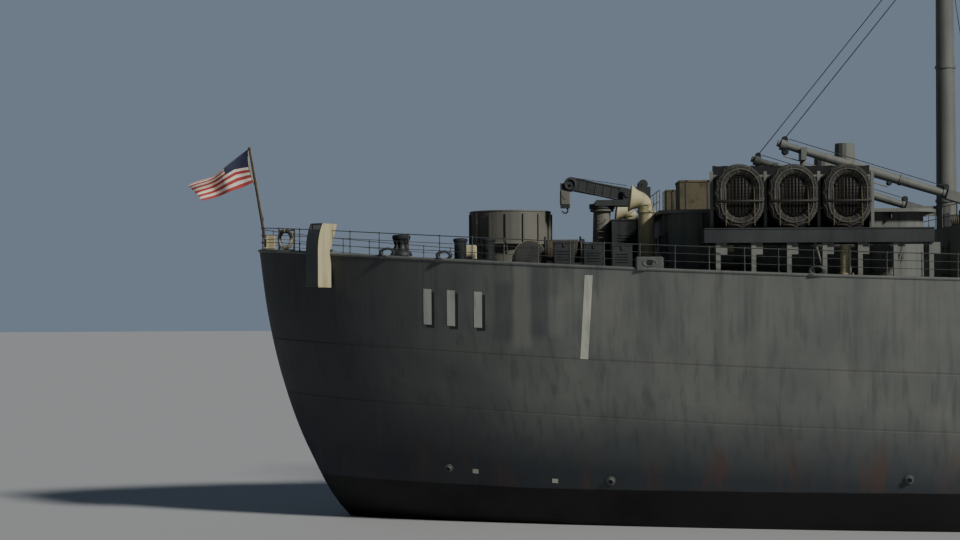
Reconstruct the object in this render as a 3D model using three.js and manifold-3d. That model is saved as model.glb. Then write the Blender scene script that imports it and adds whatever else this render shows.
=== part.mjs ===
// A grey naval troop transport ship, afloat, as a model at one tenth of its real size.
// Every length below is in metres of the real ship. +X is forward, +Y is to port, +Z is up, and the
// origin is on the waterline, amidships, on the centreline. At the end the whole ship is brought to
// millimetres at 1:10.
import * as THREE from "three";
import { mergeVertices } from "three/addons/utils/BufferGeometryUtils.js";
import Module from "manifold-3d";

const wasm = await Module();
wasm.setup();

const MODEL_SCALE = 1 / 10;
const HALF_LENGTH = 94.88;
const HALF_BEAM = 11.5;
const DRAFT = 6.1;
const DECK_AMIDSHIPS = 10.3;
const STERN_SHEER = 2.3;
const BOW_SHEER = 3.6;
const GAP = 0.003;
const RUNNING_GAP = 0.006;
const STARBOARD = -1;
const PORT = 1;
const SIDES = [
  [STARBOARD, "starboard"],
  [PORT, "port"],
];

const paint = (color, roughness = 0.7, metalness = 0.1) =>
  new THREE.MeshStandardMaterial({ color, roughness, metalness });
const HULL_GREY = paint(0x6a6e6e);
const HOUSE_GREY = paint(0x7b7f7c);
const DARK_GREY = paint(0x3c4044);
const DECK_GREY = paint(0x44484a);
const CREAM = paint(0xcfcbb0);
const BLACK = paint(0x17181a);
const BRONZE = paint(0x9a7b43, 0.35, 0.9);
const CANVAS = paint(0x7e7c68, 0.95, 0);
const CLOTH = paint(0xb8a49c, 0.95, 0);

// Closed shapes, and what joins them

function solid(geometry) {
  const bare = geometry.index ? geometry.toNonIndexed() : geometry.clone();
  bare.deleteAttribute("normal");
  bare.deleteAttribute("uv");
  const merged = mergeVertices(bare, 1e-5);
  const corners = merged.index.array;
  const triVerts = [];
  for (let i = 0; i < corners.length; i += 3) {
    const [a, b, c] = [corners[i], corners[i + 1], corners[i + 2]];
    if (a !== b && b !== c && c !== a) triVerts.push(a, b, c);
  }
  const build = () =>
    new wasm.Manifold(
      new wasm.Mesh({
        numProp: 3,
        vertProperties: merged.attributes.position.array,
        triVerts: new Uint32Array(triVerts),
      }),
    );
  const made = build();
  if (made.volume() > 0) return made;
  for (let i = 0; i < triVerts.length; i += 3)
    [triVerts[i + 1], triVerts[i + 2]] = [triVerts[i + 2], triVerts[i + 1]];
  return build();
}

const join = (...shapes) => shapes.flat().reduce((all, next) => all.add(next));

function box(x0, x1, y0, y1, z0, z1) {
  const block = new THREE.BoxGeometry(
    Math.abs(x1 - x0),
    Math.abs(y1 - y0),
    Math.abs(z1 - z0),
  );
  return solid(block.translate((x0 + x1) / 2, (y0 + y1) / 2, (z0 + z1) / 2));
}

// A round bar, straight or tapered, between two points.
function rod(from, to, radius, endRadius = radius, sides = 8) {
  const a = new THREE.Vector3(...from);
  const b = new THREE.Vector3(...to);
  const along = b.clone().sub(a);
  const geometry = new THREE.CylinderGeometry(
    endRadius,
    radius,
    along.length(),
    sides,
  );
  const turn = new THREE.Quaternion().setFromUnitVectors(
    new THREE.Vector3(0, 1, 0),
    along.clone().normalize(),
  );
  geometry.applyQuaternion(turn);
  const middle = a.add(b).multiplyScalar(0.5);
  return solid(geometry.translate(middle.x, middle.y, middle.z));
}

const post = (x, y, z0, z1, radius, endRadius = radius, sides = 8) =>
  rod([x, y, z0], [x, y, z1], radius, endRadius, sides);

// A square-sided beam between two points, deep in the plane that holds them and +Z.
function beam(from, to, width, depth) {
  const a = new THREE.Vector3(...from);
  const b = new THREE.Vector3(...to);
  const along = b.clone().sub(a);
  const length = along.length();
  const x = along.normalize();
  const y = new THREE.Vector3(0, 0, 1).cross(x).normalize();
  const z = x.clone().cross(y);
  const place = new THREE.Matrix4().makeBasis(x, y, z);
  place.setPosition(a.add(b).multiplyScalar(0.5));
  return solid(
    new THREE.BoxGeometry(length, width, depth).applyMatrix4(place),
  );
}

// A plan drawn in X and Y, raised from z0 to z1.
const slab = (shape, z0, z1, curveSegments = 4) =>
  solid(
    new THREE.ExtrudeGeometry(shape, {
      depth: z1 - z0,
      bevelEnabled: false,
      curveSegments,
    }).translate(0, 0, z0),
  );

// A profile drawn in X and Z, as wide as y0 to y1.
const sideProfile = (shape, y0, y1, curveSegments = 8) =>
  solid(
    new THREE.ExtrudeGeometry(shape, {
      depth: y1 - y0,
      bevelEnabled: false,
      curveSegments,
    })
      .rotateX(Math.PI / 2)
      .translate(0, y1, 0),
  );

const polygon = (points) =>
  new THREE.Shape(points.map(([x, y]) => new THREE.Vector2(x, y)));

function roundedPlan(x0, x1, y0, y1, radius) {
  const plan = new THREE.Shape();
  plan.moveTo(x0 + radius, y0);
  plan.lineTo(x1 - radius, y0);
  plan.absarc(x1 - radius, y0 + radius, radius, -Math.PI / 2, 0);
  plan.lineTo(x1, y1 - radius);
  plan.absarc(x1 - radius, y1 - radius, radius, 0, Math.PI / 2);
  plan.lineTo(x0 + radius, y1);
  plan.absarc(x0 + radius, y1 - radius, radius, Math.PI / 2, Math.PI);
  plan.lineTo(x0, y0 + radius);
  plan.absarc(x0 + radius, y0 + radius, radius, Math.PI, 1.5 * Math.PI);
  return plan;
}

// A skin over rings of points whose first and last rings are each closed up to a line.
function loft(rings) {
  const positions = [];
  const count = rings[0].length;
  for (let i = 0; i + 1 < rings.length; i++)
    for (let j = 0; j < count; j++) {
      const k = (j + 1) % count;
      const [a, b, c, d] = [
        rings[i][j],
        rings[i][k],
        rings[i + 1][k],
        rings[i + 1][j],
      ];
      positions.push(...a, ...b, ...c, ...a, ...c, ...d);
    }
  const geometry = new THREE.BufferGeometry();
  geometry.setAttribute(
    "position",
    new THREE.Float32BufferAttribute(positions, 3),
  );
  return solid(geometry);
}

const ship = new THREE.Group();

function add(name, shape, material) {
  const { vertProperties, triVerts } = shape.getMesh();
  const geometry = new THREE.BufferGeometry();
  geometry.setAttribute(
    "position",
    new THREE.BufferAttribute(vertProperties, 3),
  );
  geometry.setIndex(new THREE.BufferAttribute(triVerts, 1));
  geometry.computeVertexNormals();
  const mesh = new THREE.Mesh(geometry, material);
  mesh.name = name;
  ship.add(mesh);
  return shape;
}

// Hull: welded and lapped steel plate, with a round cruiser stern and a raked stem

// height: share of the draft below the waterline, or of the deck's height above it; beam: share of the
// half beam; stern and bow: where the level ends; run: how far in from that end the full beam is reached;
// round: over 1 is a blunt end, under 1 a hollow one.
const LEVEL_COLUMNS = [
  "height",
  "beam",
  "stern",
  "sternRun",
  "sternRound",
  "bow",
  "bowRun",
  "bowRound",
];
const LEVELS = [
  [-1.0, 0.8, -85.5, 62, 0.5, 84.6, 62, 0.75],
  [-0.6, 0.99, -85.6, 60, 0.62, 86.3, 64, 0.9],
  [-0.3, 1.0, -86.0, 54, 0.82, 86.7, 64, 0.95],
  [0.0, 1.0, -90.6, 48, 1.25, 87.2, 64, 1.0],
  [0.25, 1.0, -92.5, 44, 1.5, 88.7, 63, 1.02],
  [0.5, 1.0, -93.7, 41, 1.68, 90.5, 61, 1.06],
  [0.75, 1.0, -94.45, 38, 1.8, 92.5, 59, 1.12],
  [1.0, 1.0, -94.88, 36, 1.9, 94.88, 56, 1.2],
].map((row) => Object.fromEntries(LEVEL_COLUMNS.map((column, i) => [column, row[i]])));
const HULL_STATIONS = 40;
const HULL_ROWS = 12;
const STERN_SHEER_POWER = 3.6;
const BOW_SHEER_POWER = 2.2;

function deckHeight(x) {
  const share = Math.abs(x) / HALF_LENGTH;
  return x < 0
    ? DECK_AMIDSHIPS + STERN_SHEER * share ** STERN_SHEER_POWER
    : DECK_AMIDSHIPS + BOW_SHEER * share ** BOW_SHEER_POWER;
}

// One column of LEVELS at any height, on a smooth curve through the table.
function levelValue(key, height) {
  const last = LEVELS.length - 1;
  const slope = (i) => {
    const [a, b] = [LEVELS[Math.max(i - 1, 0)], LEVELS[Math.min(i + 1, last)]];
    return (b[key] - a[key]) / (b.height - a.height);
  };
  let i = 0;
  while (i < last - 1 && height > LEVELS[i + 1].height) i++;
  const [a, b] = [LEVELS[i], LEVELS[i + 1]];
  const step = b.height - a.height;
  const s = THREE.MathUtils.clamp((height - a.height) / step, 0, 1);
  return (
    a[key] * (2 * s ** 3 - 3 * s ** 2 + 1) +
    b[key] * (3 * s ** 2 - 2 * s ** 3) +
    slope(i) * step * (s ** 3 - 2 * s ** 2 + s) +
    slope(i + 1) * step * (s ** 3 - s ** 2)
  );
}

function halfBreadth(x, height) {
  const end = (distance, run, roundness) => {
    const share = THREE.MathUtils.clamp(distance / run, 0, 1);
    return (1 - (1 - share) ** 2) ** (1 / roundness);
  };
  const value = (key) => levelValue(key, height);
  return (
    HALF_BEAM *
    Math.min(value("beam"), 1) *
    end(x - value("stern"), value("sternRun"), value("sternRound")) *
    end(value("bow") - x, value("bowRun"), value("bowRound"))
  );
}

const deckHalfBreadth = (x) => halfBreadth(x, 1);

function hullSolid() {
  const rings = [];
  for (let i = 0; i <= HULL_STATIONS; i++) {
    const along = 0.5 - 0.5 * Math.cos((Math.PI * i) / HULL_STATIONS);
    const side = [];
    for (let j = 0; j <= HULL_ROWS; j++) {
      const height = 1 - (2 * j) / HULL_ROWS;
      const [stern, bow] = [levelValue("stern", height), levelValue("bow", height)];
      const x = stern + along * (bow - stern);
      const z = height * (height < 0 ? DRAFT : deckHeight(x));
      const atEnd = i === 0 || i === HULL_STATIONS;
      side.push([x, atEnd ? 0 : halfBreadth(x, height), z]);
    }
    const starboard = side.map(([x, y, z]) => [x, -y, z]);
    rings.push([...starboard, ...side.reverse()]);
  }
  return loft(rings);
}

const RUDDER_STOCK = { x: -87.9, radius: 0.3, top: -0.4, sides: 24 };
const stockBore = RUDDER_STOCK.radius + RUNNING_GAP;
const hull = hullSolid().subtract(
  post(RUDDER_STOCK.x, 0, -3, RUDDER_STOCK.top + RUNNING_GAP, stockBore, stockBore, RUDDER_STOCK.sides),
);
const hullRaised = hull.translate([0, 0, GAP]);
const onDeck = (shape) => shape.subtract(hullRaised);

// What is fixed to the hull's side or bottom lies a gap away from it, whichever way the plate faces.
const HULL_MIDDLE = [0, 0, 2];
const hullSwollen = hull
  .translate(HULL_MIDDLE.map((v) => -v))
  .scale([1 + GAP / HALF_LENGTH, 1 + GAP / 3, 1 + GAP / 6])
  .translate(HULL_MIDDLE);
const onHull = (shape) => shape.subtract(hullSwollen).subtract(hullRaised);

// A band that follows the deck's sheer, from low to high above it
function sheerBand(x0, x1, low, high) {
  const steps = 6;
  const xs = Array.from({ length: steps + 1 }, (_, i) => x0 + ((x1 - x0) * i) / steps);
  const bottom = xs.map((x) => [x, deckHeight(x) + low]);
  const top = xs.map((x) => [x, deckHeight(x) + high]).reverse();
  return sideProfile(polygon([...bottom, ...top]), -HALF_BEAM - 1, HALF_BEAM + 1);
}

const BULWARK = { start: 74, height: 1.15, thickness: 0.14, inset: 0.03 };
function bowBulwark() {
  const steps = 8;
  const outline = (inset) => {
    const tip = HALF_LENGTH - inset * 2.2;
    const edge = Array.from({ length: steps + 1 }, (_, i) => {
      const x = BULWARK.start + (tip - BULWARK.start) * Math.sin((Math.PI / 2) * (i / steps));
      return [x, i === steps ? 0 : Math.max(deckHalfBreadth(x) - inset, 0)];
    });
    return edge;
  };
  const outer = outline(BULWARK.inset);
  const inner = outline(BULWARK.inset + BULWARK.thickness);
  const starboard = (edge) => edge.map(([x, y]) => [x, -y]);
  const wall = [
    ...starboard(outer),
    ...outer.slice(0, -1).reverse(),
    ...inner,
    ...starboard(inner).slice(0, -1).reverse(),
  ];
  return slab(polygon(wall), 8, 18).intersect(
    sheerBand(BULWARK.start - 1, HALF_LENGTH + 1, -0.5, BULWARK.height),
  );
}

const BILGE_KEEL = { length: 52, y: 10.9, z: -5.2, width: 1.5, thickness: 0.12 };
const bilgeKeels = SIDES.map(([side]) => {
  const { length, width, thickness, y, z } = BILGE_KEEL;
  const plate = new THREE.BoxGeometry(length, width, thickness)
    .rotateX((side * -Math.PI) / 4)
    .translate(0, side * y, z);
  return solid(plate);
});

const CAPSTAN = { x: -88.0, y: -3.0, height: 1.0, seat: deckHeight(-88) + 0.18, seatRadius: 0.62 };
const capstanSeat = post(
  CAPSTAN.x,
  CAPSTAN.y,
  CAPSTAN.seat - 0.8,
  CAPSTAN.seat,
  CAPSTAN.seatRadius,
  CAPSTAN.seatRadius,
  20,
);

add("hull", join(hull, bowBulwark(), bilgeKeels, capstanSeat), HULL_GREY);

// Steering and propulsion: one balanced rudder, and two shafts carried by V struts

const RUDDER = { fore: -86.5, aft: -90.7, top: -1.9, bottom: -5.9, thickness: 0.62 };
function rudder() {
  const { fore, aft, thickness } = RUDDER;
  const foil = new THREE.Shape();
  foil.moveTo(aft, 0.04);
  foil.quadraticCurveTo(fore - 1.6, thickness * 0.62, fore - 0.35, thickness * 0.4);
  foil.quadraticCurveTo(fore, 0.16, fore, 0);
  foil.quadraticCurveTo(fore, -0.16, fore - 0.35, -thickness * 0.4);
  foil.quadraticCurveTo(fore - 1.6, -thickness * 0.62, aft, -0.04);
  const { x, radius, top, sides } = RUDDER_STOCK;
  const stock = post(x, 0, RUDDER.top - 0.5, top, radius, radius, sides);
  return slab(foil, RUDDER.bottom, RUDDER.top).add(stock);
}
add("rudder", rudder(), HULL_GREY);

const SHAFT = {
  y: 3.9,
  z: -3.55,
  radius: 0.3,
  inside: -64,
  end: -83.1,
  strutX: -82.3,
  // how far from the centreline and how high each arm of the V meets the hull
  strutTops: [
    [0.5, -1.2],
    [3.4, -0.1],
  ],
};
const PROPELLER = { radius: 2.35, hubRadius: 0.48, hubLength: 1.0, blades: 4, pitchAngle: 0.62 };

function shaftAndStrut(side) {
  const y = side * SHAFT.y;
  const barrel = rod([SHAFT.strutX + 0.7, y, SHAFT.z], [SHAFT.end, y, SHAFT.z], 0.55, 0.5, 16);
  const arms = SHAFT.strutTops.map(([across, up]) =>
    beam([SHAFT.strutX, y, SHAFT.z], [SHAFT.strutX, side * across, up], 0.6, 0.16),
  );
  const bar = rod([SHAFT.inside, y, SHAFT.z], [SHAFT.end, y, SHAFT.z], SHAFT.radius, SHAFT.radius, 16);
  return onHull(join(bar, barrel, arms));
}

function propeller(side) {
  const blade = new THREE.Shape();
  blade.moveTo(-0.3, 0.25);
  blade.bezierCurveTo(-1.25, 0.9, -1.15, 2.1, -0.1, PROPELLER.radius);
  blade.bezierCurveTo(0.95, 2.15, 0.95, 0.9, 0.3, 0.25);
  const blades = Array.from({ length: PROPELLER.blades }, (_, i) =>
    solid(
      new THREE.ExtrudeGeometry(blade, { depth: 0.12, bevelEnabled: false, curveSegments: 5 })
        .translate(0, 0, -0.06)
        .rotateY(Math.PI / 2 - side * PROPELLER.pitchAngle)
        .rotateX(Math.PI / 2 + (i * 2 * Math.PI) / PROPELLER.blades),
    ),
  );
  const profile = [
    [0, -PROPELLER.hubLength / 2],
    [PROPELLER.hubRadius, -PROPELLER.hubLength / 2],
    [PROPELLER.hubRadius * 0.92, PROPELLER.hubLength / 2],
    [0.28, PROPELLER.hubLength * 0.85],
    [0, PROPELLER.hubLength],
  ].map(([r, h]) => new THREE.Vector2(r, h));
  const hub = solid(new THREE.LatheGeometry(profile, 16).rotateZ(Math.PI / 2));
  return join(hub, blades).translate([
    SHAFT.end - RUNNING_GAP - PROPELLER.hubLength / 2,
    side * SHAFT.y,
    SHAFT.z,
  ]);
}

for (const [side, name] of SIDES) {
  add("shaft_and_strut_" + name, shaftAndStrut(side), HULL_GREY);
  add("propeller_" + name, propeller(side), BRONZE);
}

// Superstructure: three tiers of steel deckhouses under two funnels, with the bridge forward

const DECK_PLATE = 0.15;
const DECK_EDGE = 11.3;
const TIER_1 = { floor: 9.6, roof: 13.0 };
const TIER_2 = { floor: TIER_1.roof + DECK_PLATE + GAP, roof: 15.7 };
const TIER_3 = { floor: TIER_2.roof + DECK_PLATE + GAP, roof: 18.3 };
const BRIDGE_DECK = 18.45;

// A house with rounded corners and a roof plate that reaches out over the side walks on square posts.
function tier({ x0, x1, halfWidth, corner, floor, roof, plate, postPitch }) {
  const walls = slab(roundedPlan(x0, x1, -halfWidth, halfWidth, corner), floor, roof);
  const [a, b] = plate;
  const cover = slab(roundedPlan(a, b, -DECK_EDGE, DECK_EDGE, corner), roof, roof + DECK_PLATE);
  const posts = [];
  for (let x = a + corner; x <= b - corner; x += postPitch)
    for (const [side] of SIDES) {
      const y = side * (DECK_EDGE - 0.25);
      const foot = Math.max(floor, deckHeight(x) - 0.1);
      posts.push(box(x - 0.09, x + 0.09, y - 0.09, y + 0.09, foot, roof + 0.02));
    }
  return join(walls, cover, posts);
}

const MAIN_HOUSE = { x0: -52, x1: 50, halfWidth: 9.2, corner: 3, plate: [-54, 51], postPitch: 9 };
add("main_deckhouse", onDeck(tier({ ...MAIN_HOUSE, ...TIER_1 })), HOUSE_GREY);
const UPPER_HOUSE = { x0: -47, x1: 46, halfWidth: 8.0, corner: 2.5, plate: [-50, 47], postPitch: 9 };
const CASING = { x0: -41, x1: 25, halfWidth: 4.6, corner: 1.5 };
const casing = slab(
  roundedPlan(CASING.x0, CASING.x1, -CASING.halfWidth, CASING.halfWidth, CASING.corner),
  TIER_2.roof,
  TIER_3.roof,
);
add("upper_deckhouse", join(tier({ ...UPPER_HOUSE, ...TIER_2 }), casing), HOUSE_GREY);

const BRIDGE = {
  x0: 26,
  x1: 44,
  halfWidth: 7.6,
  corner: 1.6,
  wing: { x0: 35, x1: 45, half: 11.4, corner: 1.2, screen: 1.3, plate: 0.15 },
  wheelhouse: { x0: 33, x1: 42.4, half: 5.8, corner: 1.4, top: 21.2, eaves: 0.4, roof: 0.16 },
};
function bridgeHouse() {
  const { x0, x1, halfWidth, wing, wheelhouse } = BRIDGE;
  const lowerPlan = roundedPlan(x0, x1, -halfWidth, halfWidth, BRIDGE.corner);
  const lower = slab(lowerPlan, TIER_3.floor, BRIDGE_DECK);
  const wingPlan = (inset) =>
    roundedPlan(
      wing.x0 + inset,
      wing.x1 - inset,
      -wing.half + inset,
      wing.half - inset,
      wing.corner - inset * 0.7,
    );
  const deck = slab(wingPlan(0), BRIDGE_DECK, BRIDGE_DECK + DECK_PLATE);
  const screen = slab(wingPlan(0), BRIDGE_DECK, BRIDGE_DECK + wing.screen)
    .subtract(slab(wingPlan(wing.plate), BRIDGE_DECK, BRIDGE_DECK + wing.screen + 1))
    .subtract(box(wing.x0 - 1, wing.x0 + 0.5, -halfWidth, halfWidth, BRIDGE_DECK, BRIDGE_DECK + 2));
  const houseSlab = (grow, z0, z1) => {
    const { x0: aft, x1: fore, half } = wheelhouse;
    const corner = wheelhouse.corner + grow / 2;
    const plan = roundedPlan(aft - grow, fore + grow, -half - grow, half + grow, corner);
    return slab(plan, z0, z1);
  };
  const house = houseSlab(0, BRIDGE_DECK, wheelhouse.top);
  const roof = houseSlab(wheelhouse.eaves, wheelhouse.top, wheelhouse.top + wheelhouse.roof);
  const wingPosts = SIDES.map(([side]) =>
    post(wing.x1 - 5, side * (wing.half - 0.8), TIER_3.floor, BRIDGE_DECK + 0.05, 0.14),
  );
  return join(lower, deck, screen, house, roof, wingPosts);
}
add("bridge_house", bridgeHouse(), HOUSE_GREY);

const FUNNEL = { halfLength: 3.5, halfWidth: 2.25, height: 9.2, rake: -0.07, lip: 0.14, capHeight: 0.9 };
function funnel(x) {
  const { halfLength, halfWidth, height, lip, capHeight } = FUNNEL;
  const oval = (grow) => {
    const shape = new THREE.Shape();
    shape.absellipse(0, 0, halfLength + grow, halfWidth + grow, 0, 2 * Math.PI);
    return shape;
  };
  const leaning = (shape) =>
    shape.transform([1, 0, 0, 0, 0, 1, 0, 0, FUNNEL.rake, 0, 1, 0, 0, 0, 0, 1]);
  const stack = join(
    slab(oval(0), 0, height, 12),
    slab(oval(lip), height - capHeight, height - 0.1, 12),
    slab(oval(lip), 1.2, 1.4, 12),
  ).subtract(slab(oval(-0.35), height - 1.2, height + 1, 12));
  return leaning(stack).translate([x, 0, TIER_3.roof + GAP]);
}
add("funnel_forward", funnel(11), HOUSE_GREY);
add("funnel_aft", funnel(-20), HOUSE_GREY);

// Masts

const FOREMAST = {
  x: 37.5,
  foot: BRIDGE.wheelhouse.top + BRIDGE.wheelhouse.roof + GAP,
  top: 40,
  nest: 31.4,
  // height and half length of each yard
  yards: [
    [33.4, 6.2],
    [36.6, 4.2],
  ],
};
function foremast() {
  const { x, foot, top, nest: nestFloor } = FOREMAST;
  const legs = SIDES.map(([side]) =>
    rod([x - 2.6, side * 2.2, foot], [x - 0.1, 0, nestFloor + 0.1], 0.2, 0.16, 8),
  );
  const yards = FOREMAST.yards.map(([z, half]) => rod([x, -half, z], [x, half, z], 0.14, 0.14, 8));
  const nest = post(x, 0, nestFloor, nestFloor + 1.2, 1.15, 1.3, 12).subtract(
    post(x, 0, nestFloor + 0.15, nestFloor + 1.6, 1.03, 1.18, 12),
  );
  const radarShelf = box(x - 0.7, x + 1.5, -0.7, 0.7, 38.2, 38.35);
  return join(post(x, 0, foot, top, 0.42, 0.2, 12), legs, yards, nest, radarShelf).subtract(
    box(x - 5, x + 5, -5, 5, foot - 2, foot),
  );
}
add("foremast", foremast(), HOUSE_GREY);

const RADAR = { x: FOREMAST.x, foot: FOREMAST.top + RUNNING_GAP, span: 3.6 };
function radarAntenna() {
  const { x, foot, span } = RADAR;
  const bowl = new THREE.Shape();
  bowl.absarc(x - 2.2, 0, 2.85, -0.66, 0.66);
  bowl.absarc(x - 2.2, 0, 2.75, 0.66, -0.66, true);
  const reflector = slab(bowl, foot + 0.35, foot + 1.35, 8);
  const hub = post(x, 0, foot, foot + 0.5, 0.24, 0.2, 12);
  const arm = box(x, x + 0.62, -0.07, 0.07, foot + 0.38, foot + 0.52);
  const stay = box(x + 0.02, x + 0.14, -span / 2.6, span / 2.6, foot + 0.4, foot + 0.5);
  return join(reflector, hub, arm, stay);
}
add("radar_antenna", radarAntenna(), HOUSE_GREY);

const MAINMAST = { x: -36, foot: TIER_3.roof + GAP, top: 36 };
function mainmast() {
  const { x, foot, top } = MAINMAST;
  const legs = SIDES.map(([side]) => rod([x + 2.4, side * 1.9, foot], [x + 0.1, 0, 27.5], 0.18, 0.14, 8));
  const yard = rod([x, -4.4, 30.5], [x, 4.4, 30.5], 0.13, 0.13, 8);
  return join(post(x, 0, foot, top, 0.38, 0.16, 12), legs, yard).subtract(
    box(x - 5, x + 5, -5, 5, foot - 2, foot),
  );
}
add("mainmast", mainmast(), HOUSE_GREY);

// Cargo gear: a pair of kingposts before and abaft the houses, each post with its boom

const BOOM = { pinRadius: 0.13, lugThickness: 0.2, reach: 1.15, forkGap: 0.012, middle: 0.24 };
const GEAR = {
  forward: {
    x: 60,
    y: 5.2,
    top: 26.5,
    heelZ: 15.6,
    houseTop: 14.6,
    facing: 1,
    rise: 0.14,
    boomLength: 15.5,
    restAt: 13.2,
  },
  aft: {
    x: -61,
    y: 4.6,
    top: 29,
    heelZ: 14.6,
    houseTop: 13.5,
    facing: -1,
    rise: 0.3,
    boomLength: 9.0,
    restAt: 7.8,
  },
};
const heelX = (gear) => gear.x + gear.facing * BOOM.reach;
const boomPoint = (gear, along) => [
  heelX(gear) + gear.facing * along * Math.cos(gear.rise),
  gear.heelZ + along * Math.sin(gear.rise),
];

function kingposts(gear) {
  const { x, y, top, heelZ, houseTop, facing } = gear;
  const floor = deckHeight(x) - 0.5;
  const pinX = heelX(gear);
  const bore = BOOM.pinRadius + RUNNING_GAP;
  const half = BOOM.lugThickness / 2;
  const parts = SIDES.map(([side]) => {
    const middle = side * y;
    const lug = box(x, pinX + facing * 0.2, middle - half, middle + half, heelZ - 0.25, heelZ + 0.25);
    const hole = rod([pinX, middle - 1, heelZ], [pinX, middle + 1, heelZ], bore, bore, 16);
    return join(
      post(x, middle, floor, top, 0.55, 0.42, 12),
      post(x, middle, top - 0.02, top + 0.35, 0.62, 0.5, 12),
      lug.subtract(hole),
    );
  });
  const crosstree = box(x - 0.35, x + 0.35, -y, y, top - 1.3, top - 0.6);
  const house = slab(roundedPlan(x - 1.5, x + 1.5, -y - 1.2, y + 1.2, 0.5), floor, houseTop);
  return onDeck(join(parts, crosstree, house));
}

function boom(gear, side) {
  const y = side * gear.y;
  const at = (along, across = 0) => {
    const [x, z] = boomPoint(gear, along);
    return [x, y + across, z];
  };
  const cheek = BOOM.lugThickness / 2 + BOOM.forkGap;
  const fork = [-1, 1].map((s) => {
    const middle = s * (cheek + 0.08);
    return beam(at(-0.2, middle), at(0.9, middle), 0.16, 0.44);
  });
  const pin = rod(at(0, -cheek - 0.2), at(0, cheek + 0.2), BOOM.pinRadius, BOOM.pinRadius, 16);
  const yoke = beam(at(0.62), at(0.95), 2 * cheek + 0.32, 0.44);
  const { boomLength } = gear;
  const spar = rod(at(0.9), at(boomLength / 2), 0.18, BOOM.middle, 10);
  const tip = rod(at(boomLength / 2), at(boomLength), BOOM.middle, 0.15, 10);
  const band = rod(at(boomLength - 0.45), at(boomLength - 0.15), 0.27, 0.27, 10);
  return join(fork, pin, yoke, spar, tip, band);
}

// A post whose round notch takes the resting boom.
function boomRest(gear, side, foot) {
  const [x, z] = boomPoint(gear, gear.restAt);
  const y = side * gear.y;
  const radius = BOOM.middle + GAP * 2;
  const head = box(x - 0.12, x + 0.12, y - 0.42, y + 0.42, z - 0.45, z + 0.12);
  const [before, beyond] = [gear.restAt - 1, gear.restAt + 1].map((along) => {
    const [px, pz] = boomPoint(gear, along);
    return [px, y, pz];
  });
  const notch = rod(before, beyond, radius, radius, 16);
  const above = box(x - 1, x + 1, y - radius, y + radius, z, z + 1);
  return join(post(x, y, foot, z - 0.3, 0.16, 0.12, 8), head).subtract(notch).subtract(above);
}

for (const [place, gear] of Object.entries(GEAR)) {
  add("kingposts_" + place, kingposts(gear), HOUSE_GREY);
  for (const [side, name] of SIDES)
    add("cargo_boom_" + place + "_" + name, boom(gear, side), HOUSE_GREY);
}

// Hatches: a coaming under canvas

const HATCH = { coaming: 1.0, cover: 0.12, skirt: 0.25, corner: 0.3 };
function hatch(x0, x1, half) {
  const { coaming, cover, skirt, corner } = HATCH;
  const deck = deckHeight((x0 + x1) / 2);
  const top = deck + coaming;
  const walls = box(x0, x1, -half, half, deck - 0.6, top);
  const plan = roundedPlan(x0 - cover, x1 + cover, -half - cover, half + cover, corner);
  return onDeck(join(walls, slab(plan, top - skirt, top + cover)));
}
add("cargo_hatch_forward", hatch(63.4, 71.4, 3.1), CANVAS);
add("cargo_hatch_bow", hatch(76.0, 79.6, 1.9), CANVAS);

// A breakwater across the fore deck, which also carries the rests of the forward booms
const BREAKWATER = { halfWidth: 6.8, height: 1.35, plate: 0.12, brackets: [-6.4, -3.4, 0, 3.4, 6.4] };
function breakwater() {
  const { halfWidth, height, plate } = BREAKWATER;
  const x = boomPoint(GEAR.forward, GEAR.forward.restAt)[0];
  const floor = deckHeight(x);
  const wall = box(x - plate / 2, x + plate / 2, -halfWidth, halfWidth, floor - 0.5, floor + height);
  const brackets = BREAKWATER.brackets.map((y) =>
    sideProfile(
      polygon([
        [x - 0.8, floor - 0.4],
        [x, floor - 0.4],
        [x, floor + 1.3],
      ]),
      y - 0.05,
      y + 0.05,
    ),
  );
  const rests = SIDES.map(([side]) => boomRest(GEAR.forward, side, floor - 0.4));
  return onDeck(join(wall, brackets, rests));
}
add("breakwater", breakwater(), HOUSE_GREY);

// After deckhouse, with the rests of the after booms on its roof

const AFTER_HOUSE = {
  x0: -75.9,
  x1: -64.4,
  halfWidth: 7.0,
  corner: 1.2,
  roof: 13.95,
  eaves: 0.45,
  locker: { x0: -75.2, x1: -73.6, inner: 2.4, outer: 4.4, height: 1.6 },
  mushroom: { x: -67.4, y: 3.0, pipe: 0.3, head: 0.5, rise: 2.5, deep: 0.9 },
};
function afterDeckhouse() {
  const { x0, x1, halfWidth, corner, roof, eaves, locker, mushroom } = AFTER_HOUSE;
  const outline = (grow) =>
    roundedPlan(x0 - grow, x1 + grow, -halfWidth - grow, halfWidth + grow, corner);
  const walls = slab(outline(0), 10.3, roof);
  const cover = slab(outline(eaves), roof, roof + DECK_PLATE);
  const rests = SIDES.map(([side]) => boomRest(GEAR.aft, side, roof));
  const lockers = SIDES.map(([side]) => {
    const [inner, outer] = [side * locker.inner, side * locker.outer];
    return box(locker.x0, locker.x1, inner, outer, roof, roof + locker.height);
  });
  const mushrooms = SIDES.map(([side]) => {
    const { x, pipe, head, rise, deep } = mushroom;
    const y = side * mushroom.y;
    const cap = post(x, y, roof + rise, roof + rise + deep, head, head * 0.9, 16);
    return post(x, y, roof, roof + rise + 0.1, pipe, pipe, 12).add(cap);
  });
  return onDeck(join(walls, cover, rests, lockers, mushrooms));
}
add("after_deckhouse", afterDeckhouse(), HOUSE_GREY);

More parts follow.
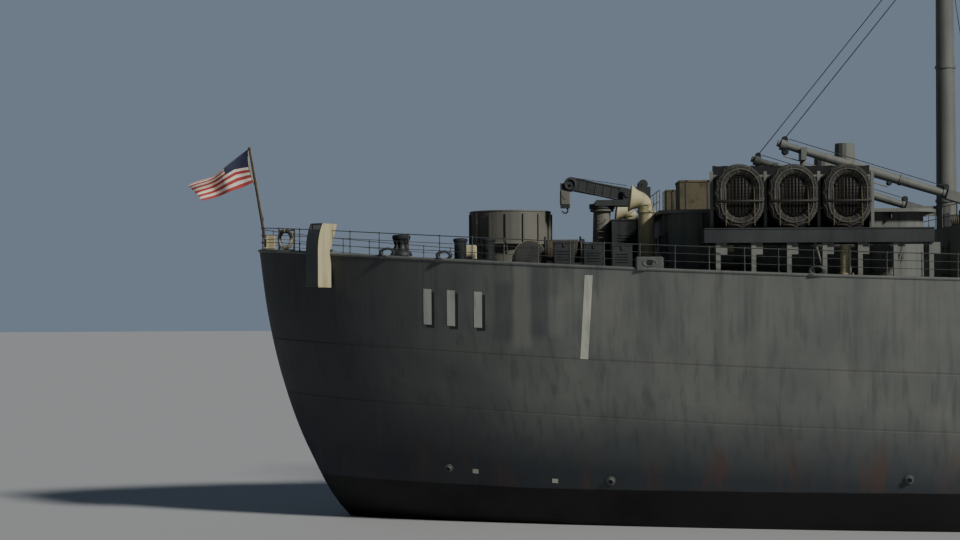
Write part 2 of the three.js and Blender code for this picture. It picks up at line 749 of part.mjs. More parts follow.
// A cowl ventilator: a pipe whose wide mouth turns aft, on the deck abaft each side of the house
const COWL = { x: -76.78, y: 4.8, elbowZ: 14.65, pipe: 0.36, mouth: 0.58, reach: 0.7, rise: 0.14 };
function cowlVentilator(side) {
  const { x, elbowZ, pipe, mouth, reach, rise } = COWL;
  const y = side * COWL.y;
  // a point this far aft of the elbow, on the axis of the bell
  const at = (aft) => [x - aft, y, elbowZ + aft * rise];
  const elbow = solid(new THREE.SphereGeometry(pipe * 1.06, 12, 8)).translate(at(0));
  const bell = rod(at(0), at(reach), pipe, mouth, 16);
  const lip = rod(at(reach - 0.05), at(reach + 0.05), mouth, mouth + 0.03, 16);
  const hollow = rod(at(0.2), at(reach + 0.1), pipe * 0.8, mouth * 0.93, 16);
  const trunk = post(x, y, deckHeight(x) - 0.4, elbowZ, pipe + 0.03, pipe, 16);
  return onDeck(join(trunk, elbow, bell, lip).subtract(hollow));
}
for (const [side, name] of SIDES) add("ventilator_" + name, cowlVentilator(side), CREAM);

// Life floats: oval buoyant rings with a slatted floor, stood on edge in racks over the after deck's sides

const FLOAT = {
  width: 2.14,
  height: 2.8,
  tube: 0.24,
  y: 9.45,
  foot: 13.15,
  pitch: 2.33,
  first: -73.1,
  perSide: 3,
};
const RACK = {
  x0: -74.7,
  x1: -64.8,
  outer: 10.1,
  inner: 7.7,
  top: FLOAT.foot - GAP,
  plate: 0.65,
  firstLeg: -74.1,
  legPitch: 1.53,
  backHeight: 2.5,
  railHeights: [0.9, 2.3],
};

function floatRack(side) {
  const { x0, x1, outer, inner, top, plate, firstLeg, legPitch, backHeight } = RACK;
  const shelf = box(x0, x1, side * inner, side * outer, top - plate, top);
  const legs = [];
  const legY = side * (outer - 0.2);
  for (let x = firstLeg; x < x1 - 0.1; x += legPitch)
    legs.push(box(x - 0.1, x + 0.1, legY - 0.1, legY + 0.1, 10.3, top - 0.05));
  const inside = side * (FLOAT.y - FLOAT.tube - 0.14);
  const between = (i) => FLOAT.first + (i - 0.5) * FLOAT.pitch;
  const backs = [];
  for (let i = 0; i <= FLOAT.perSide; i++) {
    const x = between(i);
    backs.push(box(x - 0.07, x + 0.07, inside - 0.07, inside + 0.07, top - 0.1, top + backHeight));
  }
  const rails = RACK.railHeights.map((rise) => {
    const z = top + rise;
    return box(between(0), between(FLOAT.perSide), inside - 0.05, inside + 0.05, z - 0.05, z + 0.05);
  });
  return onDeck(join(shelf, legs, backs, rails));
}

function lifeFloat(x, side) {
  const { width, height, tube, y, foot } = FLOAT;
  const radius = width / 2;
  const outline = (inset) => {
    const r = radius - inset;
    const shape = new THREE.Shape();
    shape.absarc(0, radius, r, Math.PI, 2 * Math.PI);
    shape.absarc(0, height - radius, r, 0, Math.PI);
    return shape;
  };
  const ring = outline(tube * 0.5);
  ring.holes.push(outline(tube * 1.5));
  const made = solid(
    new THREE.ExtrudeGeometry(ring, {
      depth: tube,
      bevelEnabled: true,
      bevelThickness: tube * 0.5,
      bevelSize: tube * 0.5,
      bevelSegments: 1,
      curveSegments: 4,
    }).translate(0, 0, -tube / 2),
  );
  const floor = slab(outline(tube), -0.05, 0.05);
  return made
    .add(floor)
    .rotate([90, 0, 0])
    .translate([x, side * y, foot]);
}

// The floats of a side are held together by a wooden bar lashed across their outer faces.
function lifeFloats(side) {
  const floats = Array.from({ length: FLOAT.perSide }, (_, i) =>
    lifeFloat(FLOAT.first + i * FLOAT.pitch, side),
  );
  const last = FLOAT.first + (FLOAT.perSide - 1) * FLOAT.pitch;
  const y = side * (FLOAT.y + FLOAT.tube + 0.02);
  const z = FLOAT.foot + FLOAT.height * 0.42;
  return join(floats, box(FLOAT.first - 1, last + 1, y - 0.05, y + 0.05, z - 0.09, z + 0.09));
}

for (const [side, name] of SIDES) {
  add("float_rack_" + name, floatRack(side), HOUSE_GREY);
  add("life_floats_" + name, lifeFloats(side), CANVAS);
}

// Lifeboats: steel boats under canvas, each on a cradle that rolls down its pair of inclined trackways

const BOAT = { length: 8.8, halfBeam: 1.35, depth: 1.35, keelRise: 0.75, cover: 0.42 };
const TRACK = { high: [6.9, 18.75], low: [11.0, 16.6], width: 0.22, depth: 0.26, boatOffset: 2.9 };
const BOAT_PLACES = [18, 4, -10];
const CRADLE = { width: 0.2, depth: 0.18, clearance: 0.005 };

function trackPoint(side, share, lift = 0) {
  const [y, z] = TRACK.high.map((v, i) => v + (TRACK.low[i] - v) * share);
  return [side * y, z + lift];
}

function boatShape() {
  const steps = 10;
  const rings = Array.from({ length: steps + 1 }, (_, i) => {
    const s = -Math.cos((Math.PI * i) / steps);
    const x = (BOAT.length / 2) * s;
    const b = BOAT.halfBeam * (1 - s * s) ** 0.62;
    const keel = BOAT.keelRise * s ** 6;
    const gunwale = BOAT.depth + 0.3 * s * s;
    const atEnd = i === 0 || i === steps;
    const side = [
      [0.0, keel],
      [0.5, keel + 0.16],
      [0.86, keel + 0.5],
      [1.0, gunwale],
      [0.45, gunwale + BOAT.cover * 0.75],
    ];
    const half = side.map(([share, z]) => [x, atEnd ? 0 : share * b, z]);
    const ridge = [x, 0, gunwale + BOAT.cover];
    const mirrored = half.slice(1).reverse().map(([px, py, pz]) => [px, -py, pz]);
    return [...half, ridge, ...mirrored];
  });
  return loft(rings);
}

function lifeboat(x, side) {
  const lift = TRACK.depth / 2 + CRADLE.clearance + CRADLE.depth / 2;
  const arms = [-TRACK.boatOffset, TRACK.boatOffset].map((dx) => {
    const [y0, z0] = trackPoint(side, 0.12, lift * 1.14);
    const [y1, z1] = trackPoint(side, 0.86, lift * 1.14);
    const [ym, zm] = trackPoint(side, 0.5, lift * 1.14);
    return join(
      beam([x + dx, y0, z0], [x + dx, y1, z1], CRADLE.width, CRADLE.depth),
      box(x + dx - 0.1, x + dx + 0.1, y1 - 0.1, y1 + 0.1, z1 + 0.03, z1 + 2.0),
      box(x + dx - 0.1, x + dx + 0.1, ym - 0.12, ym + 0.12, zm + 0.04, zm + 0.75),
    );
  });
  const [y, z] = trackPoint(side, 0.5, lift * 1.14);
  const hullOfBoat = boatShape().translate([x, y, z + 0.45]);
  return join(arms, hullOfBoat);
}

function trackways(side) {
  const sill = [BOAT_PLACES[2] - 5, BOAT_PLACES[0] + 5];
  const floor = TIER_2.roof + DECK_PLATE + GAP;
  const foot = side * 10.6;
  const parts = [box(sill[0], sill[1], foot - 0.12, foot + 0.12, floor, floor + 0.18)];
  for (const place of BOAT_PLACES)
    for (const dx of [-TRACK.boatOffset, TRACK.boatOffset]) {
      const x = place + dx;
      const [y0, z0] = trackPoint(side, 0);
      const [y1, z1] = trackPoint(side, 1);
      parts.push(beam([x, y0, z0], [x, y1, z1], TRACK.width, TRACK.depth));
      parts.push(box(x - 0.1, x + 0.1, y0 - 0.1, y0 + 0.1, floor, z0));
      parts.push(box(x - 0.1, x + 0.1, foot - 0.12, foot + 0.12, floor, z1));
      parts.push(box(x - 0.08, x + 0.08, side * 7.0, foot, floor, floor + 0.16));
    }
  return join(parts);
}

for (const [side, name] of SIDES) {
  add("davit_trackways_" + name, trackways(side), HOUSE_GREY);
  BOAT_PLACES.forEach((x, i) => add("lifeboat_" + name + "_" + (i + 1), lifeboat(x, side), CANVAS));
}

// Stern: a round splinter-proof tub on a drum, a stores crane, a capstan and a winch

const TUB = { x: -82.9, radius: 1.93, wall: 0.09, floor: 12.85, top: 14.4, stiffeners: 15 };
function sternTub() {
  const { x, radius, wall, floor, top } = TUB;
  const drum = post(x, 0, 11.3, floor + 0.1, 1.62, 1.62, 24);
  const shield = post(x, 0, floor - 0.05, top, radius, radius, 24).subtract(
    post(x, 0, floor + 0.1, top + 1, radius - wall, radius - wall, 24),
  );
  const ribs = Array.from({ length: TUB.stiffeners }, (_, i) => {
    const angle = (i * 2 * Math.PI) / TUB.stiffeners;
    return solid(
      new THREE.BoxGeometry(0.16, 0.07, top - floor - 0.1)
        .translate(radius + 0.01, 0, (top + floor) / 2)
        .rotateZ(angle)
        .translate(x, 0, 0),
    );
  });
  return onDeck(join(drum, shield, ribs));
}
add("stern_tub", sternTub(), HOUSE_GREY);

const CRANE = {
  x: -78.6,
  y: -1.5,
  top: 14.45,
  hingeX: -77.4,
  hingeZ: 15.14,
  pinRadius: 0.1,
  jibDepth: 0.6,
  headX: -80.05,
  headZ: 15.62,
  cheekY: 0.35,
  engineHouse: { x0: -78.2, x1: -76.8, y0: -2.5, y1: -0.5, top: 13.9 },
};
function cranePedestal() {
  const { x, y, top, engineHouse } = CRANE;
  const column = post(x, y, 11.0, top, 0.5, 0.4, 20);
  const foot = post(x, y, 11.0, 12.1, 0.85, 0.62, 20);
  const { x0, x1, y0, y1 } = engineHouse;
  return onDeck(join(column, foot, box(x0, x1, y0, y1, 11.0, engineHouse.top)));
}
function craneHead() {
  const { x, y, top, hingeX, hingeZ, pinRadius, cheekY } = CRANE;
  const floor = top + RUNNING_GAP;
  const bore = pinRadius + RUNNING_GAP;
  const turntable = post(x, y, floor, floor + 0.22, 0.6, 0.6, 20);
  const bed = box(x - 0.35, hingeX + 1.05, y - 0.62, y + 0.62, floor + 0.12, floor + 0.3);
  const winchBox = box(hingeX + 0.39, hingeX + 1.05, y - 0.55, y + 0.55, floor + 0.28, floor + 1.0);
  const cheeks = [-1, 1].map((s) => {
    const middle = y + s * cheekY;
    return box(hingeX - 0.22, hingeX + 0.3, middle - 0.05, middle + 0.05, floor + 0.28, hingeZ + 0.22);
  });
  const hole = rod([hingeX, y - 1, hingeZ], [hingeX, y + 1, hingeZ], bore, bore, 20);
  return join(turntable, bed, winchBox, cheeks).subtract(hole);
}
function craneJib() {
  const { y, hingeX, hingeZ, headX, headZ, pinRadius, jibDepth } = CRANE;
  const pin = rod([hingeX, y - 0.42, hingeZ], [hingeX, y + 0.42, hingeZ], pinRadius, pinRadius, 20);
  const arm = beam([hingeX + 0.02, y, hingeZ - 0.03], [headX, y, headZ], 0.36, jibDepth);
  const head = rod([headX, y - 0.2, headZ], [headX, y + 0.2, headZ], 0.34, 0.34, 16);
  const block = box(headX - 0.5, headX - 0.06, y - 0.16, y + 0.16, headZ - 1.12, headZ + 0.05);
  return join(pin, arm, head, block);
}
add("crane_pedestal", cranePedestal(), HOUSE_GREY);
add("crane_head", craneHead(), DARK_GREY);
add("crane_jib", craneJib(), DARK_GREY);

function capstan() {
  const { x, y, height, seat } = CAPSTAN;
  const profile = [
    [0, 0],
    [0.5, 0],
    [0.5, 0.16],
    [0.3, 0.34],
    [0.27, 0.6],
    [0.42, 0.8],
    [0.42, height - 0.06],
    [0.3, height],
    [0, height],
  ].map(([r, h]) => new THREE.Vector2(r, h));
  const drum = solid(new THREE.LatheGeometry(profile, 20).rotateX(Math.PI / 2));
  return drum.translate([x, y, seat + RUNNING_GAP]);
}
add("capstan", capstan(), DARK_GREY);

const WINCH = { x: -80.6, y: -5.2, axleHeight: 0.82, sides: 12 };
function mooringWinch() {
  const { x, y, axleHeight, sides } = WINCH;
  const floor = deckHeight(x);
  // a round bar on the winch's axle, from one place along it to another
  const onAxle = (from, to, radius, endRadius = radius) => {
    const z = floor + axleHeight;
    return rod([x + from, y, z], [x + to, y, z], radius, endRadius, sides);
  };
  const bed = box(x - 1.2, x + 1.2, y - 0.9, y + 0.9, floor - 0.4, floor + 0.22);
  const drum = onAxle(-0.75, 0.75, 0.42);
  const flanges = [-0.8, 0.8].map((dx) => onAxle(dx - 0.05, dx + 0.05, 0.62));
  const stands = [-0.98, 0.98].map((dx) =>
    box(x + dx - 0.07, x + dx + 0.07, y - 0.3, y + 0.3, floor + 0.1, floor + 1.0),
  );
  const axle = onAxle(-1.45, 1.45, 0.12);
  const ends = [-1, 1].map((s) => onAxle(s * 1.15, s * 1.5, 0.24, 0.34));
  return onDeck(join(bed, drum, flanges, stands, axle, ends));
}
add("mooring_winch", mooringWinch(), DARK_GREY);

// Along the rail: three steel lockers on one bed, and abaft them a hawser reel under its canvas cover
const RAIL_LOCKERS = { places: [-80.65, -79.35, -78.1], width: 0.95, depth: 0.8, height: 1.1, inset: 1.5 };
const HAWSER_REEL = { x: -82.15, halfLength: 0.78, height: 1.15, depth: 1.1, inset: 1.8 };
function railLockers(side) {
  const { places, width, depth, height, inset } = RAIL_LOCKERS;
  const parts = places.map((x) => {
    const y = side * (deckHalfBreadth(places[0]) - inset);
    const floor = deckHeight(x);
    return box(x - width / 2, x + width / 2, y - depth / 2, y + depth / 2, floor - 0.4, floor + height);
  });
  const y = side * (deckHalfBreadth(places[0]) - inset);
  const floor = deckHeight(places[0]);
  const bed = box(places[0] - 0.3, places[2] + 0.3, y - 0.2, y + 0.2, floor - 0.6, floor + 0.1);
  return onDeck(join(parts, bed));
}
function hawserReel(side) {
  const { x, halfLength, height, depth, inset } = HAWSER_REEL;
  const y = side * (deckHalfBreadth(x) - inset);
  const floor = deckHeight(x);
  const arch = new THREE.Shape();
  arch.moveTo(x - halfLength, floor - 0.3);
  arch.lineTo(x + halfLength, floor - 0.3);
  arch.lineTo(x + halfLength, floor + height - halfLength * 0.8);
  arch.absellipse(x, floor + height - halfLength * 0.8, halfLength, halfLength * 0.8, 0, Math.PI);
  return onDeck(sideProfile(arch, y - depth / 2, y + depth / 2, 6));
}
for (const [side, name] of SIDES) {
  add("rail_lockers_" + name, railLockers(side), DARK_GREY);
  add("hawser_reel_" + name, hawserReel(side), CANVAS);
}

// Mooring bitts: two capped posts on one bed, by the rail of each quarter
const BITTS = { x: -84.6, pitch: 1.25, radius: 0.27, cap: 0.33, height: 1.05, inset: 1.0 };
function mooringBitts(side) {
  const { x, pitch, radius, cap, height, inset } = BITTS;
  const y = side * (deckHalfBreadth(x) - inset);
  const floor = deckHeight(x);
  const bed = box(x - 1.0, x + 1.0, y - 0.35, y + 0.35, floor - 0.4, floor + 0.14);
  const posts = [-0.5, 0.5].map((s) => {
    const horn = post(x + s * pitch, y, floor, floor + height, radius, radius, 16);
    return horn.add(post(x + s * pitch, y, floor + height - 0.1, floor + height, cap, cap, 16));
  });
  return onDeck(join(bed, posts));
}
for (const [side, name] of SIDES) add("mooring_bitts_" + name, mooringBitts(side), DARK_GREY);

// A rubbish chute, open at top and bottom, hung over the starboard quarter
const CHUTE = {
  x: -91.45,
  width: 0.7,
  depth: 0.95,
  plate: 0.06,
  rise: 1.35,
  drop: 1.55,
  throat: 0.5,
  hood: 0.55,
  inner: -0.06,
};
function rubbishChute() {
  const { x, width, depth, plate, rise, drop, throat, hood, inner } = CHUTE;
  const edge = deckHalfBreadth(x);
  const step = 0.4;
  const tangent = new THREE.Vector2(
    2 * step,
    -(deckHalfBreadth(x + step) - deckHalfBreadth(x - step)),
  ).normalize();
  // In the chute's own frame, u runs forward along the plating, v outboard and z up from the deck edge.
  const section = (grow) => {
    const shape = new THREE.Shape();
    const beyond = grow < 0 ? 0.4 : 0;
    shape.moveTo(inner - grow, -drop - beyond);
    shape.lineTo(inner + depth + grow, -drop - beyond);
    shape.lineTo(inner + depth + grow, 0.1);
    shape.quadraticCurveTo(inner + depth + grow, 0.8, hood + grow, rise + beyond);
    shape.lineTo(-throat - grow, rise + beyond);
    shape.lineTo(inner - grow, 0.25);
    return shape;
  };
  const duct = (shape, half) =>
    solid(
      new THREE.ExtrudeGeometry(shape, { depth: 2 * half, bevelEnabled: false, curveSegments: 8 })
        .translate(0, 0, -half)
        .applyMatrix4(
          new THREE.Matrix4().makeBasis(
            new THREE.Vector3(tangent.y, -tangent.x, 0),
            new THREE.Vector3(0, 0, 1),
            new THREE.Vector3(-tangent.x, -tangent.y, 0),
          ),
        ),
    );
  const shell = duct(section(0), width / 2).subtract(duct(section(-plate), width / 2 - plate));
  return onHull(shell.translate([x, -edge, deckHeight(x)]));
}
add("rubbish_chute", rubbishChute(), CREAM);

// Ensign on its raked staff, and a ring buoy on the stern rail

const STAFF = { foot: [-94.45, 0, 12.1], head: [-95.38, 0, 17.62], radius: 0.075 };
function flagstaff() {
  const { foot, head, radius } = STAFF;
  const step = box(foot[0] - 0.16, foot[0] + 0.3, -0.16, 0.16, 12.0, 13.35);
  const pole = rod(foot, head, radius, radius * 0.6, 10);
  const truck = post(head[0], 0, head[2] - 0.05, head[2] + 0.14, 0.11, 0.09, 10);
  return onDeck(join(pole, step, truck));
}
add("flagstaff", flagstaff(), DARK_GREY);

const ENSIGN = { fly: 2.95, hoist: 1.75, thickness: 0.05, top: 17.5, topDroop: 1.7, footDroop: 0.8 };
function ensign() {
  const { fly, hoist, thickness, top, topDroop, footDroop } = ENSIGN;
  const [fx, , fz] = STAFF.foot;
  const [hx, , hz] = STAFF.head;
  const staffX = (z) => fx + ((z - fz) * (hx - fx)) / (hz - fz);
  const clear = 0.06;
  const corner = (z) => [staffX(z) - clear, z];
  const shape = polygon([
    corner(top),
    corner(top - hoist),
    [staffX(top) - fly + 0.45, top - hoist - footDroop],
    [staffX(top) - fly, top - topDroop],
  ]);
  return sideProfile(shape, -thickness / 2, thickness / 2);
}
add("ensign", ensign(), CLOTH);

const RING_BUOY = { x: -93.4, radius: 0.38, tube: 0.08, z: 13.05 };
function ringBuoy() {
  const { x, radius, tube, z } = RING_BUOY;
  const y = -(deckHalfBreadth(x) - 0.35);
  const ring = solid(new THREE.TorusGeometry(radius - tube, tube, 6, 16)).rotate([90, 0, 38]);
  const bracket = box(-0.05, 0.05, -0.05, 0.05, -0.9, -radius + tube);
  return onDeck(join(ring, bracket).translate([x, y, z]));
}
add("ring_buoy", ringBuoy(), CREAM);

// Ground tackle

const ANCHOR = { x: 85.6, z: 8.4 };
function anchor(side) {
  const y = side * (halfBreadth(ANCHOR.x, ANCHOR.z / deckHeight(ANCHOR.x)) + 0.16);
  const crown = box(-0.75, 0.75, -0.3, 0.3, -1.3, -0.8);
  const shank = box(-0.16, 0.16, -0.25, 0.22, -1.1, 0.9);
  const flukes = [-1, 1].map((s) => {
    const fluke = polygon([
      [s * 0.3, -1.2],
      [s * 0.78, -1.25],
      [s * 0.95, 0.15],
      [s * 0.5, -0.5],
    ]);
    return sideProfile(fluke, -0.2, 0.25);
  });
  const turn = [side * -18, 0, side * -14];
  const placed = join(crown, shank, flukes).rotate(turn).translate([ANCHOR.x, y, ANCHOR.z]);
  return onHull(placed);
}
for (const [side, name] of SIDES) add("anchor_" + name, anchor(side), DARK_GREY);

const WINDLASS = { x: 82.4, axleHeight: 0.95 };
function windlass() {
  const { x, axleHeight } = WINDLASS;
  const floor = deckHeight(x);
  const axleZ = floor + axleHeight;
  const bed = box(x - 1.5, x + 1.3, -2.6, 2.6, floor - 0.6, floor + 0.25);
  const axle = rod([x, -2.7, axleZ], [x, 2.7, axleZ], 0.2, 0.2, 12);
  const wheels = [-2.2, 2.2].map((y) => rod([x, y - 0.25, axleZ], [x, y + 0.25, axleZ], 0.62, 0.62, 12));
  const gearCase = box(x - 0.9, x + 0.8, -0.7, 0.7, floor + 0.2, floor + 1.5);
  const stands = [-1.65, 1.65].map((y) =>
    box(x - 0.35, x + 0.35, y - 0.1, y + 0.1, floor + 0.1, floor + 1.1),
  );
  return onDeck(join(bed, axle, wheels, gearCase, stands));
}
add("anchor_windlass", windlass(), DARK_GREY);

ship.scale.setScalar(1000 * MODEL_SCALE);

export default ship;
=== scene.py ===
"""A grey naval troop transport, afloat, at one tenth of its real size.

Lengths are in metres of the real ship until a piece is finished, which brings it to the model's size.
"""
import math

import bmesh
import bpy
from mathutils import Matrix, Vector, noise


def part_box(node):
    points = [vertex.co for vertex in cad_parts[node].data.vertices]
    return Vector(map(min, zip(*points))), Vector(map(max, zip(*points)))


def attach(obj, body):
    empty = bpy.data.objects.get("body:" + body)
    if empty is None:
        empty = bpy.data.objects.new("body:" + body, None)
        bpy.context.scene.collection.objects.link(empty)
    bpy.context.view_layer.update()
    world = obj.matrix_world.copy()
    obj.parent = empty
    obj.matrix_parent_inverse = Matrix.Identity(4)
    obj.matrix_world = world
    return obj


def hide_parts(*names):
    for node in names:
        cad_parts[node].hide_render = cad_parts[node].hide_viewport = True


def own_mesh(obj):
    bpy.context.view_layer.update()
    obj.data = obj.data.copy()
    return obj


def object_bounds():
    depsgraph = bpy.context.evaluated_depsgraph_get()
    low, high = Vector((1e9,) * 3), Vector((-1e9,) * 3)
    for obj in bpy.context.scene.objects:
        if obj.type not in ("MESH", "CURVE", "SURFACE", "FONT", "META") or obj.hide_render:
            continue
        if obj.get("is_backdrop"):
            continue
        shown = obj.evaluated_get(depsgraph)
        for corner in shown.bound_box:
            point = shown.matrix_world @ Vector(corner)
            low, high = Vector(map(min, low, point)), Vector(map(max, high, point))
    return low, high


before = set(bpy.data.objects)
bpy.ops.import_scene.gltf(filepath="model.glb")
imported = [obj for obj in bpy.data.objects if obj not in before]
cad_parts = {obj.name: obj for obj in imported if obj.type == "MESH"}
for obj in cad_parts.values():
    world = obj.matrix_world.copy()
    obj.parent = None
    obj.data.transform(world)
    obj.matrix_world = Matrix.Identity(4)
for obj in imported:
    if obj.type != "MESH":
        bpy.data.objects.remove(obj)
cad_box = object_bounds()
MODEL = 0.1

# The view
# The picture is taken from abeam of the starboard quarter, some 90 m off the ship's side and 9 m above the
# water, with a long lens. The ship is square to the view, and the horizon lies below the middle of the
# frame.
FRAME_WIDTH_PX = 960
FOCAL_LENGTH_PX = 2104
HORIZON_BELOW_MIDDLE_PX = 54
VIEWPOINT = Vector((-84.37, -100.5, 9.07))
CAMERA_ROLL = math.radians(0.3)

camera_data = bpy.data.cameras.new("camera")
camera_data.angle = 2 * math.atan(FRAME_WIDTH_PX / 2 / FOCAL_LENGTH_PX)
camera_data.clip_end = 900
camera = bpy.data.objects.new("camera", camera_data)
camera.location = VIEWPOINT * MODEL
pitch = math.atan(HORIZON_BELOW_MIDDLE_PX / FOCAL_LENGTH_PX)
camera.rotation_euler = (math.pi / 2 + pitch, CAMERA_ROLL, 0)
bpy.context.scene.collection.objects.link(camera)
bpy.context.scene.camera = camera

# The studio
# A plain pale floor lies at the waterline. A soft key light stands where the sun was: half-way up, ahead
# of the starboard beam, so that the round of the stern falls into shade. The surround is cool, and dim
# except to port.


def linear(hex_colour):
    """An sRGB hex colour as linear RGBA."""
    channels = [int(hex_colour[i : i + 2], 16) / 255 for i in (1, 3, 5)]
    return (*[c / 12.92 if c <= 0.04045 else ((c + 0.055) / 1.055) ** 2.4 for c in channels], 1)


def feed(tree, node, inputs):
    """Sets a node's sockets by name or number, each to a value or to the socket that feeds it."""
    for name, value in dict(inputs).items():
        if isinstance(value, bpy.types.NodeSocket):
            tree.links.new(value, node.inputs[name])
        else:
            node.inputs[name].default_value = value


def add_node(tree, kind, inputs=(), **settings):
    """Adds a node with its settings, and feeds its sockets."""
    made = tree.nodes.new("ShaderNode" + kind)
    for name, value in settings.items():
        setattr(made, name, value)
    feed(tree, made, inputs)
    return made


def new_material(name):
    """A named material with a bare shader, and its node tree and shader."""
    material = bpy.data.materials.new(name)
    material.use_nodes = True
    return material, material.node_tree, material.node_tree.nodes["Principled BSDF"]


FLOOR_HALF_WIDTH = 320
floor_paint, tree, shader = new_material("studio_floor")
feed(tree, shader, {"Base Color": linear("#b9bcbe"), "Roughness": 0.9})
floor_mesh = bmesh.new()
bmesh.ops.create_grid(floor_mesh, x_segments=1, y_segments=1, size=FLOOR_HALF_WIDTH)
floor_data = bpy.data.meshes.new("floor")
floor_mesh.to_mesh(floor_data)
floor_mesh.free()
floor_data.materials.append(floor_paint)
floor = bpy.data.objects.new("floor", floor_data)
bpy.context.scene.collection.objects.link(floor)
floor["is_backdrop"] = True

surround = bpy.data.worlds.new("surround")
surround.use_nodes = True
tree = surround.node_tree
sky_place = add_node(tree, "TexCoord").outputs["Generated"]
to_port = add_node(tree, "SeparateXYZ", {0: sky_place}).outputs[1]
wall_light = add_node(
    tree, "MapRange", {"Value": to_port, "From Min": 0.1, "From Max": 0.95, "To Min": 0.08, "To Max": 0.42}
)
feed(tree, tree.nodes["Background"], {"Color": linear("#a4b6cd"), "Strength": wall_light.outputs[0]})
bpy.context.scene.world = surround

KEY_DIRECTION = Vector((0.62, -0.57, 0.54))
key_data = bpy.data.lights.new("key", "SUN")
key_data.energy = 2.8
key_data.angle = math.radians(8)
key_data.color = (1.0, 0.965, 0.9)
key = bpy.data.objects.new("key", key_data)
key.rotation_euler = KEY_DIRECTION.to_track_quat("Z", "Y").to_euler()
bpy.context.scene.collection.objects.link(key)

# Hull
# Steel plate in lapped strakes, painted sea grey over a black boot-topping and dull red antifouling. It is
# drawn from its waterlines: each runs from the stern's end to the stem's, and rounds in over a run of its
# own.
HALF_LENGTH, HALF_BEAM, DRAFT, DECK_AMIDSHIPS = 94.88, 11.5, 6.1, 10.3
STERN_SHEER, BOW_SHEER = 2.3, 3.6
LEVEL_COLUMNS = ("height", "beam", "stern", "stern_run", "stern_round", "bow", "bow_run", "bow_round")
LEVELS = [
    dict(zip(LEVEL_COLUMNS, row))
    for row in (
        (-1.0, 0.8, -85.5, 62, 0.5, 84.6, 62, 0.75),
        (-0.6, 0.99, -85.6, 60, 0.62, 86.3, 64, 0.9),
        (-0.3, 1.0, -86.0, 54, 0.82, 86.7, 64, 0.95),
        (0.0, 1.0, -90.6, 48, 1.25, 87.2, 64, 1.0),
        (0.25, 1.0, -92.5, 44, 1.5, 88.7, 63, 1.02),
        (0.5, 1.0, -93.7, 41, 1.68, 90.5, 61, 1.06),
        (0.75, 1.0, -94.45, 38, 1.8, 92.5, 59, 1.12),
        (1.0, 1.0, -94.88, 36, 1.9, 94.88, 56, 1.2),
    )
]
HULL_STATIONS, HULL_ROWS, DECK_ROWS = 200, 44, 10


def deck_height(x):
    """The height of the deck's edge, which rises towards the stern and more towards the bow."""
    share = abs(x) / HALF_LENGTH
    return DECK_AMIDSHIPS + (STERN_SHEER * share**3.6 if x < 0 else BOW_SHEER * share**2.2)


def level_value(key, height):
    """One column of LEVELS at any height, on a smooth curve through the table."""
    last = len(LEVELS) - 1

    def slope(i):
        low, high = LEVELS[max(i - 1, 0)], LEVELS[min(i + 1, last)]
        return (high[key] - low[key]) / (high["height"] - low["height"])

    i = 0
    while i < last - 1 and height > LEVELS[i + 1]["height"]:
        i += 1
    low, high = LEVELS[i], LEVELS[i + 1]
    step = high["height"] - low["height"]
    s = min(max((height - low["height"]) / step, 0), 1)
    return (
        low[key] * (2 * s**3 - 3 * s**2 + 1)
        + high[key] * (3 * s**2 - 2 * s**3)
        + slope(i) * step * (s**3 - 2 * s**2 + s)
        + slope(i + 1) * step * (s**3 - s**2)
    )


def half_breadth(x, height):
    """Half the ship's breadth at x, at a height from -1 at the keel to 1 at the deck."""
    def end(distance, run, roundness):
        share = min(max(distance / run, 0), 1)
        return (1 - (1 - share) ** 2) ** (1 / roundness)

    at = {key: level_value(key, height) for key in LEVEL_COLUMNS}
    stern = end(x - at["stern"], at["stern_run"], at["stern_round"])
    bow = end(at["bow"] - x, at["bow_run"], at["bow_round"])
    return HALF_BEAM * min(at["beam"], 1) * stern * bow


def hull_point(along, height, side=-1):
    """A point of the shell: along is 0 at the stern, 1 at the stem; height -1 at the keel, 1 at the deck."""
    stern, bow = level_value("stern", height), level_value("bow", height)
    x = stern + along * (bow - stern)
    at_end = along <= 0 or along >= 1
    z = height * (DRAFT if height < 0 else deck_height(x))
    return Vector((x, 0 if at_end else side * half_breadth(x, height), z))


def plating_at(x, below_deck, side=-1, proud=0.0):
    """The point of the shell at x, a given depth below the deck's edge and a little proud of the plate."""
    def on_plate(px, pz):
        height = pz / (DRAFT if pz < 0 else deck_height(px))
        return Vector((px, side * half_breadth(px, height), pz))

    z = deck_height(x) - below_deck
    here = on_plate(x, z)
    outward = (on_plate(x + 0.1, z) - here).cross(on_plate(x, z - 0.1) - here) * side
    return here + outward.normalized() * proud


def finish(name, mesh, *materials, body="ship", replaced=(), slot=None, sharp_degrees=35):
    """Brings a mesh to model size, and makes it a piece that rides on a body."""
    bmesh.ops.recalc_face_normals(mesh, faces=mesh.faces)
    bmesh.ops.scale(mesh, vec=(MODEL, MODEL, MODEL), verts=mesh.verts)
    for face in mesh.faces:
        face.smooth = True
    for edge in mesh.edges:
        edge.smooth = edge.calc_face_angle(0) < math.radians(sharp_degrees)
    data = bpy.data.meshes.new(name)
    mesh.to_mesh(data)
    mesh.free()
    for material in materials:
        data.materials.append(material)
    piece = bpy.data.objects.new(name, data)
    bpy.context.scene.collection.objects.link(piece)
    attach(piece, body)
    if replaced:
        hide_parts(*replaced)
    return piece


def mapped_grid(mesh, columns, rows, place):
    """Adds a grid and puts each of its points where place says, given its share of the columns and rows."""
    made = bmesh.ops.create_grid(mesh, x_segments=columns, y_segments=rows, size=0.5)["verts"]
    for vert in made:
        vert.co = place(vert.co.x + 0.5, vert.co.y + 0.5)
    return made


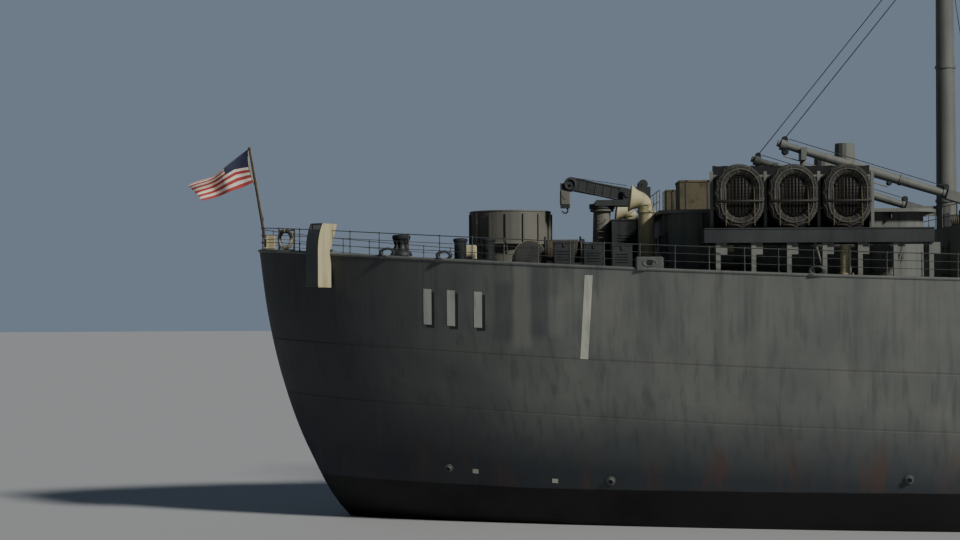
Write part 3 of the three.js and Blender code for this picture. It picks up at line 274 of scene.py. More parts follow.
def coat(verts, material, more=()):
    """Gives the faces round these points, and any more, a material by its number."""
    for face in {face for vert in verts for face in vert.link_faces} | set(more):
        face.material_index = material


def eased(share):
    """Packs the stations closer towards both ends."""
    return 0.5 - 0.5 * math.cos(math.pi * share)


def across_hull(height):
    """Where a point of the bottom or of the deck lies, given its shares of the length and of the beam."""
    def place(u, v):
        edge = hull_point(eased(u), height)
        return Vector((edge.x, edge.y * (2 * v - 1), edge.z))
    return place


hull_mesh = bmesh.new()
for side in (-1, 1):
    mapped_grid(hull_mesh, HULL_STATIONS, HULL_ROWS, lambda u, v: hull_point(eased(u), 2 * v - 1, side))
mapped_grid(hull_mesh, HULL_STATIONS, DECK_ROWS, across_hull(-1))
coat(mapped_grid(hull_mesh, HULL_STATIONS, DECK_ROWS, across_hull(1)), 1)
bmesh.ops.remove_doubles(hull_mesh, verts=hull_mesh.verts, dist=0.002)
bmesh.ops.dissolve_degenerate(hull_mesh, edges=hull_mesh.edges, dist=0.001)

# The shell's own coordinates for its paint: metres along the ship, and metres below the deck's edge.
shell_uv = hull_mesh.loops.layers.uv.new("plating")
for face in hull_mesh.faces:
    for loop in face.loops:
        point = loop.vert.co
        loop[shell_uv].uv = (point.x, deck_height(point.x) - point.z)

# Sea-grey paint rolled on over welded plate: flat, chalky, and streaked by run-off from the deck's edge.
SEA_GREY, SEA_GREY_WORN, SEA_GREY_DAMP = "#6a6e6c", "#7b7e79", "#4c5153"
STREAK_WIDTH, STREAK_LENGTH = 0.15, 2.3


def per_metre(size):
    """The scale of a pattern whose features have this size in metres of the real ship."""
    return 1 / (size * MODEL)


def sea_paint(name, base, worn, damp, roughness=(0.55, 0.78)):
    """Chalky paint on steel: cloudy patches, darker run-off streaks and a fine grit."""
    material, tree, shader = new_material(name)
    place = add_node(tree, "TexCoord").outputs["Object"]
    cloud = add_node(
        tree, "TexNoise", {"Vector": place, "Scale": per_metre(3.1), "Detail": 5, "Roughness": 0.6}
    )
    tone = add_node(tree, "ValToRGB", {"Fac": cloud.outputs["Fac"]})
    tone.color_ramp.elements[0].position, tone.color_ramp.elements[1].position = 0.36, 0.66
    tone.color_ramp.elements[0].color, tone.color_ramp.elements[1].color = linear(base), linear(worn)
    stretch = (per_metre(2 * STREAK_WIDTH), per_metre(2 * STREAK_WIDTH), per_metre(2 * STREAK_LENGTH))
    stretched = add_node(tree, "Mapping", {"Vector": place, "Scale": stretch})
    streaks = add_node(tree, "TexNoise", {"Vector": stretched.outputs[0], "Scale": 1, "Detail": 4})
    streak = add_node(
        tree, "MapRange", {"Value": streaks.outputs["Fac"], "From Min": 0.5, "From Max": 0.74, "To Max": 0.55}
    )
    colour = painted_over(tree, tone.outputs["Color"], damp, streak.outputs[0])
    grit = add_node(tree, "TexNoise", {"Vector": place, "Scale": per_metre(0.04), "Detail": 3})
    bump = add_node(tree, "Bump", {"Height": grit.outputs["Fac"], "Strength": 0.12, "Distance": 0.002})
    low, high = roughness
    rough = add_node(
        tree, "MapRange",
        {"Value": cloud.outputs["Fac"], "From Min": 0.3, "From Max": 0.7, "To Min": low, "To Max": high},
    )
    feed(tree, shader, {"Base Color": colour, "Roughness": rough.outputs[0], "Normal": bump.outputs[0]})
    return material, tree, shader, colour, bump


def painted_over(tree, under, over, *shares):
    """Lays a colour over another as far as every one of the shares lets it."""
    share = shares[0]
    for more in shares[1:]:
        share = add_node(tree, "Math", {0: share, 1: more}, operation="MULTIPLY").outputs[0]
    over = linear(over) if isinstance(over, str) else over
    return add_node(tree, "Mix", {"Factor": share, 6: under, 7: over}, data_type="RGBA").outputs[2]


def within(tree, value, low, high, soft):
    """1 where value lies between low and high, fading out over soft on both sides."""
    rise = add_node(
        tree, "MapRange",
        {"Value": value, "From Min": low - soft, "From Max": low},
        interpolation_type="SMOOTHSTEP",
    )
    fall = add_node(
        tree, "MapRange",
        {"Value": value, "From Min": high, "From Max": high + soft, "To Min": rise.outputs[0], "To Max": 0},
        interpolation_type="SMOOTHSTEP",
    )
    return fall.outputs[0]


BOOT_BLACK, ANTIFOULING, RUST, RUST_DARK = "#0c0c0e", "#4a2420", "#6b4630", "#3f2d24"
BOOT_TOP_HEIGHT, BOOT_TOP_SHEER = 1.7, 0.36
SEAM_DEPTHS, SEAM_SHARES = (4.05, 6.55), (0.3, 0.22)
SEAM_DARK = "#33302c"
BUTT_SPACING, BUTT_STAGGER, STRAKE_DEPTH = 7.3, 2.9, 2.2
hull_paint, tree, shader, grey, grit_bump = sea_paint(
    "sea_grey_paint_on_shell_plate", SEA_GREY, SEA_GREY_WORN, SEA_GREY_DAMP
)
shell = add_node(tree, "SeparateXYZ", {0: add_node(tree, "UVMap", uv_map="plating").outputs[0]})
along, below = shell.outputs[0], shell.outputs[1]
place = add_node(tree, "TexCoord").outputs["Object"]
height = add_node(tree, "SeparateXYZ", {0: place}).outputs[2]


def along_plating(stretch):
    """A stain's coordinates: metres along the ship, and metres down it shrunk so that stains run long."""
    down = add_node(tree, "Math", {0: below, 1: stretch}, operation="MULTIPLY").outputs[0]
    return add_node(tree, "CombineXYZ", {0: along, 1: down}).outputs[0]


# The plates below the second seam are painted darker towards the water: painted shade on the lower shell.
# Those above keep their chalky grey.
lower = add_node(tree, "MapRange", {"Value": below, "From Min": 5.7, "From Max": 9.0, "To Max": 0.92})
grey = painted_over(tree, grey, "#343a42", lower.outputs[0])
# The counter is painted darker towards the stern's end: painted shade for the round of the stern, which turns
# from the light.
counter_shade = add_node(tree, "MapRange", {"Value": along, "From Min": -80.5, "From Max": -90.5, "To Max": 0.76})
grey = painted_over(tree, grey, "#212530", counter_shade.outputs[0])
# Long faint stains run down from the deck's edge, and fade within some seven metres.
stain = add_node(tree, "TexNoise", {"Vector": along_plating(0.045), "Scale": 0.9, "Detail": 3})
stain = add_node(tree, "MapRange", {"Value": stain.outputs["Fac"], "From Min": 0.5, "From Max": 0.68})
fade = add_node(tree, "MapRange", {"Value": below, "From Max": 7.5, "To Min": 0.4, "To Max": 0})
grey = painted_over(tree, grey, "#3f4447", stain.outputs[0], fade.outputs[0])
# Patches abaft the stripe were touched up, three in lighter paint and two in darker.
for left, right, top, bottom, patch_colour, share in (
    (-83.6, -83.15, 1.1, 3.2, "#3a3f46", 0.4),
    (-82.75, -82.25, 0.3, 3.4, "#8a8c84", 0.42),
    (-82.0, -81.5, 0.15, 2.9, "#44494b", 0.5),
    (-81.2, -80.85, 1.6, 2.8, "#8a8c84", 0.34),
    (-78.9, -78.2, 0.15, 2.4, "#7f817b", 0.3),
):
    columns, rows = within(tree, along, left, right, 0.3), within(tree, below, top, bottom, 0.5)
    grey = painted_over(tree, grey, patch_colour, columns, rows, share)
# Rust gathers in broad weeping stains above the boot-topping, and darkens the seams.
spots = add_node(
    tree, "TexNoise", {"Vector": along_plating(0.25), "Scale": 0.8, "Detail": 6, "Roughness": 0.65}
)
rust = add_node(
    tree, "MapRange", {"Value": spots.outputs["Fac"], "From Min": 0.52, "From Max": 0.72, "To Max": 0.7}
)
grey = painted_over(tree, grey, RUST, rust.outputs[0], within(tree, height, 0.17, 0.21, 0.26))
lap_height = 0.0
for depth, share in zip(SEAM_DEPTHS, SEAM_SHARES):
    grey = painted_over(tree, grey, SEAM_DARK, within(tree, below, depth - 0.04, depth + 0.02, 0.06), share)
    step = add_node(tree, "MapRange", {"Value": below, "From Min": depth, "From Max": depth + 0.05})
    lap_height = add_node(tree, "Math", {0: lap_height, 1: step.outputs[0]}, operation="ADD").outputs[0]
# The butts of a strake's plates stand between those of the strake above.
strake = add_node(tree, "Math", {0: below, 1: STRAKE_DEPTH}, operation="DIVIDE").outputs[0]
strake = add_node(tree, "Math", {0: strake}, operation="FLOOR").outputs[0]
shifted = add_node(tree, "Math", {0: strake, 1: BUTT_STAGGER, 2: along}, operation="MULTIPLY_ADD").outputs[0]
from_butt = add_node(tree, "Math", {0: shifted, 1: BUTT_SPACING / 2}, operation="PINGPONG").outputs[0]
butt = add_node(
    tree, "MapRange", {"Value": from_butt, "From Min": 0.02, "From Max": 0.07, "To Min": 0.22, "To Max": 0}
)
grey = painted_over(tree, grey, SEA_GREY_DAMP, butt.outputs[0])
# The boot-topping's edge is cut in by hand, and rises towards the counter. Below the water it is dull red.
ragged = add_node(tree, "TexNoise", {"Vector": place, "Scale": per_metre(1.2), "Detail": 4}).outputs["Fac"]
edge = add_node(tree, "Math", {0: ragged, 1: 0.06 * MODEL, 2: height}, operation="MULTIPLY_ADD").outputs[0]
rise = add_node(
    tree, "MapRange", {"Value": along, "From Min": -82, "From Max": -94, "To Max": BOOT_TOP_SHEER * MODEL}
)
edge = add_node(tree, "Math", {0: edge, 1: rise.outputs[0]}, operation="SUBTRACT").outputs[0]
boot_top = BOOT_TOP_HEIGHT * MODEL
boot = add_node(
    tree, "MapRange",
    {"Value": edge, "From Min": boot_top, "From Max": boot_top + 0.006, "To Min": 1, "To Max": 0}
)
grey = painted_over(tree, grey, BOOT_BLACK, boot.outputs[0])
wet = add_node(
    tree, "MapRange", {"Value": height, "From Min": -0.01, "From Max": 0.0, "To Min": 1, "To Max": 0}
)
grey = painted_over(tree, grey, ANTIFOULING, wet.outputs[0])
lap_bump = add_node(
    tree, "Bump", {"Height": lap_height, "Strength": 0.6, "Distance": 0.004, "Normal": grit_bump.outputs[0]}
)
dent = add_node(tree, "TexNoise", {"Vector": place, "Scale": per_metre(5.9), "Detail": 2}).outputs["Fac"]
dents = add_node(
    tree, "Bump", {"Height": dent, "Strength": 0.5, "Distance": 0.03, "Normal": lap_bump.outputs[0]}
)
feed(tree, shader, {"Base Color": grey, "Normal": dents.outputs[0]})


# Dark non-slip deck paint, rolled on with grit in it: paler where feet and gear have worn it, and dusty.
def deck_paint(name, base, worn):
    material, tree, shader = new_material(name)
    place = add_node(tree, "TexCoord").outputs["Object"]
    traffic = add_node(
        tree, "TexNoise", {"Vector": place, "Scale": per_metre(2.6), "Detail": 6, "Roughness": 0.62}
    )
    share = add_node(tree, "MapRange", {"Value": traffic.outputs["Fac"], "From Min": 0.42, "From Max": 0.66})
    colour = painted_over(tree, linear(base), worn, share.outputs[0])
    blots = add_node(tree, "TexNoise", {"Vector": place, "Scale": per_metre(0.7), "Detail": 3}).outputs["Fac"]
    share = add_node(tree, "MapRange", {"Value": blots, "From Min": 0.58, "From Max": 0.7, "To Max": 0.3})
    colour = painted_over(tree, colour, RUST_DARK, share.outputs[0])
    grit = add_node(tree, "TexNoise", {"Vector": place, "Scale": per_metre(0.03), "Detail": 2}).outputs["Fac"]
    bump = add_node(tree, "Bump", {"Height": grit, "Strength": 0.4, "Distance": 0.002})
    feed(tree, shader, {"Base Color": colour, "Normal": bump.outputs[0], "Roughness": 0.86})
    return material


deck_grey = deck_paint("gritted_deck_paint", "#3b4043", "#565b5c")
finish("hull_shell", hull_mesh, hull_paint, deck_grey, replaced=["hull"], slot="hull_paint", sharp_degrees=40)

# Hull markings
# Off-white stencilled bars on the quarter, each with a dark drop shadow, and the upright stripe forward of
# them. They are drawn on the shell as thin skins of paint that follow its curve.
BAR_WHITE_IN_SHADE, STRIPE_WHITE, MARK_SHADOW = "#a9aea8", "#c3cabe", "#1a1c20"
BAR_CENTRES, BAR_WIDTH, BAR_TOP, BAR_FOOT = (-86.7, -85.65, -84.45), 0.36, 1.32, 2.9
SHADOW_SHIFT = 0.13
STRIPE_TOP, STRIPE_FOOT, STRIPE_WIDTH = (-79.64, 0.36), (-79.83, 4.02), 0.34
TICKS, TICK_SIZE = ((-84.6, 9.3), (-81.05, 9.45)), (0.26, 0.2)


def thickened(mesh, faces, shift):
    """Gives a sheet its thickness: a shifted copy of its faces is joined to it round the edge."""
    grown = bmesh.ops.extrude_face_region(mesh, geom=list(faces), use_keep_orig=True)["geom"]
    bmesh.ops.translate(
        mesh, vec=shift, verts=[part for part in grown if isinstance(part, bmesh.types.BMVert)]
    )
    return {part for part in grown if isinstance(part, bmesh.types.BMFace)}


def painted_patch(mesh, top, foot, width, proud, material=0):
    """A strip of paint on the starboard shell between two places, each x and depth below the deck's edge."""
    def place(u, v):
        x = foot[0] + v * (top[0] - foot[0]) + (u - 0.5) * width
        return plating_at(x, foot[1] + v * (top[1] - foot[1]), -1, proud)

    made = mapped_grid(mesh, 2, 10, place)
    faces = {face for vert in made for face in vert.link_faces}
    coat((), material, faces | thickened(mesh, faces, (0, proud + 0.01, 0)))


marks = bmesh.new()
for x in BAR_CENTRES:
    for shift, proud, material in ((SHADOW_SHIFT, 0.006, 1), (0, 0.012, 0)):
        painted_patch(
            marks, (x + shift, BAR_TOP + shift), (x + shift, BAR_FOOT + shift), BAR_WIDTH, proud, material
        )
painted_patch(marks, STRIPE_TOP, STRIPE_FOOT, STRIPE_WIDTH, 0.008, 2)
for x, below in TICKS:
    painted_patch(marks, (x, below), (x, below + TICK_SIZE[1]), TICK_SIZE[0], 0.008, 2)
# The bars' white is greyer than the stripe's: painted shade, for the dimmer light on the counter where they
# stand.
bar_white_in_painted_shade = sea_paint("stencil_white_darkened_as_painted_shade", BAR_WHITE_IN_SHADE, "#b6b9b2", "#797d7b")[0]
stripe_white = sea_paint("stripe_white_paint", STRIPE_WHITE, "#d2d3c6", "#92958a")[0]
mark_shadow = sea_paint("stencil_shadow_paint", MARK_SHADOW, "#33373a", "#1b1d1f")[0]
finish("hull_markings", marks, bar_white_in_painted_shade, mark_shadow, stripe_white, slot="hull_paint")

# Gunwale bar and overboard discharges
# A rounded bar is welded along the deck's edge, and short pipes with flanges come through the shell near
# the water. Both are steel, painted with the hull; the pipes' mouths are dark, and rusty below.
GUNWALE_RADIUS, GUNWALE_SINK = 0.075, 0.03
DISCHARGES = [(-85.8, 9.35), (-78.6, 9.35), (-66, 8.6), (-41, 8.7), (-12, 8.6), (21, 8.6), (48, 8.9)]
DISCHARGE_RADIUS, DISCHARGE_LENGTH, FLANGE_RADIUS = 0.13, 0.14, 0.2


def deck_edge(x, side=-1, inset=0.0, rise=0.0):
    """A point at the deck's edge, or inboard of it and above it."""
    return Vector((x, side * (half_breadth(x, 1) - inset), deck_height(x) + rise))


def around_deck(start, inset, rise):
    """A route along the deck's edge from x = start to port, round the stern, to the same x to starboard."""
    def route(share):
        side = 1 if share < 0.5 else -1
        along = eased(0.5 * abs(1 - 2 * share)) * 2
        stern = -HALF_LENGTH + inset
        x = stern + along * (start - stern)
        here = deck_edge(x, side, 0, rise)
        reach = max(abs(here.y) - inset, 0) if along > 0 else 0
        return Vector((x, side * reach, here.z))
    return route


def pipe(mesh, route, steps, radius, sides=6, material=0):
    """A round bar, pipe or wire along a route, a function from 0 to 1, closed at its ends."""
    def place(u, v):
        ahead = (route(min(u + 0.001, 1)) - route(max(u - 0.001, 0))).normalized()
        across = ahead.cross(Vector((0, 0, 1)))
        across = across.normalized() if across.length > 0.001 else Vector((1, 0, 0))
        angle = 2 * math.pi * v
        return route(u) + radius * (math.cos(angle) * across + math.sin(angle) * across.cross(ahead))

    close_tube(mesh, mapped_grid(mesh, steps, sides, place), radius * 0.02, material)


def close_tube(mesh, made, gap, material):
    """Joins a tube along its seam and caps its ends."""
    bmesh.ops.remove_doubles(mesh, verts=made, dist=gap)
    made = [vert for vert in made if vert.is_valid]
    rims = {edge for vert in made for edge in vert.link_edges if edge.is_boundary}
    coat(made, material, bmesh.ops.holes_fill(mesh, edges=list(rims), sides=0)["faces"])


def bar(mesh, start, end, radius, end_radius=None, sides=8, material=0, at=(0, 0, 0)):
    """A straight round bar, or a taper, between two points that are counted from a third."""
    start, end = Vector(start) + Vector(at), Vector(end) + Vector(at)
    made = bmesh.ops.create_cone(
        mesh, cap_ends=True, segments=sides, radius1=radius,
        radius2=radius if end_radius is None else end_radius, depth=(end - start).length,
    )["verts"]
    turn = Vector((0, 0, 1)).rotation_difference(end - start).to_matrix()
    bmesh.ops.rotate(mesh, cent=(0, 0, 0), matrix=turn, verts=made)
    bmesh.ops.translate(mesh, vec=(start + end) / 2, verts=made)
    coat(made, material)


def pin(mesh, middle, half, radius, **more):
    """A bar that reaches equally far to both sides of a point."""
    bar(mesh, Vector(middle) - Vector(half), Vector(middle) + Vector(half), radius, **more)


gunwale = bmesh.new()
pipe(gunwale, around_deck(HALF_LENGTH - 0.6, GUNWALE_SINK, 0), 420, GUNWALE_RADIUS, 8)
for side in (-1, 1):
    for x, below in DISCHARGES:
        for inner, outer, radius, material in (
            (-0.1, DISCHARGE_LENGTH, DISCHARGE_RADIUS, 0),
            (0, 0.05, FLANGE_RADIUS, 0),
            (DISCHARGE_LENGTH, DISCHARGE_LENGTH + 0.01, 0.8 * DISCHARGE_RADIUS, 1),
        ):
            foot, head = plating_at(x, below, side, inner), plating_at(x, below, side, outer)
            bar(gunwale, foot, head, radius, sides=16, material=material)
shadow_black = sea_paint("black_inside_a_pipe", "#101112", "#17181a", "#0a0a0b")[0]
finish("gunwale_bar", gunwale, hull_paint, shadow_black, slot="hull_paint")

# Guard rails
# Galvanised stanchions, painted grey, stand in sockets along the deck's edge and carry three courses of
# rail. They run right round the stern from the break of the bow bulwark.
RAIL_FORWARD_END, RAIL_INSET = 73.9, 0.14
RAIL_COURSES, COURSE_RADII = (0.4, 0.74, 1.07), (0.014, 0.014, 0.022)
STANCHION_PITCH, STANCHION_RADIUS = 1.5, 0.027
SOCKET_RADIUS, SOCKET_HEIGHT = 0.06, 0.12


def even_places(route, pitch, samples=2400):
    """Points along a route, one for each pitch of its length."""
    points, gone, last = [route(0)], 0.0, route(0)
    for i in range(1, samples + 1):
        here = route(i / samples)
        gone += (here - last).length
        last = here
        if gone >= pitch:
            points.append(here)
            gone -= pitch
    return points


def repeat(mesh, part, places):
    """Adds a copy of a part, a small mesh that it uses up, at each place: a point or a matrix."""
    data = bpy.data.meshes.new("part")
    part.to_mesh(data)
    part.free()
    for place in places:
        copy = data.copy()
        copy.transform(place if isinstance(place, Matrix) else Matrix.Translation(place))
        mesh.from_mesh(copy)
        bpy.data.meshes.remove(copy)
    bpy.data.meshes.remove(data)


rails = bmesh.new()
for rise, radius in zip(RAIL_COURSES, COURSE_RADII):
    pipe(rails, around_deck(RAIL_FORWARD_END, RAIL_INSET, rise), 360, radius, 5)
stanchion = bmesh.new()
bar(stanchion, (0, 0, -0.05), (0, 0, RAIL_COURSES[-1]), STANCHION_RADIUS, 0.8 * STANCHION_RADIUS, 6)
bar(stanchion, (0, 0, -0.05), (0, 0, SOCKET_HEIGHT), SOCKET_RADIUS, 0.8 * SOCKET_RADIUS, 8)
for rise in RAIL_COURSES:
    pin(stanchion, (0, 0, rise), (0, 0, 0.04), 1.5 * STANCHION_RADIUS, sides=6)
repeat(rails, stanchion, even_places(around_deck(RAIL_FORWARD_END, RAIL_INSET, 0), STANCHION_PITCH))
rail_grey = sea_paint("grey_paint_on_rails", "#434849", "#585c5b", "#2e3234")[0]
finish("guard_rails", rails, rail_grey, slot="house_paint")

# Rubbish chute
# A steel chute hangs over the quarter: a hood above the deck to throw into, and a duct down the ship's
# side. It is weathered cream on the face towards the bow, and near-black grey elsewhere: painted shade on
# the faces that the sun missed.


def block(mesh, low, high, edge=0.0, turn=None, material=0, at=(0, 0, 0)):
    """A box between two corners that are counted from a point, with eased edges, turned about its middle."""
    low, high = Vector(low) + Vector(at), Vector(high) + Vector(at)
    made = bmesh.ops.create_cube(mesh, size=1)["verts"]
    bmesh.ops.scale(mesh, vec=high - low, verts=made)
    if edge:
        edges = {line for vert in made for line in vert.link_edges}
        made = bmesh.ops.bevel(
            mesh, geom=list(edges), offset=edge, segments=1, profile=0.5, material=-1, affect="EDGES"
        )["verts"]
    if turn:
        bmesh.ops.rotate(mesh, cent=(0, 0, 0), matrix=turn, verts=made)
    bmesh.ops.translate(mesh, vec=(low + high) / 2, verts=made)
    coat(made, material)


def slab(mesh, middle, half, *more, **named):
    """A box that reaches equally far to both sides of its middle."""
    block(mesh, Vector(middle) - Vector(half), Vector(middle) + Vector(half), *more, **named)


def real_box(node):
    """The box that a CAD node fills, in metres of the real ship."""
    return [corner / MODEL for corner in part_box(node)]


def dress(node, *materials, choose=None):
    """Gives a CAD node that stays its finish: choose picks one for a face by its middle and normal."""
    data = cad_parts[node].data
    data.materials.clear()
    for material in materials:
        data.materials.append(material)
    for face in data.polygons:
        face.material_index = choose(face.center / MODEL, face.normal) if choose else 0


CREAM, CREAM_WORN, CREAM_DIRT = "#cdc8a4", "#b9b18c", "#7d7455"
cream = sea_paint("weathered_cream_paint", CREAM, CREAM_WORN, CREAM_DIRT)[0]
# Near-black grey: painted shade on the chute's faces and edge bars that stood out of the sun.
chute_shade_grey = sea_paint("sea_grey_darkened_as_shade_on_chute", "#3c4145", "#484d50", "#2a2e32")[0]
CHUTE_X, CHUTE_HALF_WIDTH, CHUTE_HINGE_Z = -91.45, 0.35, 12.45
CHUTE_LIP_OUT, CHUTE_FOOT_OUT = 0.52, 0.9
chute_middle = deck_edge(CHUTE_X)
chute_out = plating_at(CHUTE_X, 0.1, proud=1) - plating_at(CHUTE_X, 0.1)
chute_out = Vector((chute_out.x, chute_out.y, 0)).normalized()
chute_forward = Vector((0, 0, 1)).cross(chute_out)


def chute_side(at, normal):
    """1 on the outer face of the chute's forward side."""
    outermost = (at - chute_middle).dot(chute_forward) > 0.85 * CHUTE_HALF_WIDTH
    return int(normal.dot(chute_forward) > 0.9 and outermost)


dress("rubbish_chute", chute_shade_grey, cream, choose=chute_side)
chute_low, chute_high = real_box("rubbish_chute")
chute_trim = bmesh.new()
for out, z, reach, radius in (
    (CHUTE_LIP_OUT, chute_high.z - 0.02, CHUTE_HALF_WIDTH, 0.035),
    (CHUTE_FOOT_OUT, chute_low.z + 0.04, CHUTE_HALF_WIDTH + 0.02, 0.035),
    (-0.02, CHUTE_HINGE_Z, CHUTE_HALF_WIDTH + 0.12, 0.05),
):
    middle = Vector((chute_middle.x, chute_middle.y, z)) + chute_out * out
    pin(chute_trim, middle, chute_forward * reach, radius)
finish("chute_edge_bars", chute_trim, chute_shade_grey, slot="hull_paint")

# Ring lifebuoy
# A cork ring in painted canvas, dark above and white below, with a grab line stopped round it in four
# bights. It hangs in a bracket of flat bar at the stern rail, and the bracket's stem stands on the deck.
BUOY_X, BUOY_RADIUS, BUOY_TUBE, BUOY_Z, BUOY_INSET = -93.4, 0.38, 0.08, 13.05, 0.35
BUOY_TURN = math.radians(38)


def fabric(name, base, worn, dirt, pitch):
    """A plain-woven cloth: threads that cross at a pitch in metres of the real ship, with fading and dirt."""
    material, tree, shader = new_material(name)
    place = add_node(tree, "TexCoord").outputs["Object"]
    fading = add_node(
        tree, "TexNoise", {"Vector": place, "Scale": per_metre(0.9), "Detail": 5, "Roughness": 0.6}
    )
    share = add_node(tree, "MapRange", {"Value": fading.outputs["Fac"], "From Min": 0.36, "From Max": 0.64})
    colour = painted_over(tree, linear(base), worn, share.outputs[0])
    stains = add_node(
        tree, "TexNoise", {"Vector": place, "Scale": per_metre(0.33), "Detail": 5}
    ).outputs["Fac"]
    share = add_node(tree, "MapRange", {"Value": stains, "From Min": 0.52, "From Max": 0.72, "To Max": 0.6})
    colour = painted_over(tree, colour, dirt, share.outputs[0])
    threads = [
        add_node(
            tree, "TexWave", {"Vector": place, "Scale": per_metre(pitch) / 3.2, "Distortion": 0.6},
            bands_direction=direction,
        ).outputs["Fac"]
        for direction in ("X", "Z")
    ]
    weave = add_node(tree, "Math", {0: threads[0], 1: threads[1]}, operation="MULTIPLY").outputs[0]
    bump = add_node(tree, "Bump", {"Height": weave, "Strength": 0.6, "Distance": 0.002})
    feed(
        tree, shader,
        {"Base Color": colour, "Normal": bump.outputs[0], "Roughness": 0.88, "Sheen Weight": 0.15}
    )
    return material


def turned(profile, sides=24, material=0):
    """A part turned about the upright axis, from a profile of (radius, height) that ends on the axis."""
    part = bmesh.new()
    points = [part.verts.new((radius, 0, z)) for radius, z in profile]
    edges = [part.edges.new(pair) for pair in zip(points, points[1:])]
    bmesh.ops.spin(
        part, geom=points + edges, axis=(0, 0, 1), cent=(0, 0, 0), angle=2 * math.pi, steps=sides,
        use_merge=True,
    )
    bmesh.ops.remove_doubles(part, verts=part.verts, dist=0.0005)
    for face in part.faces:
        face.material_index = material
    return part


def ring(radius, tube, sides=28, tube_sides=10, material=0, material_of=None):
    """A closed ring in the XZ plane about the origin."""
    part = bmesh.new()

    def route(share):
        angle = 2 * math.pi * share
        return Vector((radius * math.cos(angle), 0, radius * math.sin(angle)))

    def place(u, v):
        angle = 2 * math.pi * v
        out = route(u) / radius
        return route(u) + tube * (math.cos(angle) * out + Vector((0, math.sin(angle), 0)))

    mapped_grid(part, sides, tube_sides, place)
    bmesh.ops.remove_doubles(part, verts=part.verts, dist=tube * 0.05)
    for face in part.faces:
        face.material_index = material_of(face.calc_center_median()) if material_of else material
    return part


def placed(at, turn=0, axis="Z"):
    """A place for a part: at a point, and turned there about an axis."""
    return Matrix.Translation(at) @ Matrix.Rotation(turn, 4, axis)


buoy_side = half_breadth(BUOY_X, 1) - BUOY_INSET
buoy_place = placed((BUOY_X, -buoy_side, BUOY_Z), -BUOY_TURN)
buoy = bmesh.new()
repeat(
    buoy, ring(BUOY_RADIUS, BUOY_TUBE, 36, 12, material_of=lambda at: 0 if at.z < -0.02 else 1), [buoy_place]
)
bights = bmesh.new()
for quarter in range(4):
    def bight(share):
        angle = math.pi / 2 * (quarter + share)
        reach = BUOY_RADIUS + BUOY_TUBE + 0.045 * math.sin(math.pi * share)
        return Vector((reach * math.cos(angle), 0, reach * math.sin(angle)))
    pipe(bights, bight, 12, 0.013, 6, 2)
    lashed = Matrix.Rotation(-math.pi / 2 * quarter, 4, "Y") @ placed((BUOY_RADIUS, 0, 0), math.pi / 2, "X")
    repeat(bights, ring(BUOY_TUBE + 0.006, 0.02, 14, 6, 2), [lashed])
repeat(buoy, bights, [buoy_place])
buoy_frame = bmesh.new()
block(buoy_frame, (-0.05, 0.1, deck_height(BUOY_X) - BUOY_Z), (0.05, 0.14, -0.3), 0.01, material=3)
for x in (-0.47, 0.47):
    block(buoy_frame, (x - 0.035, 0.09, -0.5), (x + 0.035, 0.13, 0.46), 0.01, material=3)
for z in (-0.5, 0.42):
    block(buoy_frame, (-0.5, 0.09, z - 0.035), (0.5, 0.13, z + 0.035), 0.01, material=3)
repeat(buoy, buoy_frame, [buoy_place])
buoy_white = fabric("white_painted_canvas", "#d2cfbe", "#c3bda6", "#8d8468", 0.004)
buoy_dark = fabric("dark_painted_canvas", "#34343a", "#44434a", "#26262a", 0.004)
manila = fabric("manila_line", "#a3916a", "#b5a683", "#6d5f42", 0.012)
finish(
    "ring_lifebuoy", buoy, buoy_white, buoy_dark, manila, rail_grey, replaced=["ring_buoy"],
    slot="cream_paint"
)

# Ensign staff
# A tapered spruce pole, varnished and dark with age, steps in a cream-painted steel box at the stern and
# leans aft. It has a turned truck at its head, a cleat, and a manila halyard drawn taut beside it.
STAFF_FOOT, STAFF_HEAD, STAFF_RADIUS = Vector((-94.45, 0, 12.1)), Vector((-95.38, 0, 17.62)), 0.075
STAFF_STEP_TOP = 13.35


def wood(name, light, dark, grain):
    """Weathered timber: fine grain that runs upright, with darker checks and faded patches."""
    material, tree, shader = new_material(name)
    place = add_node(tree, "TexCoord").outputs["Object"]
    stretched = add_node(
        tree, "Mapping", {"Vector": place, "Scale": [per_metre(grain) * s for s in (1, 1, 0.06)]}
    )
    lines = add_node(
        tree, "TexNoise", {"Vector": stretched.outputs[0], "Scale": 1, "Detail": 6, "Roughness": 0.7}
    )
    tone = add_node(tree, "ValToRGB", {"Fac": lines.outputs["Fac"]})
    tone.color_ramp.elements[0].position, tone.color_ramp.elements[1].position = 0.34, 0.66
    tone.color_ramp.elements[0].color, tone.color_ramp.elements[1].color = linear(dark), linear(light)
    bump = add_node(tree, "Bump", {"Height": lines.outputs["Fac"], "Strength": 0.4, "Distance": 0.001})
    feed(tree, shader, {"Base Color": tone.outputs["Color"], "Normal": bump.outputs[0], "Roughness": 0.6})
    return material


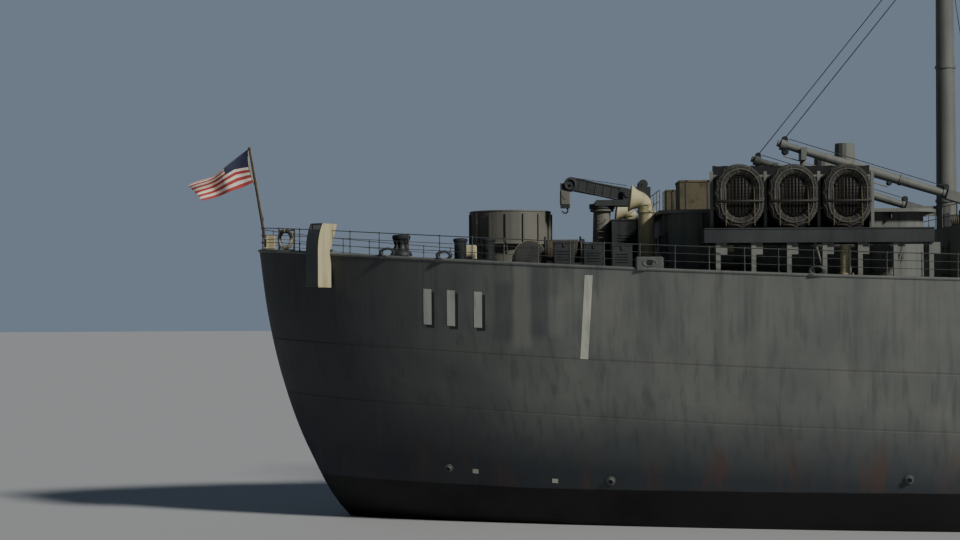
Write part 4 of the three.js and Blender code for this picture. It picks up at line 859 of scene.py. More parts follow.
staff = bmesh.new()
lean = (STAFF_HEAD - STAFF_FOOT).normalized()
bar(staff, STAFF_FOOT, STAFF_HEAD - lean * 0.16, STAFF_RADIUS, 0.62 * STAFF_RADIUS, 14)
truck = turned([(0, 0), (0.05, 0), (0.09, 0.04), (0.075, 0.09), (0.045, 0.13), (0, 0.15)], 14, 1)
upright = Vector((0, 0, 1)).rotation_difference(lean).to_matrix().to_4x4()
repeat(staff, truck, [Matrix.Translation(STAFF_HEAD - lean * 0.17) @ upright])
cleat_at = STAFF_FOOT + lean * 2.1
bar(staff, (0.09, 0, -0.14), (0.09, 0, 0.14), 0.02, material=1, at=cleat_at)
bar(staff, (0, 0, 0), (0.1, 0, 0), 0.018, material=1, at=cleat_at)
for side in (-1, 1):
    halyard = cleat_at + Vector((0.1, side * 0.03, 0)), STAFF_HEAD + Vector((0.07, side * 0.03, -0.12))
    bar(staff, *halyard, 0.009, sides=5, material=2)
step_x = real_box("flagstaff")[1].x
block(
    staff, (-0.42, -0.17, deck_height(-94.3) - 0.1), (0, 0.17, STAFF_STEP_TOP), 0.03, material=3,
    at=(step_x, 0, 0)
)
for z in (12.75, 13.2):
    block(staff, (-0.46, -0.2, -0.03), (0.02, 0.2, 0.03), 0.01, material=3, at=(step_x, 0, z))
staff_wood = wood("varnished_spruce", "#5a4630", "#2f2419", 0.03)
finish("ensign_staff", staff, staff_wood, rail_grey, manila, cream, replaced=["flagstaff"], slot="dark_paint")

# Ensign
# Woven wool bunting in sewn red and white stripes, with a plain blue canton at the head of the hoist. It
# streams aft from the staff and droops, and its lower fly curls. A canvas heading with a rope in it takes
# the toggles.
ENSIGN_HOIST, ENSIGN_FLY, ENSIGN_THICKNESS, ENSIGN_STRIPES = 1.62, 3.08, 0.012, 13
HOIST_TOP, HOIST_FOOT = Vector((-95.44, 0, 17.48)), Vector((-95.18, 0, 15.9))
FLY_TOP, FLY_FOOT = Vector((-98.3, 0, 15.78)), Vector((-97.62, 0, 15.02))
HOIST_BOW, FOLD_DEPTH, CURL_DEPTH, TOP_SAG = 0.1, 0.2, 0.4, 0.16
HEAD_FOLD, HEAD_LEAN = 0.19, 0.35
CANTON_FLY, CANTON_HOIST = 0.4, 7 / ENSIGN_STRIPES
CLOTH_COLUMNS, CLOTH_ROWS = 72, 40


def ensign_place(u, v):
    """A point of the cloth: u from the hoist to the fly, v from the foot to the head."""
    clear_of_hoist = min(1, 4 * u)
    risen = v + HEAD_FOLD * math.sin(math.pi * v) * clear_of_hoist
    hoist = HOIST_FOOT.lerp(HOIST_TOP, risen) - Vector((HOIST_BOW * math.sin(math.pi * v), 0, 0))
    fly = FLY_FOOT.lerp(FLY_TOP, risen)
    here = hoist.lerp(fly, u)
    here.z -= TOP_SAG * math.sin(math.pi * u) * (0.4 + 0.6 * v) - 0.05 * math.sin(2.6 * math.pi * u) * v
    fold = FOLD_DEPTH * math.sin(3.4 * math.pi * u + 1.3 * v) * min(1, 2.2 * u)
    curl = CURL_DEPTH * u**1.3 * math.sin(2 * math.pi * (v - 0.12) + 0.8 * u)
    here.y += fold + curl + HEAD_LEAN * v**3 * clear_of_hoist
    return here


ensign = bmesh.new()
cloth = mapped_grid(ensign, CLOTH_COLUMNS, CLOTH_ROWS, ensign_place)
cloth_uv = ensign.loops.layers.uv.new("cloth")
across = CLOTH_COLUMNS + 1
shares = {vert: (i % across / CLOTH_COLUMNS, i // across / CLOTH_ROWS) for i, vert in enumerate(cloth)}
for face in ensign.faces:
    for loop in face.loops:
        loop[cloth_uv].uv = shares[loop.vert]
thickened(ensign, ensign.faces, (0, ENSIGN_THICKNESS, 0))

bunting, tree, shader = new_material("wool_bunting_in_stripes")
cloth_at = add_node(tree, "SeparateXYZ", {0: add_node(tree, "UVMap", uv_map="cloth").outputs[0]})
fly_at, hoist_at = cloth_at.outputs[0], cloth_at.outputs[1]
stripe = add_node(tree, "Math", {0: hoist_at, 1: ENSIGN_STRIPES}, operation="MULTIPLY").outputs[0]
stripe_number = add_node(tree, "Math", {0: stripe}, operation="FLOOR").outputs[0]
white = add_node(tree, "Math", {0: stripe_number, 1: 2}, operation="MODULO").outputs[0]
colour = painted_over(tree, linear("#b2403d"), "#f0e8dc", white)
in_canton = add_node(tree, "Math", {0: fly_at, 1: CANTON_FLY}, operation="LESS_THAN").outputs[0]
above = add_node(tree, "Math", {0: hoist_at, 1: 1 - CANTON_HOIST}, operation="GREATER_THAN").outputs[0]
colour = painted_over(tree, colour, "#242c4e", in_canton, above)
place = add_node(tree, "TexCoord").outputs["Object"]
soot = add_node(tree, "TexNoise", {"Vector": place, "Scale": per_metre(0.7), "Detail": 4}).outputs["Fac"]
soot = add_node(
    tree, "MapRange", {"Value": soot, "From Min": 0.45, "From Max": 0.75, "To Max": 0.3}
).outputs[0]
colour = painted_over(tree, colour, "#5d5148", soot)
seam = add_node(tree, "Math", {0: stripe, 1: 0.5}, operation="PINGPONG").outputs[0]
seam = add_node(tree, "MapRange", {"Value": seam, "From Max": 0.08}).outputs[0]
weave = [
    add_node(
        tree, "TexWave", {"Vector": place, "Scale": per_metre(0.008) / 3.2}, bands_direction=direction
    ).outputs[1]
    for direction in ("X", "Z")
]
weave = add_node(tree, "Math", {0: weave[0], 1: weave[1]}, operation="MULTIPLY").outputs[0]
bump = add_node(tree, "Bump", {"Height": weave, "Strength": 0.3, "Distance": 0.001})
seams = add_node(
    tree, "Bump", {"Height": seam, "Strength": 0.5, "Distance": 0.002, "Normal": bump.outputs[0]}
)
feed(tree, shader, {"Base Color": colour, "Normal": seams.outputs[0], "Roughness": 0.85, "Sheen Weight": 0.3})

heading = bmesh.new()
for v in (0.0, 1.0):
    toggle = ensign_place(0, v) + Vector((0.03, 0, 0.05 if v else -0.05))
    pin(heading, toggle, (0, 0, 0.07), 0.02, material=1)
    bar(heading, toggle, toggle + Vector((0.14, 0, 0)), 0.01, sides=5, material=1)
pipe(heading, lambda share: ensign_place(0, share) + Vector((0.02, 0, 0)), 24, 0.026, 8, 0)
heading_canvas = fabric("canvas_heading", "#bfb8a2", "#aca48b", "#7c7359", 0.004)
heading_piece = finish("ensign_heading", heading, heading_canvas, manila, slot="bunting")
ensign_piece = finish("ensign_cloth", ensign, bunting, replaced=["ensign"], slot="bunting", sharp_degrees=80)

# Mooring bitts and fairleads
# Pairs of welded steel posts with rolled caps and cross horns stand on bolted beds on each quarter, and
# oval cast fairleads sit on the deck's edge. They are painted dark grey and worn bright where hawsers bear
# on them.
SIDES = ((-1, "starboard"), (1, "port"))
BITTS_X, BITTS_PITCH, BITTS_RADIUS, BITTS_CAP, BITTS_INSET = -84.6, 1.25, 0.27, 0.33, 1.0
FAIRLEADS = (-88.5, -85.95, -70.0, -57, 57, 69)
CHOCK_X, CHOCK_HALF_LENGTH, CHOCK_HEIGHT, CHOCK_HALF_DEPTH = -77.04, 0.61, 0.55, 0.2
dark_paint = sea_paint("dark_grey_deck_gear_paint", "#2c3033", "#3d4143", "#1c1f21", (0.45, 0.7))[0]
bitts_profile = [
    (0, -0.3), (BITTS_RADIUS, -0.3), (BITTS_RADIUS, 0.84), (BITTS_CAP - 0.02, 0.93), (BITTS_CAP, 0.97),
    (BITTS_CAP, 1.01), (BITTS_CAP - 0.04, 1.05), (0.1, 1.08), (0, 1.08),
]


def bolts(mesh, centre, half_x, half_y):
    """Four bolt heads at the corners of a rectangle."""
    for x in (-half_x, half_x):
        for y in (-half_y, half_y):
            bar(mesh, (x, y, 0), (x, y, 0.05), 0.035, sides=6, at=centre)


for side, name in SIDES:
    bitts = bmesh.new()
    middle = deck_edge(BITTS_X, side, BITTS_INSET)
    repeat(bitts, turned(bitts_profile, 24), [middle + Vector((s * BITTS_PITCH / 2, 0, 0)) for s in (-1, 1)])
    block(bitts, (-1.0, -0.35, -0.35), (1.0, 0.35, 0.14), 0.03, at=middle)
    for reach in (0.92, 0.3):
        bolts(bitts, middle + Vector((0, 0, 0.12)), reach, 0.28)
    for s in (-1, 1):
        at = middle + Vector((s * BITTS_PITCH / 2, 0, 0.55))
        pin(bitts, at, (0, 0.42, 0), 0.045, sides=10)
    finish(
        "mooring_bitts_detailed_" + name, bitts, dark_paint, replaced=["mooring_bitts_" + name],
        slot="dark_paint"
    )

fairleads = bmesh.new()
for side in (-1, 1):
    for x in FAIRLEADS:
        foot = deck_edge(x, side, 0.1)
        flat_ring = Matrix.Translation(foot + Vector((0, 0, 0.2))) @ Matrix.Diagonal((1.45, 1.1, 0.9, 1))
        repeat(fairleads, ring(0.2, 0.06, 24, 8), [flat_ring])
        block(fairleads, (-0.4, -0.12, -0.1), (0.4, 0.12, 0.05), 0.02, at=foot)
    foot = deck_edge(CHOCK_X, side, 0.18)
    half = Vector((CHOCK_HALF_LENGTH, CHOCK_HALF_DEPTH, 0))
    block(
        fairleads, foot - half - Vector((0, 0, 0.1)), foot + half + Vector((0, 0, CHOCK_HEIGHT)), 0.07,
        material=1
    )
    flat_ring = Matrix.Translation(foot + Vector((0, side * 0.2, 0.28))) @ Matrix.Diagonal((1.6, 1, 0.8, 1))
    repeat(fairleads, ring(0.18, 0.035, 24, 8, 1), [flat_ring])
    pin(fairleads, foot + Vector((0, 0, 0.28)), (0, 0.205, 0), 0.14, sides=20, material=2)
chock_grey = sea_paint("sea_grey_paint_on_chocks", "#565a59", "#656864", "#3f4345")[0]
finish("deck_edge_fairleads", fairleads, dark_paint, chock_grey, shadow_black, slot="dark_paint")

# Capstan
# A cast steel warping head on a stepped seat: whelps down its barrel grip the hawser, and square
# pigeon-holes round the drumhead take bars. It turns on its seat, so all of it rides on its own body.
CAPSTAN_AT, CAPSTAN_WHELPS, CAPSTAN_HOLES = Vector((-88, -3, deck_height(-88) + 0.186)), 8, 8
capstan_profile = [
    (0, 0), (0.5, 0), (0.5, 0.1), (0.47, 0.16), (0.36, 0.25), (0.29, 0.36), (0.265, 0.48), (0.27, 0.6),
    (0.31, 0.7), (0.4, 0.77), (0.42, 0.8), (0.42, 0.93), (0.38, 0.97), (0.3, 0.985), (0.12, 1.0), (0, 1.0),
]
capstan = bmesh.new()
repeat(capstan, turned(capstan_profile, 40), [CAPSTAN_AT])
for i in range(CAPSTAN_WHELPS):
    angle = 2 * math.pi * i / CAPSTAN_WHELPS
    whelp = bmesh.new()
    bar(whelp, (0.33, 0, 0.26), (0.265, 0, 0.5), 0.06, 0.05, 6)
    bar(whelp, (0.265, 0, 0.5), (0.34, 0, 0.76), 0.05, 0.06, 6)
    around = placed(CAPSTAN_AT, angle)
    repeat(capstan, whelp, [around])
    hole = bmesh.new()
    block(hole, (0.4, -0.04, 0.83), (0.425, 0.04, 0.91), 0, material=1)
    repeat(capstan, hole, [around @ Matrix.Rotation(math.pi / CAPSTAN_HOLES, 4, "Z")])
finish(
    "capstan_head", capstan, dark_paint, shadow_black, body="capstan_body", replaced=["capstan"],
    slot="dark_paint"
)

# Mooring winch
# A steel winch on a welded bed: a drum with manila wound on it between flanges, waisted warping ends, a
# gear case, a brake handwheel and a motor. Its castings and bed are painted dark grey, and its feet are
# bolted through the bed.
WINCH_X, WINCH_Y, WINCH_AXLE = -80.6, -5.2, 0.82
FLANGE_OUT, FLANGE_RADIUS_ON_WINCH, DRUM_CORE, STAND_OUT = 0.8, 0.61, 0.42, 0.98
WARPING_END = [
    (0, 0), (0.27, 0), (0.28, 0.02), (0.225, 0.07), (0.215, 0.16), (0.25, 0.25), (0.32, 0.3), (0.34, 0.32),
    (0.32, 0.345), (0, 0.35),
]
ROPE_RADIUS, ROPE_TURNS, FIRST_TURN = 0.035, 20, -0.685
winch = bmesh.new()
winch_floor = deck_height(WINCH_X)
winch_middle = Vector((WINCH_X, WINCH_Y, winch_floor + WINCH_AXLE))
winch_foot = Vector((WINCH_X, WINCH_Y, winch_floor))
brake_at = winch_middle + Vector((-0.98, -0.42, 0.05))
block(winch, (-1.2, -0.9, -0.1), (1.2, 0.9, 0.22), 0.03, at=winch_foot)
pin(winch, winch_middle, (FLANGE_OUT, 0, 0), DRUM_CORE, sides=32)
pin(winch, winch_middle, (1.2, 0, 0), 0.12, sides=20)
for side in (-1, 1):
    at = winch_middle + Vector((side * FLANGE_OUT, 0, 0))
    pin(winch, at, (0.03, 0, 0), FLANGE_RADIUS_ON_WINCH, sides=40)
    crosswise = placed(at, math.pi / 2)
    repeat(winch, ring(FLANGE_RADIUS_ON_WINCH - 0.02, 0.04, 40, 8), [crosswise])
    stand = winch_foot + Vector((side * STAND_OUT, 0, 0))
    block(winch, (-0.07, -0.3, 0.1), (0.07, 0.3, 0.92), 0.03, at=stand)
    pin(winch, stand + Vector((0, 0, WINCH_AXLE)), (0.07, 0, 0), 0.24, sides=24)
    out = placed(winch_middle + Vector((side * 1.15, 0, 0)), side * math.pi / 2, "Y")
    repeat(winch, turned(WARPING_END, 32), [out])
laid_turns = [
    placed(winch_middle + Vector((FIRST_TURN + 2 * ROPE_RADIUS * i, 0, 0)), math.pi / 2)
    for i in range(ROPE_TURNS)
]
repeat(winch, ring(DRUM_CORE + ROPE_RADIUS, ROPE_RADIUS, 26, 8, 1), laid_turns)
bar(winch, (0.84, 0, 0), (0.98, 0, 0), 0.5, sides=28, at=winch_middle)
block(winch, (-0.5, -0.82, 0.2), (0.35, -0.5, 0.55), 0.05, at=winch_foot)
repeat(winch, ring(0.2, 0.018, 24, 6), [placed(brake_at, math.pi / 2)])
for angle in (0, math.pi / 3, 2 * math.pi / 3):
    pin(winch, brake_at, (0, 0.2 * math.cos(angle), 0.2 * math.sin(angle)), 0.012, sides=6)
bar(winch, (-0.02, 0, 0), (0.18, 0, 0), 0.03, at=brake_at)
bolts(winch, winch_foot + Vector((0, 0, 0.2)), 1.12, 0.8)
grimy_manila = fabric("grimy_manila_hawser", "#5f5746", "#6f6653", "#3a3328", 0.012)
finish("mooring_winch_built", winch, dark_paint, grimy_manila, replaced=["mooring_winch"], slot="dark_paint")

# Rail lockers
# Three sheet-steel lockers stand in a row on each quarter, raised on feet. Each has a lid with a
# turned-down rim, strap hinges and a hasp, and louvres in its front.
LOCKER_PLACES = (-80.65, -79.35, -78.1)
LOCKER_WIDTH, LOCKER_DEPTH, LOCKER_HEIGHT, LOCKER_INSET = 0.95, 0.8, 1.1, 1.5
for side, name in SIDES:
    lockers = bmesh.new()
    y = side * (half_breadth(LOCKER_PLACES[0], 1) - LOCKER_INSET)
    for x in LOCKER_PLACES:
        floor_z = deck_height(x)
        reach, deep = LOCKER_WIDTH / 2, LOCKER_DEPTH / 2
        top = floor_z + LOCKER_HEIGHT
        case = (reach - 0.02, deep - 0.02)
        block(
            lockers, (x - case[0], y - case[1], floor_z + 0.08), (x + case[0], y + case[1], top - 0.05), 0.03
        )
        block(lockers, (x - reach, y - deep, top - 0.1), (x + reach, y + deep, top), 0.03)
        for sx in (-1, 1):
            for sy in (-1, 1):
                foot = Vector((x + sx * (reach - 0.1), y + sy * (deep - 0.1), floor_z))
                block(lockers, (-0.05, -0.05, -0.1), (0.05, 0.05, 0.12), 0.01, at=foot)
            hinge_at = Vector((x + sx * 0.25, y + deep, top - 0.05))
            block(lockers, (-0.04, -0.03, -0.12), (0.04, 0.03, 0.05), 0.01, at=hinge_at)
        block(lockers, (-0.05, -0.03, -0.24), (0.05, 0.02, -0.06), 0.01, at=(x, y - deep, top))
        for i in range(4):
            z = floor_z + 0.3 + 0.12 * i
            for face_y in (y - deep, y + deep):
                block(lockers, (-0.28, -0.01, 0), (0.28, 0.03, 0.03), 0.008, at=(x, face_y, z))
    finish(
        "rail_lockers_detailed_" + name, lockers, dark_paint, replaced=["rail_lockers_" + name],
        slot="dark_paint"
    )

# Hawser reels under their covers
# A dark grey proofed canvas cover is drawn down over each reel and lashed with manila. It sags between the
# reel's flanges, and it creases towards the lashings.
REEL_X, REEL_HALF_LENGTH, REEL_HEIGHT, REEL_DEPTH, REEL_INSET = -82.15, 0.78, 1.15, 1.1, 1.8


def reel_cover(middle):
    """Where a point of the cover lies: u runs over the top from end to end, v across the reel."""
    def place(u, v):
        angle = math.pi * (1 - u)
        across = 2 * v - 1
        squareness = (1 - abs(across) ** 7) ** (1 / 5)
        out = Vector((math.cos(angle), 0, math.sin(angle) ** 0.7))
        rumpled = noise.noise(Vector((6 * u, 4 * v, 1.7)))
        crease = 0.018 * math.sin(34 * u) * math.sin(math.pi * v) + 0.03 * rumpled
        sag = 0.07 * math.sin(math.pi * v) ** 2 * math.sin(math.pi * u)
        reach = squareness * (1 + crease)
        return middle + Vector((
            out.x * REEL_HALF_LENGTH * 0.97 * reach, 0.97 * across * REEL_DEPTH / 2,
            out.z * (REEL_HEIGHT - 0.03) * squareness * (1 + 0.5 * crease) - sag,
        ))
    return place


def sealed_skin(mesh, columns, rows, place):
    """A closed skin: a grid put where place says, with its doubled points merged and its open rims filled."""
    bmesh.ops.remove_doubles(mesh, verts=mapped_grid(mesh, columns, rows, place), dist=0.002)
    bmesh.ops.holes_fill(mesh, edges=[edge for edge in mesh.edges if edge.is_boundary], sides=0)


canvas = fabric("weathered_khaki_canvas", "#7f7a5d", "#938d6e", "#4c4937", 0.006)
reel_canvas = fabric("dark_grey_proofed_canvas", "#3b3d3e", "#4a4b4a", "#252729", 0.006)
for side, name in SIDES:
    cover = bmesh.new()
    middle = deck_edge(REEL_X, side, REEL_INSET)
    drape = reel_cover(middle)
    sealed_skin(cover, 72, 40, drape)
    for v in (0.12, 0.5, 0.88):
        pipe(cover, lambda share: drape(0.02 + 0.96 * share, v) + Vector((0, 0, 0.012)), 40, 0.018, 6, 1)
    block(cover, (-0.85, -0.5, -0.12), (0.85, 0.5, 0.06), 0.02, material=2, at=middle)
    finish(
        "hawser_reel_cover_" + name, cover, reel_canvas, manila, dark_paint, replaced=["hawser_reel_" + name],
        slot="canvas", sharp_degrees=60,
    )

# Stern tub
# A round shield of thin plate, open at the top and empty, stands on a plated drum. Upright angle bars
# stiffen it outside, a half-round rims it, and inside are a gridded floor and a foot-rail.
TUB_X, TUB_RADIUS, TUB_FLOOR, TUB_TOP, TUB_STIFFENERS, DRUM_RADIUS = -82.9, 1.93, 12.85, 14.4, 15, 1.62
GRATING_PITCH = 0.24
tub = bmesh.new()
tub_at = Vector((TUB_X, 0, 0))
inside = TUB_RADIUS - 0.05
shield_profile = [
    (0, TUB_FLOOR - 0.05), (TUB_RADIUS, TUB_FLOOR - 0.05), (TUB_RADIUS, TUB_TOP - 0.02),
    (inside, TUB_TOP - 0.02), (inside, TUB_FLOOR + 0.1), (0, TUB_FLOOR + 0.1),
]
repeat(tub, turned(shield_profile, 72), [tub_at])
drum_foot = deck_height(TUB_X) - 0.1
repeat(
    tub, turned([(0, drum_foot), (DRUM_RADIUS, drum_foot), (DRUM_RADIUS, TUB_FLOOR), (0, TUB_FLOOR)], 64),
    [tub_at]
)
for radius, z, thick in (
    (TUB_RADIUS - 0.02, TUB_TOP - 0.02, 0.045), (TUB_RADIUS, TUB_FLOOR, 0.04),
    (DRUM_RADIUS, drum_foot + 0.14, 0.05), (inside - 0.12, TUB_FLOOR + 0.42, 0.02),
):
    level_ring = placed((TUB_X, 0, z), math.pi / 2, "X")
    repeat(tub, ring(radius, thick, 72, 8), [level_ring])
for i in range(TUB_STIFFENERS):
    around = placed(tub_at, 2 * math.pi * i / TUB_STIFFENERS)
    rib = bmesh.new()
    block(
        rib, (TUB_RADIUS - 0.02, -0.012, TUB_FLOOR + 0.02), (TUB_RADIUS + 0.08, 0.012, TUB_TOP - 0.12), 0.006
    )
    block(rib, (TUB_RADIUS + 0.06, -0.05, TUB_FLOOR + 0.02), (TUB_RADIUS + 0.08, 0.05, TUB_TOP - 0.12), 0.006)
    bar(rib, (DRUM_RADIUS - 0.02, 0, TUB_FLOOR - 0.5), (TUB_RADIUS, 0, TUB_FLOOR - 0.03), 0.03, sides=6)
    bar(rib, (-0.13, 0, 0.1), (-0.12, 0, 0.42), 0.014, sides=6, at=(inside, 0, TUB_FLOOR))
    repeat(tub, rib, [around])
for i in range(-6, 7):
    offset = i * GRATING_PITCH
    reach = math.sqrt((inside - 0.2) ** 2 - offset**2)
    z = TUB_FLOOR + 0.115
    block(
        tub, (TUB_X - reach, offset - 0.02, z - 0.02), (TUB_X + reach, offset + 0.02, z + 0.02), 0, material=1
    )
    block(
        tub, (TUB_X + offset - 0.02, -reach, z - 0.02), (TUB_X + offset + 0.02, reach, z + 0.012), 0,
        material=1
    )
for i in range(5):
    z = drum_foot + 0.35 + 0.3 * i
    bar(tub, (0.12, -0.2, 0), (0.12, 0.2, 0), 0.018, sides=6, at=(TUB_X + DRUM_RADIUS, 0, z))
    for y in (-0.2, 0.2):
        bar(tub, (-0.06, 0, 0), (0.13, 0, 0), 0.018, sides=6, at=(TUB_X + DRUM_RADIUS, y, z))
tub_grey = sea_paint("chalky_grey_paint_on_tub", "#6d6e66", "#7a7a70", "#4f514d")[0]
finish("stern_tub_plated", tub, tub_grey, rail_grey, replaced=["stern_tub"], slot="house_paint")

# Stores crane
# A riveted pedestal, in chalky grey paint, carries a revolving bed with its winch, and a plated box jib
# hinges on it. The winch's wire runs over the sheave at the jib's head to a hook block. Bed and jib are
# dark grey.
CRANE_X, CRANE_Y, CRANE_TOP = -78.6, -1.5, 14.45
CRANE_HINGE, CRANE_HEAD = Vector((-77.4, CRANE_Y, 15.14)), Vector((-80.05, CRANE_Y, 15.62))
ENGINE_LOW, ENGINE_HIGH = Vector((-78.2, -2.5, 11.3)), Vector((-76.8, -0.5, 13.9))
RIVETS, JIB_HALF_WIDTH, JIB_HALF_DEPTH = 12, 0.185, 0.27
dress("crane_pedestal", tub_grey, dark_paint, choose=lambda at, normal: int(at.x > -78.25 and at.z < 13.95))
dress("crane_head", dark_paint)
dress("crane_jib", dark_paint)
pedestal = bmesh.new()
pedestal_floor = deck_height(CRANE_X)
for z, radius in ((pedestal_floor + 0.03, 0.98), (CRANE_TOP - 0.07, 0.56)):
    pin(pedestal, (CRANE_X, CRANE_Y, z), (0, 0, 0.04), radius, sides=36)
    for i in range(RIVETS):
        angle = 2 * math.pi * i / RIVETS
        at = Vector((CRANE_X, CRANE_Y, z)) + (radius - 0.08) * Vector((math.cos(angle), math.sin(angle), 0))
        bar(pedestal, (0, 0, -0.07), (0, 0, 0.065), 0.032, sides=6, at=at)
for i in range(8):
    z = pedestal_floor + 0.5 + 0.28 * i
    bar(pedestal, (-0.2, -0.62, 0), (0.2, -0.62, 0), 0.018, sides=6, at=(CRANE_X, CRANE_Y, z))
    for x in (-0.2, 0.2):
        bar(pedestal, (x, -0.64, 0), (0.7 * x, -0.3, 0), 0.018, sides=6, at=(CRANE_X, CRANE_Y, z))
for i in range(6):
    slat = Vector((0, ENGINE_LOW.y, 12.5 + 0.13 * i))
    low, high = (ENGINE_LOW.x + 0.3, -0.03, 0), (ENGINE_HIGH.x - 0.3, 0.01, 0.05)
    block(pedestal, low, high, 0.01, material=1, at=slat)
block(
    pedestal, ENGINE_LOW + Vector((-0.02, -0.04, 2.54)), ENGINE_HIGH + Vector((0.04, 0.04, 0.02)), 0.02,
    material=1
)
finish("crane_pedestal_fittings", pedestal, tub_grey, dark_paint, slot="house_paint")

bed_top = CRANE_TOP + 0.3
crane_gear = bmesh.new()
drum_at = Vector((CRANE_HINGE.x + 0.72, CRANE_Y, bed_top + 0.84))
pin(crane_gear, drum_at, (0, 0.36, 0), 0.13, sides=20)
for s in (-1, 1):
    at = drum_at + Vector((0, s * 0.36, 0))
    pin(crane_gear, at, (0, 0.02, 0), 0.22, sides=24)
    block(crane_gear, (-0.08, -0.05, -0.2), (0.08, 0.05, 0.04), 0.015, at=at)
for i in range(14):
    turn = Matrix.Translation(drum_at + Vector((0, -0.32 + 0.049 * i, 0)))
    repeat(crane_gear, ring(0.15, 0.022, 24, 6, 1), [turn])
for s in (-1, 1):
    rail = (0, CRANE_Y + s * 0.58, bed_top)
    block(crane_gear, (CRANE_X - 0.3, -0.03, -0.02), (CRANE_HINGE.x + 0.3, 0.03, 0.1), 0.015, at=rail)
    at = CRANE_HINGE + Vector((0, s * 0.41, 0))
    pin(crane_gear, at, (0, 0.035, 0), 0.17, sides=20)
galvanised, tree, shader = new_material("galvanised_steel_wire")
place = add_node(tree, "TexCoord").outputs["Object"]
spangle = add_node(tree, "TexNoise", {"Vector": place, "Scale": per_metre(0.08), "Detail": 4}).outputs["Fac"]
share = add_node(tree, "MapRange", {"Value": spangle, "From Min": 0.35, "From Max": 0.7}).outputs[0]
zinc_grey = painted_over(tree, linear("#3c3f42"), "#6c6d68", share)
lay = add_node(tree, "TexWave", {"Vector": place, "Scale": per_metre(0.03) / 3.2}, bands_direction="DIAGONAL")
lay_bump = add_node(tree, "Bump", {"Height": lay.outputs["Fac"], "Strength": 0.5, "Distance": 0.001})
feed(
    tree, shader, {"Base Color": zinc_grey, "Normal": lay_bump.outputs[0], "Metallic": 0.6, "Roughness": 0.5}
)
finish("crane_winch_gear", crane_gear, dark_paint, galvanised, body="crane_head_body", slot="dark_paint")

jib = bmesh.new()
jib_line = CRANE_HEAD - CRANE_HINGE
upward = jib_line.cross(Vector((0, 1, 0))).normalized()
upward = upward if upward.z > 0 else -upward
for i in range(1, 7):
    at = CRANE_HINGE + jib_line * (i / 7)
    for s in (-1, 1):
        pin(jib, at + Vector((0, s * JIB_HALF_WIDTH, 0)), upward * 0.28, 0.022, sides=6)
for s in (-1, 1):
    for level in (-JIB_HALF_DEPTH, JIB_HALF_DEPTH):
        heel = CRANE_HINGE + upward * level + Vector((-0.35, s * JIB_HALF_WIDTH, 0))
        head = CRANE_HEAD + upward * level + Vector((0.2, s * JIB_HALF_WIDTH, 0))
        bar(jib, heel, head, 0.028, sides=6)
repeat(
    jib, ring(0.24, 0.05, 28, 8),
    [Matrix.Translation(CRANE_HEAD + Vector((-0.05, 0.24 * s, 0))) for s in (-1, 1)]
)
pin(jib, CRANE_HEAD, (0, 0.3, 0), 0.06, sides=12)
hook_at = CRANE_HEAD + Vector((-0.28, 0, -1.12))
block(jib, (-0.24, -0.2, 0.12), (0.24, 0.2, 0.86), 0.06, material=1, at=hook_at)
for y in (-0.205, 0.205):
    pin(jib, hook_at + Vector((0, y, 0.55)), (0, 0.02, 0), 0.13, sides=20, material=1)


def hook(share):
    angle = math.pi * (0.5 - 1.45 * share)
    x = CRANE_HEAD.x - 0.28 + 0.13 * math.cos(angle)
    return Vector((x, CRANE_Y, CRANE_HEAD.z - 1.12 - 0.1 + 0.13 * math.sin(angle)))


pipe(jib, hook, 20, 0.035, 8)
bar(jib, (0, 0, 0.02), (0, 0, 0.14), 0.05, sides=10, at=hook_at)
bar(
    jib, CRANE_HEAD + upward * 0.33, CRANE_HINGE + upward * 0.42 + Vector((-0.1, 0, 0)), 0.016, sides=6,
    material=2
)
finish("crane_jib_fittings", jib, dark_paint, tub_grey, galvanised, body="crane_jib_body", slot="dark_paint")

# Cowl ventilators
# Spun sheet-steel cowls turn their wide mouths aft. They are weathered cream outside, dark inside, with a
# rolled lip and a clamp band at the trunk.
COWL_X, COWL_Y, COWL_ELBOW_Z = -76.78, 4.8, 14.65
COWL_PIPE, COWL_MOUTH, COWL_REACH, COWL_RISE, COWL_SIDES = 0.36, 0.58, 0.7, 0.14, 32


def hoops(mesh, rings_of, sides):
    """Joins round sections one after another: each is a centre, the direction that it faces and a radius."""
    def place(u, v):
        centre, facing, radius = rings_of[min(round(u * (len(rings_of) - 1)), len(rings_of) - 1)]
        across = Vector((0, 1, 0))
        up = across.cross(facing).normalized()
        angle = 2 * math.pi * v
        return centre + radius * (math.cos(angle) * across + math.sin(angle) * up)

    close_tube(mesh, mapped_grid(mesh, len(rings_of) - 1, sides, place), 0.0005, 0)


